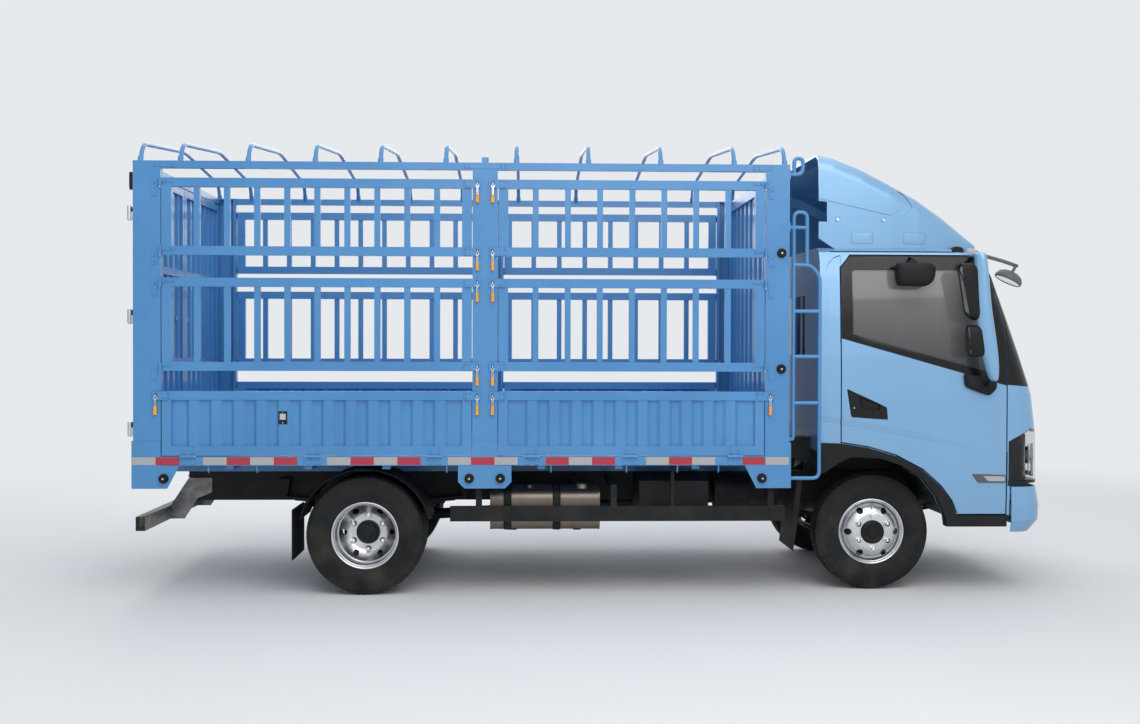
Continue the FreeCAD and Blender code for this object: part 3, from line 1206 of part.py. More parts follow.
def build_posts():
    deck = DECK_TOP
    outer = BODY_HALF_WIDTH
    skirt_out = outer + SLEEVE_WALL
    rear = [channel_post(REAR_POST[0], REAR_POST[1], deck, POST_TOP)]
    rear.append(plate_xz([
        (REAR_POST[0] - 10.0, SLEEVE_TOP), (REAR_POST[1], SLEEVE_TOP), (REAR_POST[1], DECK_RAIL_BOTTOM),
        (REAR_POST[1] + 118.0, DECK_RAIL_BOTTOM - SEAT_GAP), (REAR_POST[1] + 41.0, SKIRT_BOTTOM),
        (REAR_POST[0] - 10.0, SKIRT_BOTTOM)], outer, skirt_out))
    mid = [channel_post(MID_POST[0], MID_POST[1], deck, POST_TOP)]
    half = 172.0
    cut = 42.0
    mid.append(plate_xz([
        (MID_POST[0], SLEEVE_TOP), (MID_POST[1], SLEEVE_TOP), (MID_POST[1], DECK_RAIL_BOTTOM),
        (MID_POST_X + half, DECK_RAIL_BOTTOM), (MID_POST_X + half, SKIRT_BOTTOM + cut),
        (MID_POST_X + half - cut, SKIRT_BOTTOM), (MID_POST_X - half + cut, SKIRT_BOTTOM),
        (MID_POST_X - half, SKIRT_BOTTOM + cut), (MID_POST_X - half, DECK_RAIL_BOTTOM),
        (MID_POST[0], DECK_RAIL_BOTTOM)], outer, skirt_out))
    mid.append(block(MID_POST_X - 22.0, MID_POST_X + 22.0, outer - POST_DEPTH, outer, POST_TOP,
                     POST_TOP + 34.0))
    front = [channel_post(FRONT_POST[0], FRONT_POST[1], deck, POST_TOP)]
    front.append(plate_xz([
        (FRONT_POST[0], SLEEVE_TOP - 12.0), (FRONT_POST[1] + 14.0, SLEEVE_TOP - 12.0),
        (FRONT_POST[1] + 14.0, SKIRT_BOTTOM), (FRONT_POST[0] - 56.0, SKIRT_BOTTOM),
        (FRONT_POST[0] - 132.0, DECK_RAIL_BOTTOM - SEAT_GAP), (FRONT_POST[0], DECK_RAIL_BOTTOM)],
        outer, skirt_out))
    # Cross plates inside the channels close the posts at the rows of the hinges.
    for pieces, (x0, x1) in ((rear, REAR_POST), (mid, MID_POST), (front, FRONT_POST)):
        for z in (POST_TOP - 8.0, 1500.0, deck):
            pieces.append(block(x0, x1, outer - POST_DEPTH, outer, z, z + 8.0))
        pieces.append(block(x0, x1, outer - 40.0, outer, SKIRT_BOTTOM + 60.0, deck - DECK_RAIL_HEIGHT))
    for z in LATCH_ROWS:
        rear += post_hinge("rear", z)
        front += post_hinge("front", z)
    for z in LATCH_ROWS + (BOARD_LATCH_Z,):
        for bay_name in BAYS:
            mid += staple(latch_column(bay_name), z)
    rear += staple(REAR_POST[1] - LATCH_REACH, BOARD_LATCH_Z)
    front += staple(FRONT_POST[0] + LATCH_REACH, BOARD_LATCH_Z)
    # The rear posts carry the fixed eyes of the rear doors.
    for z in REAR_HINGE_ZS:
        eye = eight_sided((BODY_REAR_X - REAR_HINGE_STANDOFF, REAR_HINGE_Y, z - REAR_HINGE_LENGTH),
                          REAR_HINGE_RADIUS,
                          "z", REAR_HINGE_LENGTH - SEAT_GAP)
        leaf = block(BODY_REAR_X - REAR_HINGE_STANDOFF, BODY_REAR_X, BODY_HALF_WIDTH - 14.0, BODY_HALF_WIDTH,
                     z - REAR_HINGE_LENGTH, z - SEAT_GAP)
        rear += [eye, leaf]
    posts = []
    for pieces in (rear, mid, front):
        posts += both(joined(pieces))
    save("body_posts", group(posts))


def build_roof_frame():
    outer = BODY_HALF_WIDTH
    low = POST_TOP - ROOF_RAIL_HEIGHT
    rails = []
    for x0, x1 in ((REAR_POST[1], MID_POST[0]), (MID_POST[1], FRONT_POST[0])):
        rail = block(x0, x1, outer - ROOF_RAIL_DEPTH, outer, low, POST_TOP)
        rails += both(rail)
    inner = outer - POST_DEPTH
    rails.append(block(BODY_REAR_X, BODY_REAR_X + ROOF_RAIL_DEPTH, -inner, inner, low, POST_TOP))
    rails.append(block(BODY_FRONT_X - ROOF_RAIL_DEPTH, BODY_FRONT_X, -inner, inner, low, POST_TOP))
    save("roof_frame", group(rails))
    bows = []
    for x in BOW_XS:
        foot = POST_TOP
        leg = (BOW_BEND_Y, BOW_BEND_Z)
        bow = tube_run([
            (x, -BOW_FOOT_Y, foot - 20.0), (x, -leg[0], leg[1]), (x, 0, BOW_RIDGE_Z), (x, leg[0], leg[1]),
            (x, BOW_FOOT_Y, foot - 20.0)], BOW_RADIUS)
        trim = block(x - 50.0, x + 50.0, -BODY_HALF_WIDTH - 80.0, BODY_HALF_WIDTH + 80.0, foot - 100.0, foot)
        bows.append(largest(bow.cut(trim)))
    save("roof_bows", group(bows))


def build_front_wall():
    half = BODY_HALF_WIDTH - POST_DEPTH - SEAT_GAP
    top = POST_TOP - ROOF_RAIL_HEIGHT
    x = BODY_FRONT_X - 40.0
    section = wave(2 * half - 100.0, WALL_RIB_PITCH, 80.0, 20.0, 24.0, SHEET)
    sheet = plate_xy([(x + b, -half + 50.0 + a) for a, b in section], DECK_TOP + 40.0, top - 40.0)
    frame = [
        block(x - 20.0, x + 30.0, -half, half, DECK_TOP, DECK_TOP + 50.0),
        block(x - 20.0, x + 30.0, -half, half, top - 50.0, top),
        block(x - 20.0, x + 30.0, -half, -half + 55.0, DECK_TOP, top),
        block(x - 20.0, x + 30.0, half - 55.0, half, DECK_TOP, top)]
    save("front_wall", joined([sheet] + frame))


def latch(column_x, stile_x, z):
    """A riveted tab with a slot for the staple, and the lever that hangs from it."""
    y0 = BODY_HALF_WIDTH
    y1 = y0 + LATCH_LIFT
    y2 = y1 + LATCH_TAB_WALL
    away = 1.0 if column_x > stile_x else -1.0
    tip = column_x + away * 22.0
    root = stile_x - away * 46.0
    lo, hi = sorted((root, tip))
    tab = block(lo, hi, y1, y2, z - LATCH_TAB_HEIGHT / 2, z + LATCH_TAB_HEIGHT / 2)
    pad_lo, pad_hi = sorted((root, stile_x))
    pad = block(pad_lo, pad_hi, y0 - 2.0, y1, z - LATCH_TAB_HEIGHT / 2 + 4.0, z + LATCH_TAB_HEIGHT / 2 - 4.0)
    slot = block(column_x - STAPLE_WIDTH / 2 - STAPLE_CLEARANCE,
                 column_x + STAPLE_WIDTH / 2 + STAPLE_CLEARANCE,
                 y1 - 1.0, y2 + 1.0, z - STAPLE_HEIGHT / 2 - STAPLE_CLEARANCE,
                 z + STAPLE_HEIGHT / 2 + STAPLE_CLEARANCE)
    top = z - LATCH_TAB_HEIGHT / 2 + 8.0
    lever = block(column_x - LEVER_WIDTH / 2, column_x + LEVER_WIDTH / 2, y2, y2 + 8.0, top - LEVER_LENGTH,
                  top)
    grip = block(column_x - GRIP_WIDTH / 2, column_x + GRIP_WIDTH / 2, y2 - 2.0, y2 + 12.0,
                 top - LEVER_LENGTH - 6.0, top - LEVER_LENGTH - 6.0 + GRIP_LENGTH)
    return [tab.cut(slot), pad, lever, grip]


def gate(bay_name, z0, z1, rows):
    """A hinged stake gate: two rails, two stiles, upright bars, hinge eyes and latches."""
    left, right, bars, _ = BAYS[bay_name]
    x0 = left + GATE_CLEARANCE
    x1 = right - GATE_CLEARANCE
    y1 = BODY_HALF_WIDTH
    y0 = y1 - GATE_DEPTH
    pieces = [
        block(x0, x1, y0, y1, z1 - GATE_RAIL_HEIGHT, z1),
        block(x0, x1, y0, y1, z0, z0 + GATE_RAIL_HEIGHT),
        block(x0, x0 + GATE_STILE, y0, y1, z0, z1),
        block(x1 - GATE_STILE, x1, y0, y1, z0, z1)]
    span = (x1 - x0) - GATE_STILE
    pitch = span / (bars + 1)
    for i in range(bars):
        x = x0 + GATE_STILE / 2 + (i + 1) * pitch
        pieces.append(block(x - GATE_BAR / 2, x + GATE_BAR / 2, y1 - GATE_BAR_DEPTH - 3.0, y1 - 3.0,
                            z0 + GATE_RAIL_HEIGHT - 1.0, z1 - GATE_RAIL_HEIGHT + 1.0))
    hinge_x = left if bay_name == "rear" else right
    toward = 1.0 if bay_name == "rear" else -1.0
    free_x = x1 if bay_name == "rear" else x0
    for z in rows:
        pieces.append(eight_sided((hinge_x, HINGE_Y, z), KNUCKLE_RADIUS, "z", GATE_KNUCKLE / 2))
        lo, hi = sorted((hinge_x + toward * GATE_CLEARANCE, hinge_x + toward * HINGE_STRAP))
        pieces.append(block(lo, hi, y1 - 1.0, y1 + STRAP_THICKNESS, z, z + GATE_KNUCKLE / 2))
        lo, hi = sorted((hinge_x, hinge_x + toward * (GATE_CLEARANCE + 4.0)))
        pieces.append(block(lo, hi, y1 + 1.0, HINGE_Y, z, z + GATE_KNUCKLE / 2))
        pieces += latch(latch_column(bay_name), free_x, z)
    return joined(pieces)


def drop_board(bay_name):
    """A hinged side board: box rails and stiles round a ribbed sheet."""
    left, right, _, hinge_xs = BAYS[bay_name]
    x0 = left + GATE_CLEARANCE
    x1 = right - GATE_CLEARANCE
    y1 = BODY_HALF_WIDTH
    y0 = y1 - GATE_DEPTH
    pieces = [
        block(x0, x1, y0, y1, BOARD_TOP - BOARD_TOP_RAIL, BOARD_TOP),
        block(x0, x1, y0, y1, BOARD_BOTTOM, BOARD_BOTTOM + BOARD_BOTTOM_RAIL),
        block(x0, x0 + BOARD_STILE, y0, y1, BOARD_BOTTOM, BOARD_TOP),
        block(x1 - BOARD_STILE, x1, y0, y1, BOARD_BOTTOM, BOARD_TOP)]
    section = wave(x1 - x0 - 2 * BOARD_STILE + 2.0, RIB_PITCH, RIB_CREST, RIB_SLOPE, RIB_HEIGHT, SHEET)
    base_y = y1 - 4.0 - RIB_HEIGHT
    sheet = plate_xy([(x0 + BOARD_STILE - 1.0 + a, base_y + b) for a, b in section],
                     BOARD_BOTTOM + BOARD_BOTTOM_RAIL - 1.0, BOARD_TOP - BOARD_TOP_RAIL + 1.0)
    pieces.append(sheet)
    third = BOARD_HINGE_WIDTH / 3
    for x in hinge_xs:
        start = x - third / 2 + SEAT_GAP
        width = third - SEAT_GAP
        pieces.append(eight_sided((start, HINGE_Y, BOARD_HINGE_Z), KNUCKLE_RADIUS, "x", width))
        pieces.append(block(start, start + width, y1 - 1.0, HINGE_Y,
                            BOARD_HINGE_Z + 5.0, BOARD_HINGE_Z + KNUCKLE_RADIUS))
        pieces.append(block(start - third / 2, start + width + third / 2, y1 - 1.0, y1 + 4.0,
                            BOARD_HINGE_Z + KNUCKLE_RADIUS + 5.0, BOARD_HINGE_Z + 62.0))
        pieces.append(block(start, start + width, y1 - 1.0, y1 + 4.0, BOARD_HINGE_Z + 5.0,
                            BOARD_HINGE_Z + 30.0))
    pieces += latch(latch_column(bay_name), x1 if bay_name == "rear" else x0, BOARD_LATCH_Z)
    post_edge = left if bay_name == "rear" else right
    away = -1.0 if bay_name == "rear" else 1.0
    pieces += latch(post_edge + away * LATCH_REACH, x0 if bay_name == "rear" else x1, BOARD_LATCH_Z)
    return joined(pieces)


def build_gates():
    for bay_name in BAYS:
        save_sides("gate_upper_" + bay_name, gate(bay_name, UPPER_GATE_BOTTOM, UPPER_GATE_TOP,
                                                  LATCH_ROWS[:2]))
        save_sides("gate_lower_" + bay_name, gate(bay_name, LOWER_GATE_BOTTOM, LOWER_GATE_TOP,
                                                  LATCH_ROWS[2:]))
        save_sides("board_" + bay_name, drop_board(bay_name))


def build_rear_doors():
    x1 = BODY_REAR_X + REAR_DOOR_DEPTH
    x0 = BODY_REAR_X
    y0 = REAR_DOOR_GAP / 2
    y1 = BODY_HALF_WIDTH - POST_DEPTH - GATE_CLEARANCE
    z0 = REAR_DOOR_BOTTOM
    z1 = REAR_DOOR_TOP
    f = REAR_DOOR_FRAME
    pieces = [
        block(x0, x1, y0, y1, z0, z0 + f), block(x0, x1, y0, y1, z1 - f, z1),
        block(x0, x1, y0, y0 + f, z0, z1), block(x0, x1, y1 - f, y1, z0, z1)]
    for z in (1480.0, 2110.0):
        pieces.append(block(x0, x1, y0, y1, z, z + f))
    section = wave(y1 - y0 - 2 * f + 2.0, RIB_PITCH, RIB_CREST, RIB_SLOPE, RIB_HEIGHT, SHEET)
    pieces.append(plate_xy([(x0 + 22.0 - b, y0 + f - 1.0 + a) for a, b in section], z0 + f - 1.0,
                           z1 - f + 1.0))
    for z in REAR_HINGE_ZS:
        eye_x = x0 - REAR_HINGE_STANDOFF
        pieces.append(eight_sided((eye_x, REAR_HINGE_Y, z), REAR_HINGE_RADIUS, "z", REAR_HINGE_LENGTH))
        pieces.append(block(eye_x - 3.0, eye_x + 4.0, y1 - 110.0, REAR_HINGE_Y,
                            z + 4.0, z + REAR_HINGE_LENGTH - 4.0))
        pieces.append(block(eye_x, x0 + 1.0, y1 - 110.0, y1 - 20.0, z + 4.0, z + REAR_HINGE_LENGTH - 4.0))
    rod_y = y0 + 150.0
    rod_x = x0 - LOCK_ROD_STANDOFF
    pieces.append(eight_sided((rod_x, rod_y, z0 + 12.0), LOCK_ROD_RADIUS, "z", z1 - z0 - 24.0))
    for z in (z0 + 14.0, 1490.0, 1800.0, z1 - 44.0):
        pieces.append(block(rod_x - 3.0, x0 + 24.0, rod_y - 22.0, rod_y + 22.0, z, z + 30.0))
    save_sides("rear_door", joined(pieces))


def buffer(x, y, z, length):
    """A sixteen-sided rubber stud that stands out from the side."""
    turns = [2 * math.pi * (k + 0.5) / BUFFER_SIDES for k in range(BUFFER_SIDES)]
    ring = [(x + BUFFER_RADIUS * math.cos(t), z + BUFFER_RADIUS * math.sin(t)) for t in turns]
    return plate_xz(ring, y, y + length)


def build_buffers():
    pieces = []
    outer = BODY_HALF_WIDTH + SLEEVE_WALL + SEAT_GAP
    middle = BUFFER_SPACING / 2
    places = (REAR_POST[1] + BUFFER_REACH, MID_POST_X - middle, MID_POST_X + middle,
              FRONT_POST[0] - BUFFER_REACH)
    for x in places:
        pieces += both(buffer(x, outer, BUFFER_Z, BUFFER_LENGTH))
    for z in POST_BUFFER_ZS:
        pieces += both(buffer(FRONT_POST[0] + POST_BUFFER_X, BODY_HALF_WIDTH + SEAT_GAP, z,
                              POST_BUFFER_LENGTH))
    save("rubber_buffers", group(pieces))


def bar_between(start, end, radius):
    """A straight eight-sided tube between two points at one depth."""
    run = vec(*end) - vec(*start)
    bar = eight_sided((0, 0, 0), radius, "z", run.Length)
    bar.Placement = FreeCAD.Placement(vec(*start), FreeCAD.Rotation(vec(0, 0, 1), run))
    return bar


def build_ladder():
    """Tube ladder on the front right of the body, up to the roof."""
    y = LADDER_Y
    r = LADDER_TUBE_RADIUS
    inner_x = 1288.0
    mid_x = 1375.0
    outer_x = 1460.0
    wall_x = BODY_FRONT_X + 14.0
    loop_x = 1345.0
    bars = [
        ((inner_x, 1020.0), (inner_x, 2500.0)),
        ((outer_x, 766.0), (outer_x, 2090.0)),
        ((outer_x, 2090.0), (mid_x + 20.0, 2157.0)),
        ((mid_x, 2157.0), (mid_x, 2500.0)),
        ((wall_x, 766.0), (outer_x, 766.0)),
        ((BODY_FRONT_X, 1020.0), (inner_x, 1020.0)),
        ((inner_x, 1257.0), (outer_x, 1257.0)),
        ((inner_x, 1560.0), (outer_x, 1560.0)),
        ((inner_x, 1855.0), (outer_x, 1855.0)),
        ((inner_x, 2157.0), (mid_x + 20.0, 2157.0)),
        ((BODY_FRONT_X, 2400.0), (mid_x, 2400.0)),
        ((inner_x, 2500.0), (mid_x, 2500.0)),
    ]
    hand_loop = [
        ((BODY_FRONT_X, 2745.0), (loop_x, 2745.0)),
        ((loop_x, 2745.0), (loop_x, 2850.0)),
        ((inner_x, 2850.0), (loop_x, 2850.0)),
        ((inner_x, 2745.0), (inner_x, 2850.0)),
    ]
    ladder = [bar_between((x0, y, z0), (x1, y, z1), r) for (x0, z0), (x1, z1) in bars]
    top_loop = [bar_between((x0, y, z0), (x1, y, z1), r) for (x0, z0), (x1, z1) in hand_loop]
    save("side_ladder", group([joined(ladder), joined(top_loop)]))


def build_lamps():
    pieces = []
    for side in (-1, 1):
        lo, hi = sorted((side * (BODY_HALF_WIDTH - 500.0), side * (BODY_HALF_WIDTH - 140.0)))
        pieces.append(block(BODY_REAR_X - 32.0, BODY_REAR_X - SEAT_GAP, lo, hi, 765.0,
                            DECK_RAIL_BOTTOM + 22.0))
        lo, hi = sorted((side * (BODY_HALF_WIDTH - 54.0), side * (BODY_HALF_WIDTH - 8.0)))
        pieces.append(block(BODY_REAR_X - 24.0, BODY_REAR_X - SEAT_GAP, lo, hi, 2620.0, 2730.0))
    save("rear_lamps", group(pieces))


build_wheels()
build_frame()
build_suspension()
build_engine()
build_chassis_equipment()
build_guards()
build_mudguards()
build_cab()
build_deflector()
build_cab_inside()
build_bumper()
build_mirrors()
build_knuckles()
build_deck()
build_posts()
build_roof_frame()
build_front_wall()
build_gates()
build_rear_doors()
build_buffers()
build_ladder()
build_lamps()
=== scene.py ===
# %% [markdown]
# A light truck with a blue stake body, dressed for its portrait.
# The working model already gives every frame member, hinge and wheel its place and its motion. This file is
# the second half of the job: paint, glass, rubber, tape and the small pieces that a maker fits last.
# Lengths are metres. The truck faces +X, its left side is +Y, and the ground is Z = 0.

# %% Load the working model
import bpy
import bmesh
import math
from mathutils import Matrix, Vector


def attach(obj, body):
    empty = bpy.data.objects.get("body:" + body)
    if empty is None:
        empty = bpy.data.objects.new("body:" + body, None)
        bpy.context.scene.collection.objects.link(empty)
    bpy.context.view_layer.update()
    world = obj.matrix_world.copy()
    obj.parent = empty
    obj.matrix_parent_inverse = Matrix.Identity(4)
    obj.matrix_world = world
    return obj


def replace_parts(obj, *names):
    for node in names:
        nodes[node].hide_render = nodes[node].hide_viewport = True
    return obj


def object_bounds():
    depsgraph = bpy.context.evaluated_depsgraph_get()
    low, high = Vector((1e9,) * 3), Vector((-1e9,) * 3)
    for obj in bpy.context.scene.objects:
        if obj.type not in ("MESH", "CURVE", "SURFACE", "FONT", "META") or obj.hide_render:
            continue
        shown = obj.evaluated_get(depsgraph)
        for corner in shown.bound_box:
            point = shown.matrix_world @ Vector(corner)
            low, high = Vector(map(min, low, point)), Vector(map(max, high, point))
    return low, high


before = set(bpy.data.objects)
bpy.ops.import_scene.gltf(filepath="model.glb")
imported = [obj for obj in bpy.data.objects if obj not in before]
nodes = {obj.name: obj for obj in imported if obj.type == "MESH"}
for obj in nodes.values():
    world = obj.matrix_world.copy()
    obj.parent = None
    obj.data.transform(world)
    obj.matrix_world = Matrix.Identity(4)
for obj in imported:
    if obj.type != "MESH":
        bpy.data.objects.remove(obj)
model_low, model_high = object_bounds()
print("size:", [round(b - a, 3) for a, b in zip(model_low, model_high)])

# %% [markdown]
# The camera stands where the photographer stood: almost ten metres out on the right side, at eye height,
# looking nearly square at the truck. A portrait from the same place shows the same overlaps, such as the
# far gates behind the near ones.

# %% Camera
IMAGE_WIDTH = 1140.0
FOCAL_PIXELS = 1309.54
CAMERA_PLACE = Vector((-0.4525, -9.5753, 1.6287))
CAMERA_YAW = 0.0333
CAMERA_PITCH = -0.0126
CAMERA_ROLL = 0.0024
SENSOR_WIDTH = 36.0

ahead = Vector((
    math.sin(CAMERA_YAW) * math.cos(CAMERA_PITCH),
    math.cos(CAMERA_YAW) * math.cos(CAMERA_PITCH),
    math.sin(CAMERA_PITCH)))
level_right = Vector((math.cos(CAMERA_YAW), -math.sin(CAMERA_YAW), 0.0))
level_up = level_right.cross(ahead)
right = level_right * math.cos(CAMERA_ROLL) + level_up * math.sin(CAMERA_ROLL)
up = level_up * math.cos(CAMERA_ROLL) - level_right * math.sin(CAMERA_ROLL)

camera_data = bpy.data.cameras.new("camera")
camera_data.sensor_width = SENSOR_WIDTH
camera_data.lens = FOCAL_PIXELS / IMAGE_WIDTH * SENSOR_WIDTH
camera = bpy.data.objects.new("camera", camera_data)
turn = Matrix((right, up, -ahead)).transposed().to_4x4()
camera.matrix_world = Matrix.Translation(CAMERA_PLACE) @ turn
bpy.context.scene.collection.objects.link(camera)
bpy.context.scene.camera = camera
print("lens:", round(camera_data.lens, 2), "mm")

# %% [markdown]
# The light is plain and soft, as in an open hall: a bright sky all round, one broad lamp above and in front
# of the near side, one for the far side and one overhead. A surface that faces the camera then shows about
# the colour that its paint was given. The picture has a pale background, but more light would wash the paint
# out. So only the rays that the camera sees, directly or in glass and metal, meet a pale sky, and the floor
# fades into that same tone far from the truck, where no shadow falls.

# %% Sky, lamps and floor
bpy.context.scene.view_settings.view_transform = "Standard"
SKY_STRENGTH = 0.46
BACKGROUND = (0.80, 0.82, 0.84, 1.0)
world = bpy.data.worlds.new("hall")
bpy.context.scene.world = world
world.use_nodes = True
sky = world.node_tree.nodes["Background"]
sky.inputs["Strength"].default_value = SKY_STRENGTH
sky.inputs["Color"].default_value = (0.93, 0.96, 1.0, 1.0)
shown_sky = world.node_tree.nodes.new("ShaderNodeBackground")
shown_sky.inputs["Color"].default_value = BACKGROUND
shown_sky.inputs["Strength"].default_value = 1.0


def seen_rays(tree):
    """1 for the rays that reach the eye: straight, mirrored or through glass."""
    path = tree.nodes.new("ShaderNodeLightPath")
    seen = path.outputs["Is Camera Ray"]
    for kind in ("Is Glossy Ray", "Is Transmission Ray"):
        either = tree.nodes.new("ShaderNodeMath")
        either.operation = "MAXIMUM"
        tree.links.new(seen, either.inputs[0])
        tree.links.new(path.outputs[kind], either.inputs[1])
        seen = either.outputs[0]
    return seen


def blend_shaders(tree, share, first, second, output):
    """Shows the second shader where share is 1, and the first one elsewhere."""
    blend = tree.nodes.new("ShaderNodeMixShader")
    tree.links.new(share, blend.inputs["Fac"])
    tree.links.new(first.outputs[0], blend.inputs[1])
    tree.links.new(second.outputs[0], blend.inputs[2])
    tree.links.new(blend.outputs[0], tree.nodes[output].inputs["Surface"])


blend_shaders(world.node_tree, seen_rays(world.node_tree), sky, shown_sky, "World Output")


def soft_lamp(name, place, target, size, power):
    """A square area lamp that looks at a target."""
    lamp_data = bpy.data.lights.new(name, "AREA")
    lamp_data.shape = "SQUARE"
    lamp_data.size = size
    lamp_data.energy = power
    lamp = bpy.data.objects.new(name, lamp_data)
    lamp.location = place
    lamp.rotation_mode = "QUATERNION"
    lamp.rotation_quaternion = (Vector(target) - Vector(place)).to_track_quat("-Z", "Y")
    bpy.context.scene.collection.objects.link(lamp)


LAMPS = (
    # name, place, target, width in metres, power in watts
    ("near_lamp", (1.5, -9.0, 7.5), (0.0, 0.0, 1.2), 9.0, 580.0),
    ("far_lamp", (-2.0, 9.0, 7.0), (0.0, 0.0, 1.2), 9.0, 440.0),
    ("top_lamp", (0.0, 0.0, 9.0), (0.0, 0.0, 0.0), 11.0, 265.0))
for lamp in LAMPS:
    soft_lamp(*lamp)

FLOOR_REACH = 60.0
FLOOR_COLOUR = (0.80, 0.81, 0.82, 1.0)
FADE_START = 5.0
FADE_END = 11.0
FLOOR_Z = min(0.0, model_low.z)
floor_mesh = bpy.data.meshes.new("floor")
floor_mesh.from_pydata(
    [(a * FLOOR_REACH, b * FLOOR_REACH, FLOOR_Z) for a, b in ((-1, -1), (1, -1), (1, 1), (-1, 1))], [],
    [(0, 1, 2, 3)])
floor = bpy.data.objects.new("floor", floor_mesh)
bpy.context.scene.collection.objects.link(floor)
floor_paint = bpy.data.materials.new("studio_floor")
floor_paint.use_nodes = True
tree = floor_paint.node_tree
shader = tree.nodes["Principled BSDF"]
shader.inputs["Base Color"].default_value = FLOOR_COLOUR
shader.inputs["Roughness"].default_value = 0.9
glow = tree.nodes.new("ShaderNodeEmission")
glow.inputs["Color"].default_value = BACKGROUND
distance = tree.nodes.new("ShaderNodeVectorMath")
distance.operation = "LENGTH"
tree.links.new(tree.nodes.new("ShaderNodeTexCoord").outputs["Object"], distance.inputs[0])
fade = tree.nodes.new("ShaderNodeMapRange")
fade.interpolation_type = "SMOOTHSTEP"
fade.inputs["From Min"].default_value = FADE_START
fade.inputs["From Max"].default_value = FADE_END
tree.links.new(distance.outputs["Value"], fade.inputs["Value"])
both = tree.nodes.new("ShaderNodeMath")
both.operation = "MULTIPLY"
tree.links.new(fade.outputs["Result"], both.inputs[0])
tree.links.new(seen_rays(tree), both.inputs[1])
blend_shaders(tree, both.outputs[0], shader, glow, "Material Output")
floor_mesh.materials.append(floor_paint)
print("floor fades from", FADE_START, "to", FADE_END, "m")

# %% [markdown]
# A finish is a small tree of shader nodes. Real paint is never one flat colour: it drifts a little from
# panel to panel, carries a fine orange-peel skin, and gathers pale dust near the road. The helpers below
# name those effects once, so that each finish can be read as a short recipe.

# %% Helpers for finishes
class Finish:
    """A material under construction, with the colour and the relief that it has reached so far."""

    def __init__(self, name, colour, roughness, metallic=0.0):
        self.material = bpy.data.materials.new(name)
        self.material.use_nodes = True
        self.tree = self.material.node_tree
        self.shader = self.tree.nodes["Principled BSDF"]
        self.set(Base_Color=(*colour, 1.0), Roughness=roughness, Metallic=metallic)
        self.colour = None
        self.plain = colour
        self.relief = None
        self.place = self.node("TexCoord").outputs["Object"]

    def link(self, start, end):
        self.tree.links.new(start, end)

    def set(self, **values):
        for name, value in values.items():
            self.shader.inputs[name.replace("_", " ")].default_value = value

    def node(self, kind, **values):
        """A new shader node with some of its inputs filled in."""
        node = self.tree.nodes.new("ShaderNode" + kind)
        for name, value in values.items():
            node.inputs[name.replace("_", " ")].default_value = value
        return node

    def pattern(self, kind, output, **values):
        """A pattern that is fixed to the truck."""
        node = self.node(kind, **values)
        self.link(self.place, node.inputs["Vector"])
        return node.outputs[output]

    def noise(self, scale, detail=3.0):
        return self.pattern("TexNoise", "Fac", Scale=scale, Detail=detail)

    def cells(self, scale):
        """Small cells, by the distance from the middle of each."""
        return self.pattern("TexVoronoi", "Distance", Scale=scale)

    def spread(self, value, low, high, out_low=0.0, out_high=1.0):
        """Maps low..high to out_low..out_high, clamped."""
        node = self.node("MapRange", From_Min=low, From_Max=high, To_Min=out_low, To_Max=out_high)
        self.link(value, node.inputs["Value"])
        return node.outputs["Result"]

    def times(self, a, b):
        node = self.node("Math")
        node.operation = "MULTIPLY"
        self.link(a, node.inputs[0])
        if isinstance(b, float):
            node.inputs[1].default_value = b
        else:
            self.link(b, node.inputs[1])
        return node.outputs[0]

    def height(self):
        """How high above the road a point is."""
        node = self.node("SeparateXYZ")
        self.link(self.place, node.inputs[0])
        return node.outputs["Z"]

    def tint(self, mask, colour):
        """Lays a colour over the present one where the mask is 1."""
        node = self.node("Mix")
        node.data_type = "RGBA"
        self.link(mask, node.inputs[0])
        if self.colour is None:
            node.inputs[6].default_value = (*self.plain, 1.0)
        else:
            self.link(self.colour, node.inputs[6])
        node.inputs[7].default_value = (*colour, 1.0)
        self.colour = node.outputs[2]
        self.link(self.colour, self.shader.inputs["Base Color"])

    def shaded(self, mask, factor):
        """Lays a darker or paler tone of the plain colour over the present one."""
        self.tint(mask, tuple(c * factor for c in self.plain))

    def rough(self, mask, low, high):
        self.link(self.spread(mask, 0.0, 1.0, low, high), self.shader.inputs["Roughness"])

    def press(self, value, depth):
        """Raises and lowers the surface by about depth metres."""
        node = self.node("Bump", Distance=depth, Strength=1.0)
        self.link(value, node.inputs["Height"])
        if self.relief is not None:
            self.link(self.relief, node.inputs["Normal"])
        self.relief = node.outputs["Normal"]
        self.link(self.relief, self.shader.inputs["Normal"])

    def soft_edges(self, radius):
        """Rounds sharp edges by a small radius in the shading."""
        node = self.node("Bevel", Radius=radius)
        node.samples = 4
        self.relief = node.outputs["Normal"]
        self.link(self.relief, self.shader.inputs["Normal"])

    def dust(self, top, amount, colour=(0.30, 0.27, 0.23)):
        """Road dust that thins out towards the height top."""
        low = self.spread(self.height(), 0.15, top, 1.0, 0.0)
        patches = self.spread(self.noise(6.0, 6.0), 0.40, 0.75)
        self.tint(self.times(self.times(low, patches), amount), colour)


# %% [markdown]
# Two blues do most of the work. The stake body wears a plain two-pack paint, satin from its thick sprayed
# coat. The cab wears a lighter metallic blue under clear lacquer, so it gets flakes, a coat and sharper
# reflections.

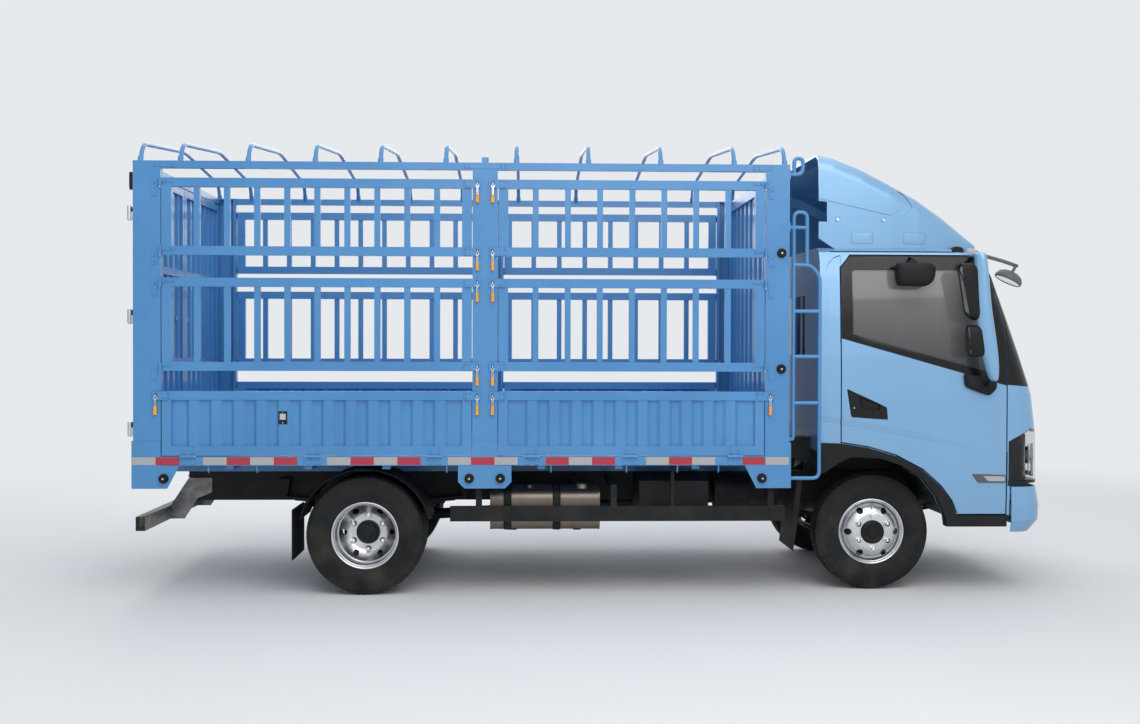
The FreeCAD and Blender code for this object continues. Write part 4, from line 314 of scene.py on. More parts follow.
# %% Paints
def stake_paint(name, colour, light, dark):
    f = Finish(name, colour, 0.36)
    f.soft_edges(0.0016)
    f.tint(f.spread(f.noise(1.7, 2.0), 0.35, 0.70), light)
    f.tint(f.spread(f.noise(9.0, 5.0), 0.55, 0.80, 0.0, 0.35), dark)
    f.dust(1.1, 0.22)
    f.rough(f.noise(24.0, 4.0), 0.28, 0.48)
    f.press(f.noise(330.0, 2.0), 0.00012)
    f.press(f.noise(38.0, 2.0), 0.00020)
    f.set(Coat_Weight=0.25, Coat_Roughness=0.12)
    return f.material


body_paint = stake_paint("stake_blue", (0.062, 0.245, 0.530), (0.076, 0.282, 0.585), (0.048, 0.200, 0.450))


def cab_lacquer():
    f = Finish("cab_blue_metallic", (0.215, 0.425, 0.665), 0.34, 0.35)
    f.soft_edges(0.0022)
    f.tint(f.spread(f.noise(0.9, 1.0), 0.35, 0.70), (0.195, 0.400, 0.645))
    flakes = f.spread(f.noise(1500.0, 1.0), 0.60, 0.75, 0.0, 0.30)
    f.tint(flakes, (0.45, 0.62, 0.80))
    f.dust(0.85, 0.16)
    f.rough(f.noise(1200.0, 1.0), 0.28, 0.42)
    f.press(f.noise(160.0, 1.0), 0.00004)
    f.set(Coat_Weight=0.6, Coat_Roughness=0.10)
    return f.material


cab_paint = cab_lacquer()
print("paints:", body_paint.name, cab_paint.name)

# %% [markdown]
# Under the deck everything is black or bare: chassis enamel with road dust, moulded rubber and plastic,
# cast and plated steel, and the brownish aluminium of the tank. Grain size tells them apart, so each
# recipe has its own scale of noise.

# %% Chassis, rubber, plastic and metal finishes
def chassis_enamel(name, colour, dust_amount, dust_top=0.9):
    f = Finish(name, colour, 0.5)
    f.soft_edges(0.0020)
    f.shaded(f.spread(f.noise(14.0, 6.0), 0.45, 0.75), 1.8)
    f.dust(dust_top, dust_amount)
    f.rough(f.noise(30.0, 5.0), 0.38, 0.72)
    f.press(f.noise(260.0, 3.0), 0.0002)
    f.set(Specular_IOR_Level=0.25)
    return f.material


chassis_black = chassis_enamel("chassis_enamel", (0.007, 0.007, 0.0075), 0.10)
underrun_grey = chassis_enamel("underrun_primer", (0.26, 0.25, 0.23), 0.5)


def moulded(name, colour, roughness, grain, depth, dust_amount=0.06, shine=0.22):
    f = Finish(name, colour, roughness)
    f.soft_edges(0.0015)
    f.shaded(f.spread(f.noise(7.0, 4.0), 0.40, 0.75, 0.0, 0.6), 1.5)
    f.dust(0.8, dust_amount)
    f.rough(f.noise(50.0, 3.0), roughness - 0.08, roughness + 0.10)
    f.press(f.noise(grain, 2.0), depth)
    f.set(Specular_IOR_Level=shine)
    return f.material


tyre_rubber = moulded("tyre_rubber", (0.012, 0.012, 0.0125), 0.74, 500.0, 0.0003, 0.12)
black_rubber = moulded("moulded_rubber", (0.008, 0.008, 0.008), 0.62, 420.0, 0.0002)
black_plastic = moulded("grained_plastic", (0.009, 0.009, 0.010), 0.48, 700.0, 0.0002)
gloss_black = moulded("gloss_black_plastic", (0.006, 0.006, 0.007), 0.16, 60.0, 0.00002, 0.03, 0.32)
grey_plastic = moulded("grey_mirror_plastic", (0.11, 0.115, 0.12), 0.40, 700.0, 0.0001)
grip_yellow = moulded("grip_yellow", (0.85, 0.36, 0.03), 0.42, 300.0, 0.0001)
trim_grey = moulded("cab_trim_grey", (0.10, 0.10, 0.105), 0.70, 650.0, 0.0003)


def metal(name, colour, roughness, grain, depth, dust_amount=0.0):
    f = Finish(name, colour, roughness, 1.0)
    f.soft_edges(0.0012)
    f.shaded(f.spread(f.noise(12.0, 5.0), 0.40, 0.75), 0.78)
    if dust_amount:
        f.dust(0.9, dust_amount)
    f.rough(f.noise(60.0, 4.0), roughness - 0.08, roughness + 0.12)
    f.press(f.noise(grain, 3.0), depth)
    return f.material


wheel_silver = metal("wheel_silver", (0.70, 0.71, 0.73), 0.30, 220.0, 0.0001, 0.15)
trim_silver = metal("trim_silver", (0.36, 0.37, 0.39), 0.28, 240.0, 0.00005)
zinc = metal("zinc_plate", (0.62, 0.63, 0.64), 0.32, 260.0, 0.0001)
bright_steel = metal("bright_steel", (0.80, 0.80, 0.81), 0.18, 300.0, 0.00004)
cast_iron = metal("cast_iron", (0.085, 0.080, 0.075), 0.62, 180.0, 0.0006, 0.3)
tank_metal = metal("tank_aluminium", (0.23, 0.195, 0.165), 0.42, 40.0, 0.0004, 0.35)


def tape_finish(name, colour):
    """Reflective tape: tiny prisms under a clear face."""
    f = Finish(name, colour, 0.30)
    cells = f.cells(260.0)
    f.shaded(f.spread(cells, 0.1, 0.6, 0.0, 0.35), 0.72)
    f.shaded(f.spread(f.noise(20.0, 4.0), 0.5, 0.8, 0.0, 0.3), 0.8)
    f.press(cells, 0.0002)
    f.set(Coat_Weight=0.6, Coat_Roughness=0.1)
    return f.material


tape_white = tape_finish("tape_white", (0.45, 0.45, 0.46))
tape_red = tape_finish("tape_red", (0.46, 0.012, 0.040))


# %% [markdown]
# Glass and lamp covers let light through, so their colour is the colour of the light that is left. The
# cab glass is dark grey safety glass with a painted reflection of the sky that makes it paler towards the top.
# A lamp cover is clear or red plastic with fine flutes moulded inside.

# %% Glass, lamps and cloth
def clear_finish(name, colour, roughness, transmission, ior, flutes=0.0):
    f = Finish(name, colour, roughness)
    f.set(Transmission_Weight=transmission, IOR=ior)
    f.rough(f.noise(3.0, 3.0), roughness, roughness + 0.02)
    f.shaded(f.spread(f.noise(2.0, 2.0), 0.3, 0.8, 0.0, 0.3), 0.85)
    if flutes:
        wave = f.node("TexWave", Scale=flutes)
        wave.bands_direction = "Y"
        f.link(f.place, wave.inputs["Vector"])
        f.press(wave.outputs["Fac"], 0.0015)
    return f.material


def window_glass_with_painted_reflection():
    """Dark safety glass with a painted reflection of the sky: paler towards the top, in soft patches."""
    f = Finish("cab_glass", (0.11, 0.115, 0.12), 0.02)
    f.set(Transmission_Weight=0.55, IOR=1.45)
    # Painted reflection: the colour turns paler with height, as if the glass mirrored the sky.
    high = f.spread(f.height(), 1.45, 2.15)
    f.tint(f.times(high, f.spread(f.noise(0.8, 1.0), 0.2, 0.8, 0.7, 1.0)), (0.47, 0.475, 0.48))
    f.rough(f.noise(3.0, 3.0), 0.02, 0.05)
    return f.material


cab_window = window_glass_with_painted_reflection()
lamp_clear = clear_finish("lamp_clear", (0.90, 0.92, 0.94), 0.02, 1.0, 1.18)
lamp_pearl = clear_finish("lamp_pearl", (0.62, 0.64, 0.66), 0.06, 0.30, 1.45, 22.0)
lamp_red = clear_finish("lamp_red", (0.45, 0.012, 0.012), 0.08, 0.35, 1.45, 40.0)
lamp_amber = clear_finish("lamp_amber", (0.75, 0.22, 0.02), 0.08, 0.35, 1.45, 40.0)
mirror_glass = metal("mirror_glass", (0.86, 0.87, 0.88), 0.10, 2.0, 0.0)


def seat_cloth():
    f = Finish("seat_cloth", (0.045, 0.047, 0.052), 0.9)
    weave = f.cells(420.0)
    f.tint(f.spread(weave, 0.0, 0.6, 0.0, 0.7), (0.020, 0.021, 0.024))
    f.tint(f.spread(f.noise(18.0, 5.0), 0.5, 0.8, 0.0, 0.4), (0.075, 0.075, 0.080))
    f.press(weave, 0.0006)
    f.set(Sheen_Weight=0.35, Sheen_Roughness=0.5)
    return f.material


cloth = seat_cloth()
print("finishes:", len(bpy.data.materials))

# %% [markdown]
# The truck is one of many parts that share a list of slots, one for each kind of surface. A look pairs the
# name of such a slot with a finish, and most small pieces wear the finish of one of the looks below.

# %% Looks
PLASTIC = ("black_plastic", black_plastic)
GLOSS = ("black_plastic", gloss_black)
TRIM = ("black_plastic", trim_grey)
GREY = ("black_plastic", grey_plastic)
RUBBER = ("rubber", black_rubber)
BODY = ("body_blue", body_paint)
CAB = ("cab_blue", cab_paint)
CHASSIS = ("chassis_black", chassis_black)
ZINC = ("wheel_silver", zinc)
STEEL = ("wheel_silver", bright_steel)
SILVER = ("wheel_silver", trim_silver)
PEARL = ("lamp_glass", lamp_pearl)
MIRROR = ("glass", mirror_glass)
# Black for painted shade: the gaps round the deflector lids and the slots in the latch levers.
PAINTED_GAP_SHADE = ("rubber", gloss_black)
print("a look:", PLASTIC[0], "with", PLASTIC[1].name)

# %% [markdown]
# Every solid of the working model that stays in view takes one of these finishes. The first letters of a
# node's name say what it is, so a short table is enough.

# %% Finishes on the working model
NODE_FINISHES = (
    ("chassis_frame", chassis_black), ("front_axle_beam", chassis_black), ("rear_axle", chassis_black),
    ("leaf_springs", chassis_black), ("engine_gearbox", cast_iron), ("fuel_tank", tank_metal),
    ("chassis_equipment", chassis_black), ("guards", chassis_black), ("mudguards", black_rubber),
    ("front_bumper", cab_paint), ("cargo_deck", body_paint), ("body_posts", body_paint),
    ("roof_frame", body_paint), ("front_wall", body_paint), ("roof_bows", body_paint),
    ("rubber_buffers", black_rubber), ("side_ladder", body_paint), ("rear_lamps", lamp_red),
    ("cab_shell", cab_paint), ("cab_glass", cab_window), ("roof_deflector", cab_paint),
    ("headlamps", gloss_black), ("front_grille", gloss_black), ("arch_trims", black_plastic),
    ("dashboard", trim_grey), ("seats", cloth), ("corner_mirror", grey_plastic), ("kerb_mirror", black_plastic),
    ("door_glass", cab_window), ("door_mirror", black_plastic), ("door", cab_paint),
    ("knuckle", cast_iron), ("tyre", tyre_rubber), ("rim", wheel_silver),
    ("gate", body_paint), ("board", body_paint), ("rear_door", body_paint))


def finish_for(node_name):
    return next(finish for start, finish in NODE_FINISHES if node_name.startswith(start))


for node_name, node in nodes.items():
    node.data.materials.clear()
    node.data.materials.append(finish_for(node_name))
print("dressed nodes:", len(nodes))

# %% [markdown]
# Most small pieces are made from a few shapes: a block, a round rod, a tube along a path, a turned ring, and
# an outline stacked in layers. Each helper adds its shape to a mesh in progress, so that a row of thirty
# bolts can be one piece. The last helpers turn the mesh into a named piece on its body.

# %% Helpers for shapes
def add_block(bm, x, y, z):
    """A block between pairs of x, y and z."""
    middle = Vector(((x[0] + x[1]) / 2, (y[0] + y[1]) / 2, (z[0] + z[1]) / 2))
    size = Vector((abs(x[1] - x[0]), abs(y[1] - y[0]), abs(z[1] - z[0])))
    bmesh.ops.create_cube(bm, size=1.0, matrix=Matrix.Translation(middle) @ Matrix.Diagonal((*size, 1.0)))


def along(start, end):
    """The place and turn of something that runs from start to end."""
    run = Vector(end) - Vector(start)
    turn = run.to_track_quat("Z", "Y").to_matrix().to_4x4()
    return Matrix.Translation((Vector(start) + Vector(end)) / 2) @ turn


def add_rod(bm, start, end, radius, end_radius=None, sides=20):
    bmesh.ops.create_cone(
        bm, cap_ends=True, segments=sides, radius1=radius, radius2=radius if end_radius is None else end_radius,
        depth=(Vector(end) - Vector(start)).length, matrix=along(start, end))


def add_bolt(bm, place, out, radius):
    """A hexagon head on a washer, standing out from place."""
    place = Vector(place)
    out = Vector(out)
    add_rod(bm, place, place + out * radius * 0.25, radius * 1.55, sides=18)
    add_rod(bm, place + out * radius * 0.25, place + out * radius * 1.1, radius, radius * 0.94, 6)


def add_rivet(bm, place, out, radius):
    place = Vector(place)
    out = Vector(out)
    add_rod(bm, place, place + out * radius * 0.35, radius, radius * 0.86, 14)
    add_rod(bm, place + out * radius * 0.35, place + out * radius * 0.6, radius * 0.86, radius * 0.4, 14)


def bend(before, corner, after, radius, share, steps):
    """The points of a curve that cuts a corner, on no more than a share of either leg."""
    reach = min(radius, (before - corner).length * share, (after - corner).length * share)
    start = corner + (before - corner).normalized() * reach
    end = corner + (after - corner).normalized() * reach
    return [start * (1 - t) ** 2 + corner * 2 * t * (1 - t) + end * t ** 2
            for t in (i / steps for i in range(steps + 1))]


def rounded_path(points, radius, steps=6):
    """The points of a bent tube: straight runs joined by curves of about radius."""
    points = [Vector(p) for p in points]
    curves = [bend(*corner, radius, 0.48, steps) for corner in zip(points, points[1:], points[2:])]
    return [points[0], *(point for curve in curves for point in curve), points[-1]]


def rounded_loop(points, radius, steps=4):
    """A closed 2-D outline with its corners rounded, as (a, b) pairs."""
    loop = [Vector(p) for p in points]
    curves = [bend(*corner, radius, 0.45, steps) for corner in zip(loop[-1:] + loop, loop, loop[1:] + loop[:1])]
    return [(point.x, point.y) for curve in curves for point in curve]


def rectangle(a, b):
    """The four corners between a pair of a and a pair of b."""
    return [(a[0], b[0]), (a[1], b[0]), (a[1], b[1]), (a[0], b[1])]


def join_rings(bm, rings, closed=False):
    """Faces between neighbouring rings of corners; closed joins the last ring to the first."""
    count = len(rings[0])
    for ring, following in zip(rings, rings[1:] + rings[:1] if closed else rings[1:]):
        for k in range(count):
            j = (k + 1) % count
            bm.faces.new((ring[k], ring[j], following[j], following[k]))


def add_loft(bm, sections):
    """A closed skin through a row of sections that have the same number of points."""
    rings = [[bm.verts.new(point) for point in section] for section in sections]
    join_rings(bm, rings)
    bm.faces.new(rings[0][::-1])
    bm.faces.new(rings[-1])


def add_layers(bm, outline, layers, side=1.0, view="side"):
    """An outline stacked in layers of (depth, scale).

    The outline is in (x, z) and depth is y; in the front view the outline is in (y, z) and depth is x.
    """
    if view == "side":
        add_loft(bm, [[(a, side * depth, b) for a, b in shrunk(outline, scale)] for depth, scale in layers])
    else:
        add_loft(bm, [[(depth, side * a, b) for a, b in shrunk(outline, scale)] for depth, scale in layers])


def add_tube(bm, points, radius, sides=14):
    """A round tube with closed ends along a path."""
    points = [Vector(p) for p in points]
    turns = [2 * math.pi * k / sides for k in range(sides)]
    sections = []
    side = None
    for before, point, after in zip(points[:1] + points, points, points[1:] + points[-1:]):
        direction = (after - before).normalized()
        if side is None:
            side = direction.orthogonal().normalized()
        side = (side - direction * side.dot(direction)).normalized()
        other = direction.cross(side)
        sections.append([point + (side * math.cos(t) + other * math.sin(t)) * radius for t in turns])
    add_loft(bm, sections)


def add_dish(bm, profile, place, sides=40):
    """A turned shape from (offset along the axis, radius) points; place turns local Y to the axis."""
    turns = [2 * math.pi * k / sides for k in range(sides)]
    join_rings(bm, [[bm.verts.new(place @ Vector((r * math.cos(t), a, r * math.sin(t)))) for a, r in profile]
                    for t in turns], closed=True)


def add_turned(bm, profile, centre, sides=96, side=1.0):
    """A ring turned about the Y axis through centre; side -1 turns its offsets round."""
    add_dish(bm, [(side * a, r) for a, r in profile], Matrix.Translation(centre), sides)


def shrunk(outline, factor_a, factor_b=None):
    """An outline drawn in towards its middle."""
    factor_b = factor_a if factor_b is None else factor_b
    middle_a = sum(a for a, _ in outline) / len(outline)
    middle_b = sum(b for _, b in outline) / len(outline)
    return [(middle_a + (a - middle_a) * factor_a, middle_b + (b - middle_b) * factor_b) for a, b in outline]


def set_on_body(bm, name, body, finish):
    """Names a mesh in progress, gives it its finish and sets it on its body."""
    mesh = bpy.data.meshes.new(name)
    bm.to_mesh(mesh)
    bm.free()
    mesh.shade_smooth()
    mesh.materials.append(finish)
    piece = bpy.data.objects.new(name, mesh)
    bpy.context.scene.collection.objects.link(piece)
    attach(piece, body)
    return piece


def make_piece(bm, name, body, slot, finish, edge=0.0, smooth_angle=40.0):
    """A piece whose edges stay sharp above an angle; edge rounds them by a real bevel."""
    bmesh.ops.remove_doubles(bm, verts=bm.verts, dist=1e-6)
    bmesh.ops.recalc_face_normals(bm, faces=bm.faces)
    piece = set_on_body(bm, name, body, finish)
    piece.data.set_sharp_from_angle(angle=math.radians(smooth_angle))
    if edge:
        bevel = piece.modifiers.new("soft edges", "BEVEL")
        bevel.width = edge
        bevel.segments = 2
        bevel.limit_method = "ANGLE"
        bevel.angle_limit = math.radians(smooth_angle)
        bevel.use_clamp_overlap = True
        bevel.harden_normals = True
    return piece


def add_smoothing(piece, levels):
    """Rounds a coarse form with a subdivision surface."""
    smoothing = piece.modifiers.new("smoothing", "SUBSURF")
    smoothing.levels = levels
    smoothing.render_levels = levels


def bake(piece, modifier):
    """Keeps what a modifier makes as plain mesh."""
    bpy.context.view_layer.update()
    evaluated = piece.evaluated_get(bpy.context.evaluated_depsgraph_get())
    mesh = bpy.data.meshes.new_from_object(evaluated)
    piece.modifiers.remove(modifier)
    piece.data = mesh
    return mesh


def rounded_bar(x, y, z, half_x, half_z):
    """One section of a flat bar that runs across the truck."""
    outline = rounded_loop(rectangle((-half_x, half_x), (-half_z, half_z)), min(half_x, half_z) * 0.8, 3)
    return [(x + a, y, z + b) for a, b in outline]


def surface_point(node_name, start, direction):
    """Where a ray from start first meets a node of the working model."""
    hit, place, _, _ = nodes[node_name].ray_cast(Vector(start), Vector(direction))
    if not hit:
        raise ValueError("nothing of " + node_name + " at " + str(tuple(start)))
    return place


def front_x(node_name, y, z):
    """How far ahead a node reaches at a distance y from the middle and a height z."""
    return surface_point(node_name, (3.3, y, z), (-1.0, 0.0, 0.0)).x


def side_y(node_name, x, z, side):
    """How far out a node reaches on one side."""
    return surface_point(node_name, (x, side * 1.3, z), (0.0, -side, 0.0)).y


def facing(axis_turn, place):
    """The place and turn of a dish whose axis is turned a quarter, as for a lamp that looks ahead."""
    return Matrix.Translation(place) @ Matrix.Rotation(math.radians(axis_turn[1]), 4, axis_turn[0])


AHEAD = ("Z", -90.0)
UPWARD = ("X", 90.0)
SIDES = (("right", -1.0), ("left", 1.0))

# %% [markdown]
# A truck tyre is a turned shape with a tread. The sidewall swells to its widest half-way up and carries a
# few moulded rings. The tread is four rows of rubber blocks with grooves between them, and the outer rows
# roll over the shoulder. Blocks in mesh keep the grooves true from any side, which a bump map would not.

# %% Tyres
TYRE_RADIUS = 0.3875
FRONT_AXLE_X = 1.860
REAR_AXLE_X = -1.500
FRONT_WHEEL_Y = 0.800
REAR_OUTER_Y = 0.948
REAR_INNER_Y = 0.722
TREAD_BLOCKS = 56
TREAD_ROWS = ((0.004, 0.036, 0.0), (0.042, 0.086, 0.5))
TREAD_DEPTH = 0.011
SIDEWALL = (
    (0.066, 0.2045), (0.072, 0.209), (0.080, 0.2245), (0.086, 0.2250), (0.087, 0.230), (0.091, 0.243),
    (0.0955, 0.262), (0.0963, 0.2655), (0.0985, 0.2660), (0.0995, 0.272), (0.100, 0.295), (0.0985, 0.316),
    (0.0975, 0.3195), (0.0960, 0.3200), (0.0945, 0.337), (0.0925, 0.352), (0.0885, 0.364), (0.078, 0.3740))


def crown(a):
    """The radius of the tread at an offset from its middle."""
    return TYRE_RADIUS - 0.0022 * (abs(a) / 0.078) ** 2 - max(0.0, abs(a) - 0.072) * 0.62


def add_tread_block(bm, centre, side, row, turn):
    """One block of a row: its ends are slanted, and its outer edge drops over the shoulder."""
    inner, outer, shift = TREAD_ROWS[row]
    step = 2 * math.pi / TREAD_BLOCKS
    start = (turn + shift) * step
    slant = step * 0.16 * side
    gap = step * 0.10
    corners = []
    for a, lean in ((inner, 0.0), (outer, slant)):
        for t in (start + gap / 2 + lean, start + step - gap / 2 + lean):
            for r in (crown(a) - TREAD_DEPTH - (0.006 if a > 0.07 else 0.0), crown(a)):
                corners.append(bm.verts.new(Vector(centre) + Vector((r * math.cos(t), a * side, r * math.sin(t)))))
    for face in ((0, 1, 3, 2), (4, 6, 7, 5), (0, 4, 5, 1), (2, 3, 7, 6), (1, 5, 7, 3)):
        bm.faces.new([corners[i] for i in face])


def make_tyres(name, body, centres, node_name):
    """One piece for the tyres of one body, which takes the place of a node."""
    bm = bmesh.new()
    for centre in centres:
        add_turned(bm, list(SIDEWALL) + [(-a, r) for a, r in reversed(SIDEWALL)], centre)
        for side in (-1, 1):
            for row in range(len(TREAD_ROWS)):
                for turn in range(TREAD_BLOCKS):
                    add_tread_block(bm, centre, side, row, turn)
    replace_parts(make_piece(bm, name, body, "tyre_rubber", tyre_rubber), node_name)


for side_name, side in SIDES:
    make_tyres("tyre_tread_front_" + side_name, "wheel_front_" + side_name,
               [(FRONT_AXLE_X, side * FRONT_WHEEL_Y, TYRE_RADIUS)], "tyre_front_" + side_name)
    make_tyres("tyres_tread_rear_" + side_name, "wheels_rear_" + side_name,
               [(REAR_AXLE_X, side * y, TYRE_RADIUS) for y in (REAR_OUTER_Y, REAR_INNER_Y)],
               "tyres_rear_" + side_name)
print("tread blocks on a tyre:", 2 * len(TREAD_ROWS) * TREAD_BLOCKS)

# %% [markdown]
# The wheels are pressed from thick sheet: a rolled rim with a lip for the tyre bead, and a disc with six
# hand holes. The front disc bulges out and the rear one is dished in, because the same wheel is turned
# round in a twin pair. The disc is turned as one smooth ring, and the hand holes are cut by a Boolean.

# %% Rims
RIM_SECTION = (
    (-0.071, 0.2175), (-0.077, 0.2205), (-0.0805, 0.2185), (-0.0815, 0.2140), (-0.0785, 0.2085), (-0.071, 0.2035),
    (0.071, 0.2035), (0.0785, 0.2085), (0.0815, 0.2140), (0.0805, 0.2185), (0.077, 0.2205), (0.071, 0.2175),
    (0.0735, 0.2095), (0.066, 0.1985), (0.050, 0.1935), (-0.050, 0.1935), (-0.066, 0.1985), (-0.0735, 0.2095))
DISC_SECTION = (
    (0.040, 0.1955), (0.050, 0.1915), (0.064, 0.1850), (0.079, 0.1745), (0.092, 0.1610), (0.1015, 0.1465),
    (0.1075, 0.1345), (0.1110, 0.1270), (0.1120, 0.1200), (0.1120, 0.0790), (0.1040, 0.0790), (0.1040, 0.1190),
    (0.1015, 0.1270), (0.0945, 0.1400), (0.0840, 0.1550), (0.0700, 0.1700), (0.0540, 0.1810), (0.0400, 0.1865))
HAND_HOLE_CIRCLE = 0.160
HAND_HOLE_RADIUS = 0.0215
HAND_HOLES = 6


def ring_places(centre, circle, count, phase):
    """Places on a circle about the wheel's axis, as (x, z) pairs."""
    x, _, z = centre
    turns = [2 * math.pi * (i + phase) / count for i in range(count)]
    return [(x + circle * math.sin(t), z + circle * math.cos(t)) for t in turns]


def make_wheel(name, body, centre, out):
    """Rim and disc with hand holes; out is the side, +1 or -1 along Y, to which the disc bulges."""
    bm = bmesh.new()
    add_turned(bm, RIM_SECTION, centre)
    add_turned(bm, DISC_SECTION, centre, side=out)
    piece = make_piece(bm, "rim_pressed_" + name, body, "wheel_silver", wheel_silver)
    bm = bmesh.new()
    for x, z in ring_places(centre, HAND_HOLE_CIRCLE, HAND_HOLES, 0.5):
        add_rod(bm, (x, centre[1] - 0.2, z), (x, centre[1] + 0.2, z), HAND_HOLE_RADIUS, sides=32)
    cutter_mesh = bpy.data.meshes.new("hand_hole_cutter")
    bm.to_mesh(cutter_mesh)
    bm.free()
    cutter = bpy.data.objects.new("hand_hole_cutter", cutter_mesh)
    bpy.context.scene.collection.objects.link(cutter)
    boolean = piece.modifiers.new("hand holes", "BOOLEAN")
    boolean.operation = "DIFFERENCE"
    boolean.solver = "EXACT"
    boolean.object = cutter
    cut = bake(piece, boolean)
    cut.shade_smooth()
    cut.set_sharp_from_angle(angle=math.radians(35.0))
    bpy.data.objects.remove(cutter)
    return piece


NUT_CIRCLE = 0.1111
NUTS = 6
NUT_RADIUS = 0.0165
NUT_STEPS = (
    # shares of the length at the start and end of a step, shares of the radius there
    (0.0, 0.2, 1.25, 1.2), (0.2, 0.75, 1.0, 0.95), (0.75, 0.93, 0.95, 0.66), (0.93, 1.0, 0.66, 0.2))


def add_wheel_nuts(bm, centre, face_y, out, length):
    """Domed nut caps round the hub."""
    for x, z in ring_places(centre, NUT_CIRCLE, NUTS, 0.0):
        for start, end, foot, head in NUT_STEPS:
            add_rod(bm, (x, face_y + out * length * start, z), (x, face_y + out * length * end, z),
                    NUT_RADIUS * foot, NUT_RADIUS * head)


DISC_FACE = 0.112
HUB_BOLT_CIRCLE = 0.048
VALVE_CIRCLE = 0.168
FRONT_HUB = ((-0.040, 0.070), (-0.040, 0.150), (0.020, 0.168), (0.060, 0.160), (0.098, 0.110), (0.1035, 0.0785),
             (0.1160, 0.0785), (0.1240, 0.0760), (0.1300, 0.0690), (0.1320, 0.0600), (0.1290, 0.0560),
             (0.1290, 0.0400), (0.1360, 0.0360), (0.1380, 0.0), (-0.030, 0.0), (-0.030, 0.070))
REAR_HUB = ((-0.180, 0.062), (-0.180, 0.160), (-0.060, 0.168), (-0.035, 0.165), (-0.012, 0.118), (-0.012, 0.0785),
            (0.012, 0.0785), (0.030, 0.076), (0.034, 0.070), (0.034, 0.063), (0.070, 0.060), (0.074, 0.062),
            (0.080, 0.060), (0.084, 0.030), (0.088, 0.026), (0.088, 0.0), (-0.100, 0.0), (-0.100, 0.062))
for side_name, side in SIDES:
    body = "wheel_front_" + side_name
    centre = (FRONT_AXLE_X, side * FRONT_WHEEL_Y, TYRE_RADIUS)
    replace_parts(make_wheel("front_" + side_name, body, centre, side), "rim_front_" + side_name)
    bm = bmesh.new()
    add_turned(bm, FRONT_HUB, centre, 48, side)
    for x, z in ring_places(centre, HUB_BOLT_CIRCLE, 5, 0.5):
        add_rivet(bm, (x, centre[1] + side * 0.129, z), (0, side, 0), 0.006)
    make_piece(bm, "front_hub_" + side_name, body, *CHASSIS)
    bm = bmesh.new()
    add_wheel_nuts(bm, centre, centre[1] + side * DISC_FACE, side, 0.034)
    x, z = ring_places(centre, VALVE_CIRCLE, 1, 0.0)[0]
    add_rod(bm, (x, centre[1] + side * 0.078, z + 0.012), (x, centre[1] + side * 0.118, z), 0.0055, 0.0045)
    make_piece(bm, "front_wheel_nuts_" + side_name, body, *STEEL)

    body = "wheels_rear_" + side_name
    outer = (REAR_AXLE_X, side * REAR_OUTER_Y, TYRE_RADIUS)
    inner = (REAR_AXLE_X, side * REAR_INNER_Y, TYRE_RADIUS)
    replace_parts(make_wheel("rear_outer_" + side_name, body, outer, -side), "rims_rear_" + side_name)
    make_wheel("rear_inner_" + side_name, body, inner, side)
    face_y = REAR_OUTER_Y - DISC_FACE
    bm = bmesh.new()
    add_turned(bm, REAR_HUB, (REAR_AXLE_X, side * face_y, TYRE_RADIUS), 48, side)
    for x, z in ring_places(outer, HUB_BOLT_CIRCLE, 8, 0.5):
        add_bolt(bm, (x, side * (face_y + 0.080), z), (0, side, 0), 0.0065)
    make_piece(bm, "rear_hub_" + side_name, body, *CHASSIS)
    bm = bmesh.new()
    add_wheel_nuts(bm, outer, side * face_y, side, 0.040)
    make_piece(bm, "rear_wheel_nuts_" + side_name, body, *STEEL)
print("wheel nuts:", 4 * NUTS)

# %% [markdown]
# The eleven roof bows are thin tubes bent over the load space, and the ladder behind the cab is bent from
# the same stock. A tube swept along a rounded path gives true bends, which the straight runs of the
# working model leave out.

# %% Roof bows and ladder
BOW_RADIUS = 0.014
SOCKET_RADIUS = 0.0175
BOW_XS = (-2.925, -2.671, -2.240, -1.812, -1.393, -0.973, -0.519, -0.053, 0.417, 0.895, 1.225)
POST_TOP = 2.804
BOW_SHAPE = ((-1.098, POST_TOP - 0.03), (-1.030, 2.922), (0.0, 3.018), (1.030, 2.922), (1.098, POST_TOP - 0.03))
bm = bmesh.new()
for x in BOW_XS:
    add_tube(bm, rounded_path([(x, y, z) for y, z in BOW_SHAPE], 0.11, 8), BOW_RADIUS)
    for side in (-1, 1):
        add_rod(bm, (x, side * 1.0985, POST_TOP - 0.02), (x, side * 1.078, POST_TOP + 0.028), SOCKET_RADIUS)
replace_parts(make_piece(bm, "bent_roof_bows", "root", *BODY), "roof_bows")

LADDER_Y = -1.085
LADDER_RADIUS = 0.0125
LADDER_FOOT_ZS = (0.766, 1.020, 2.400, 2.745)
LADDER_RUNS = (
    ((1.262, 0.766), (1.460, 0.766), (1.460, 2.090), (1.400, 2.157), (1.288, 2.157)),
    ((1.254, 1.020), (1.288, 1.020), (1.288, 2.500), (1.375, 2.500), (1.375, 2.150)),
    ((1.288, 1.257), (1.460, 1.257)), ((1.288, 1.560), (1.460, 1.560)), ((1.288, 1.855), (1.460, 1.855)),
    ((1.254, 2.400), (1.375, 2.400)),
    ((1.254, 2.745), (1.345, 2.745), (1.345, 2.850), (1.288, 2.850), (1.288, 2.735)))
bm = bmesh.new()
for run in LADDER_RUNS:
    add_tube(bm, rounded_path([(x, LADDER_Y, z) for x, z in run], 0.045), LADDER_RADIUS)
for z in LADDER_FOOT_ZS:
    add_block(bm, (1.2545, 1.262), (LADDER_Y - 0.028, LADDER_Y + 0.022), (z - 0.03, z + 0.03))
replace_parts(make_piece(bm, "bent_side_ladder", "root", *BODY), "side_ladder")
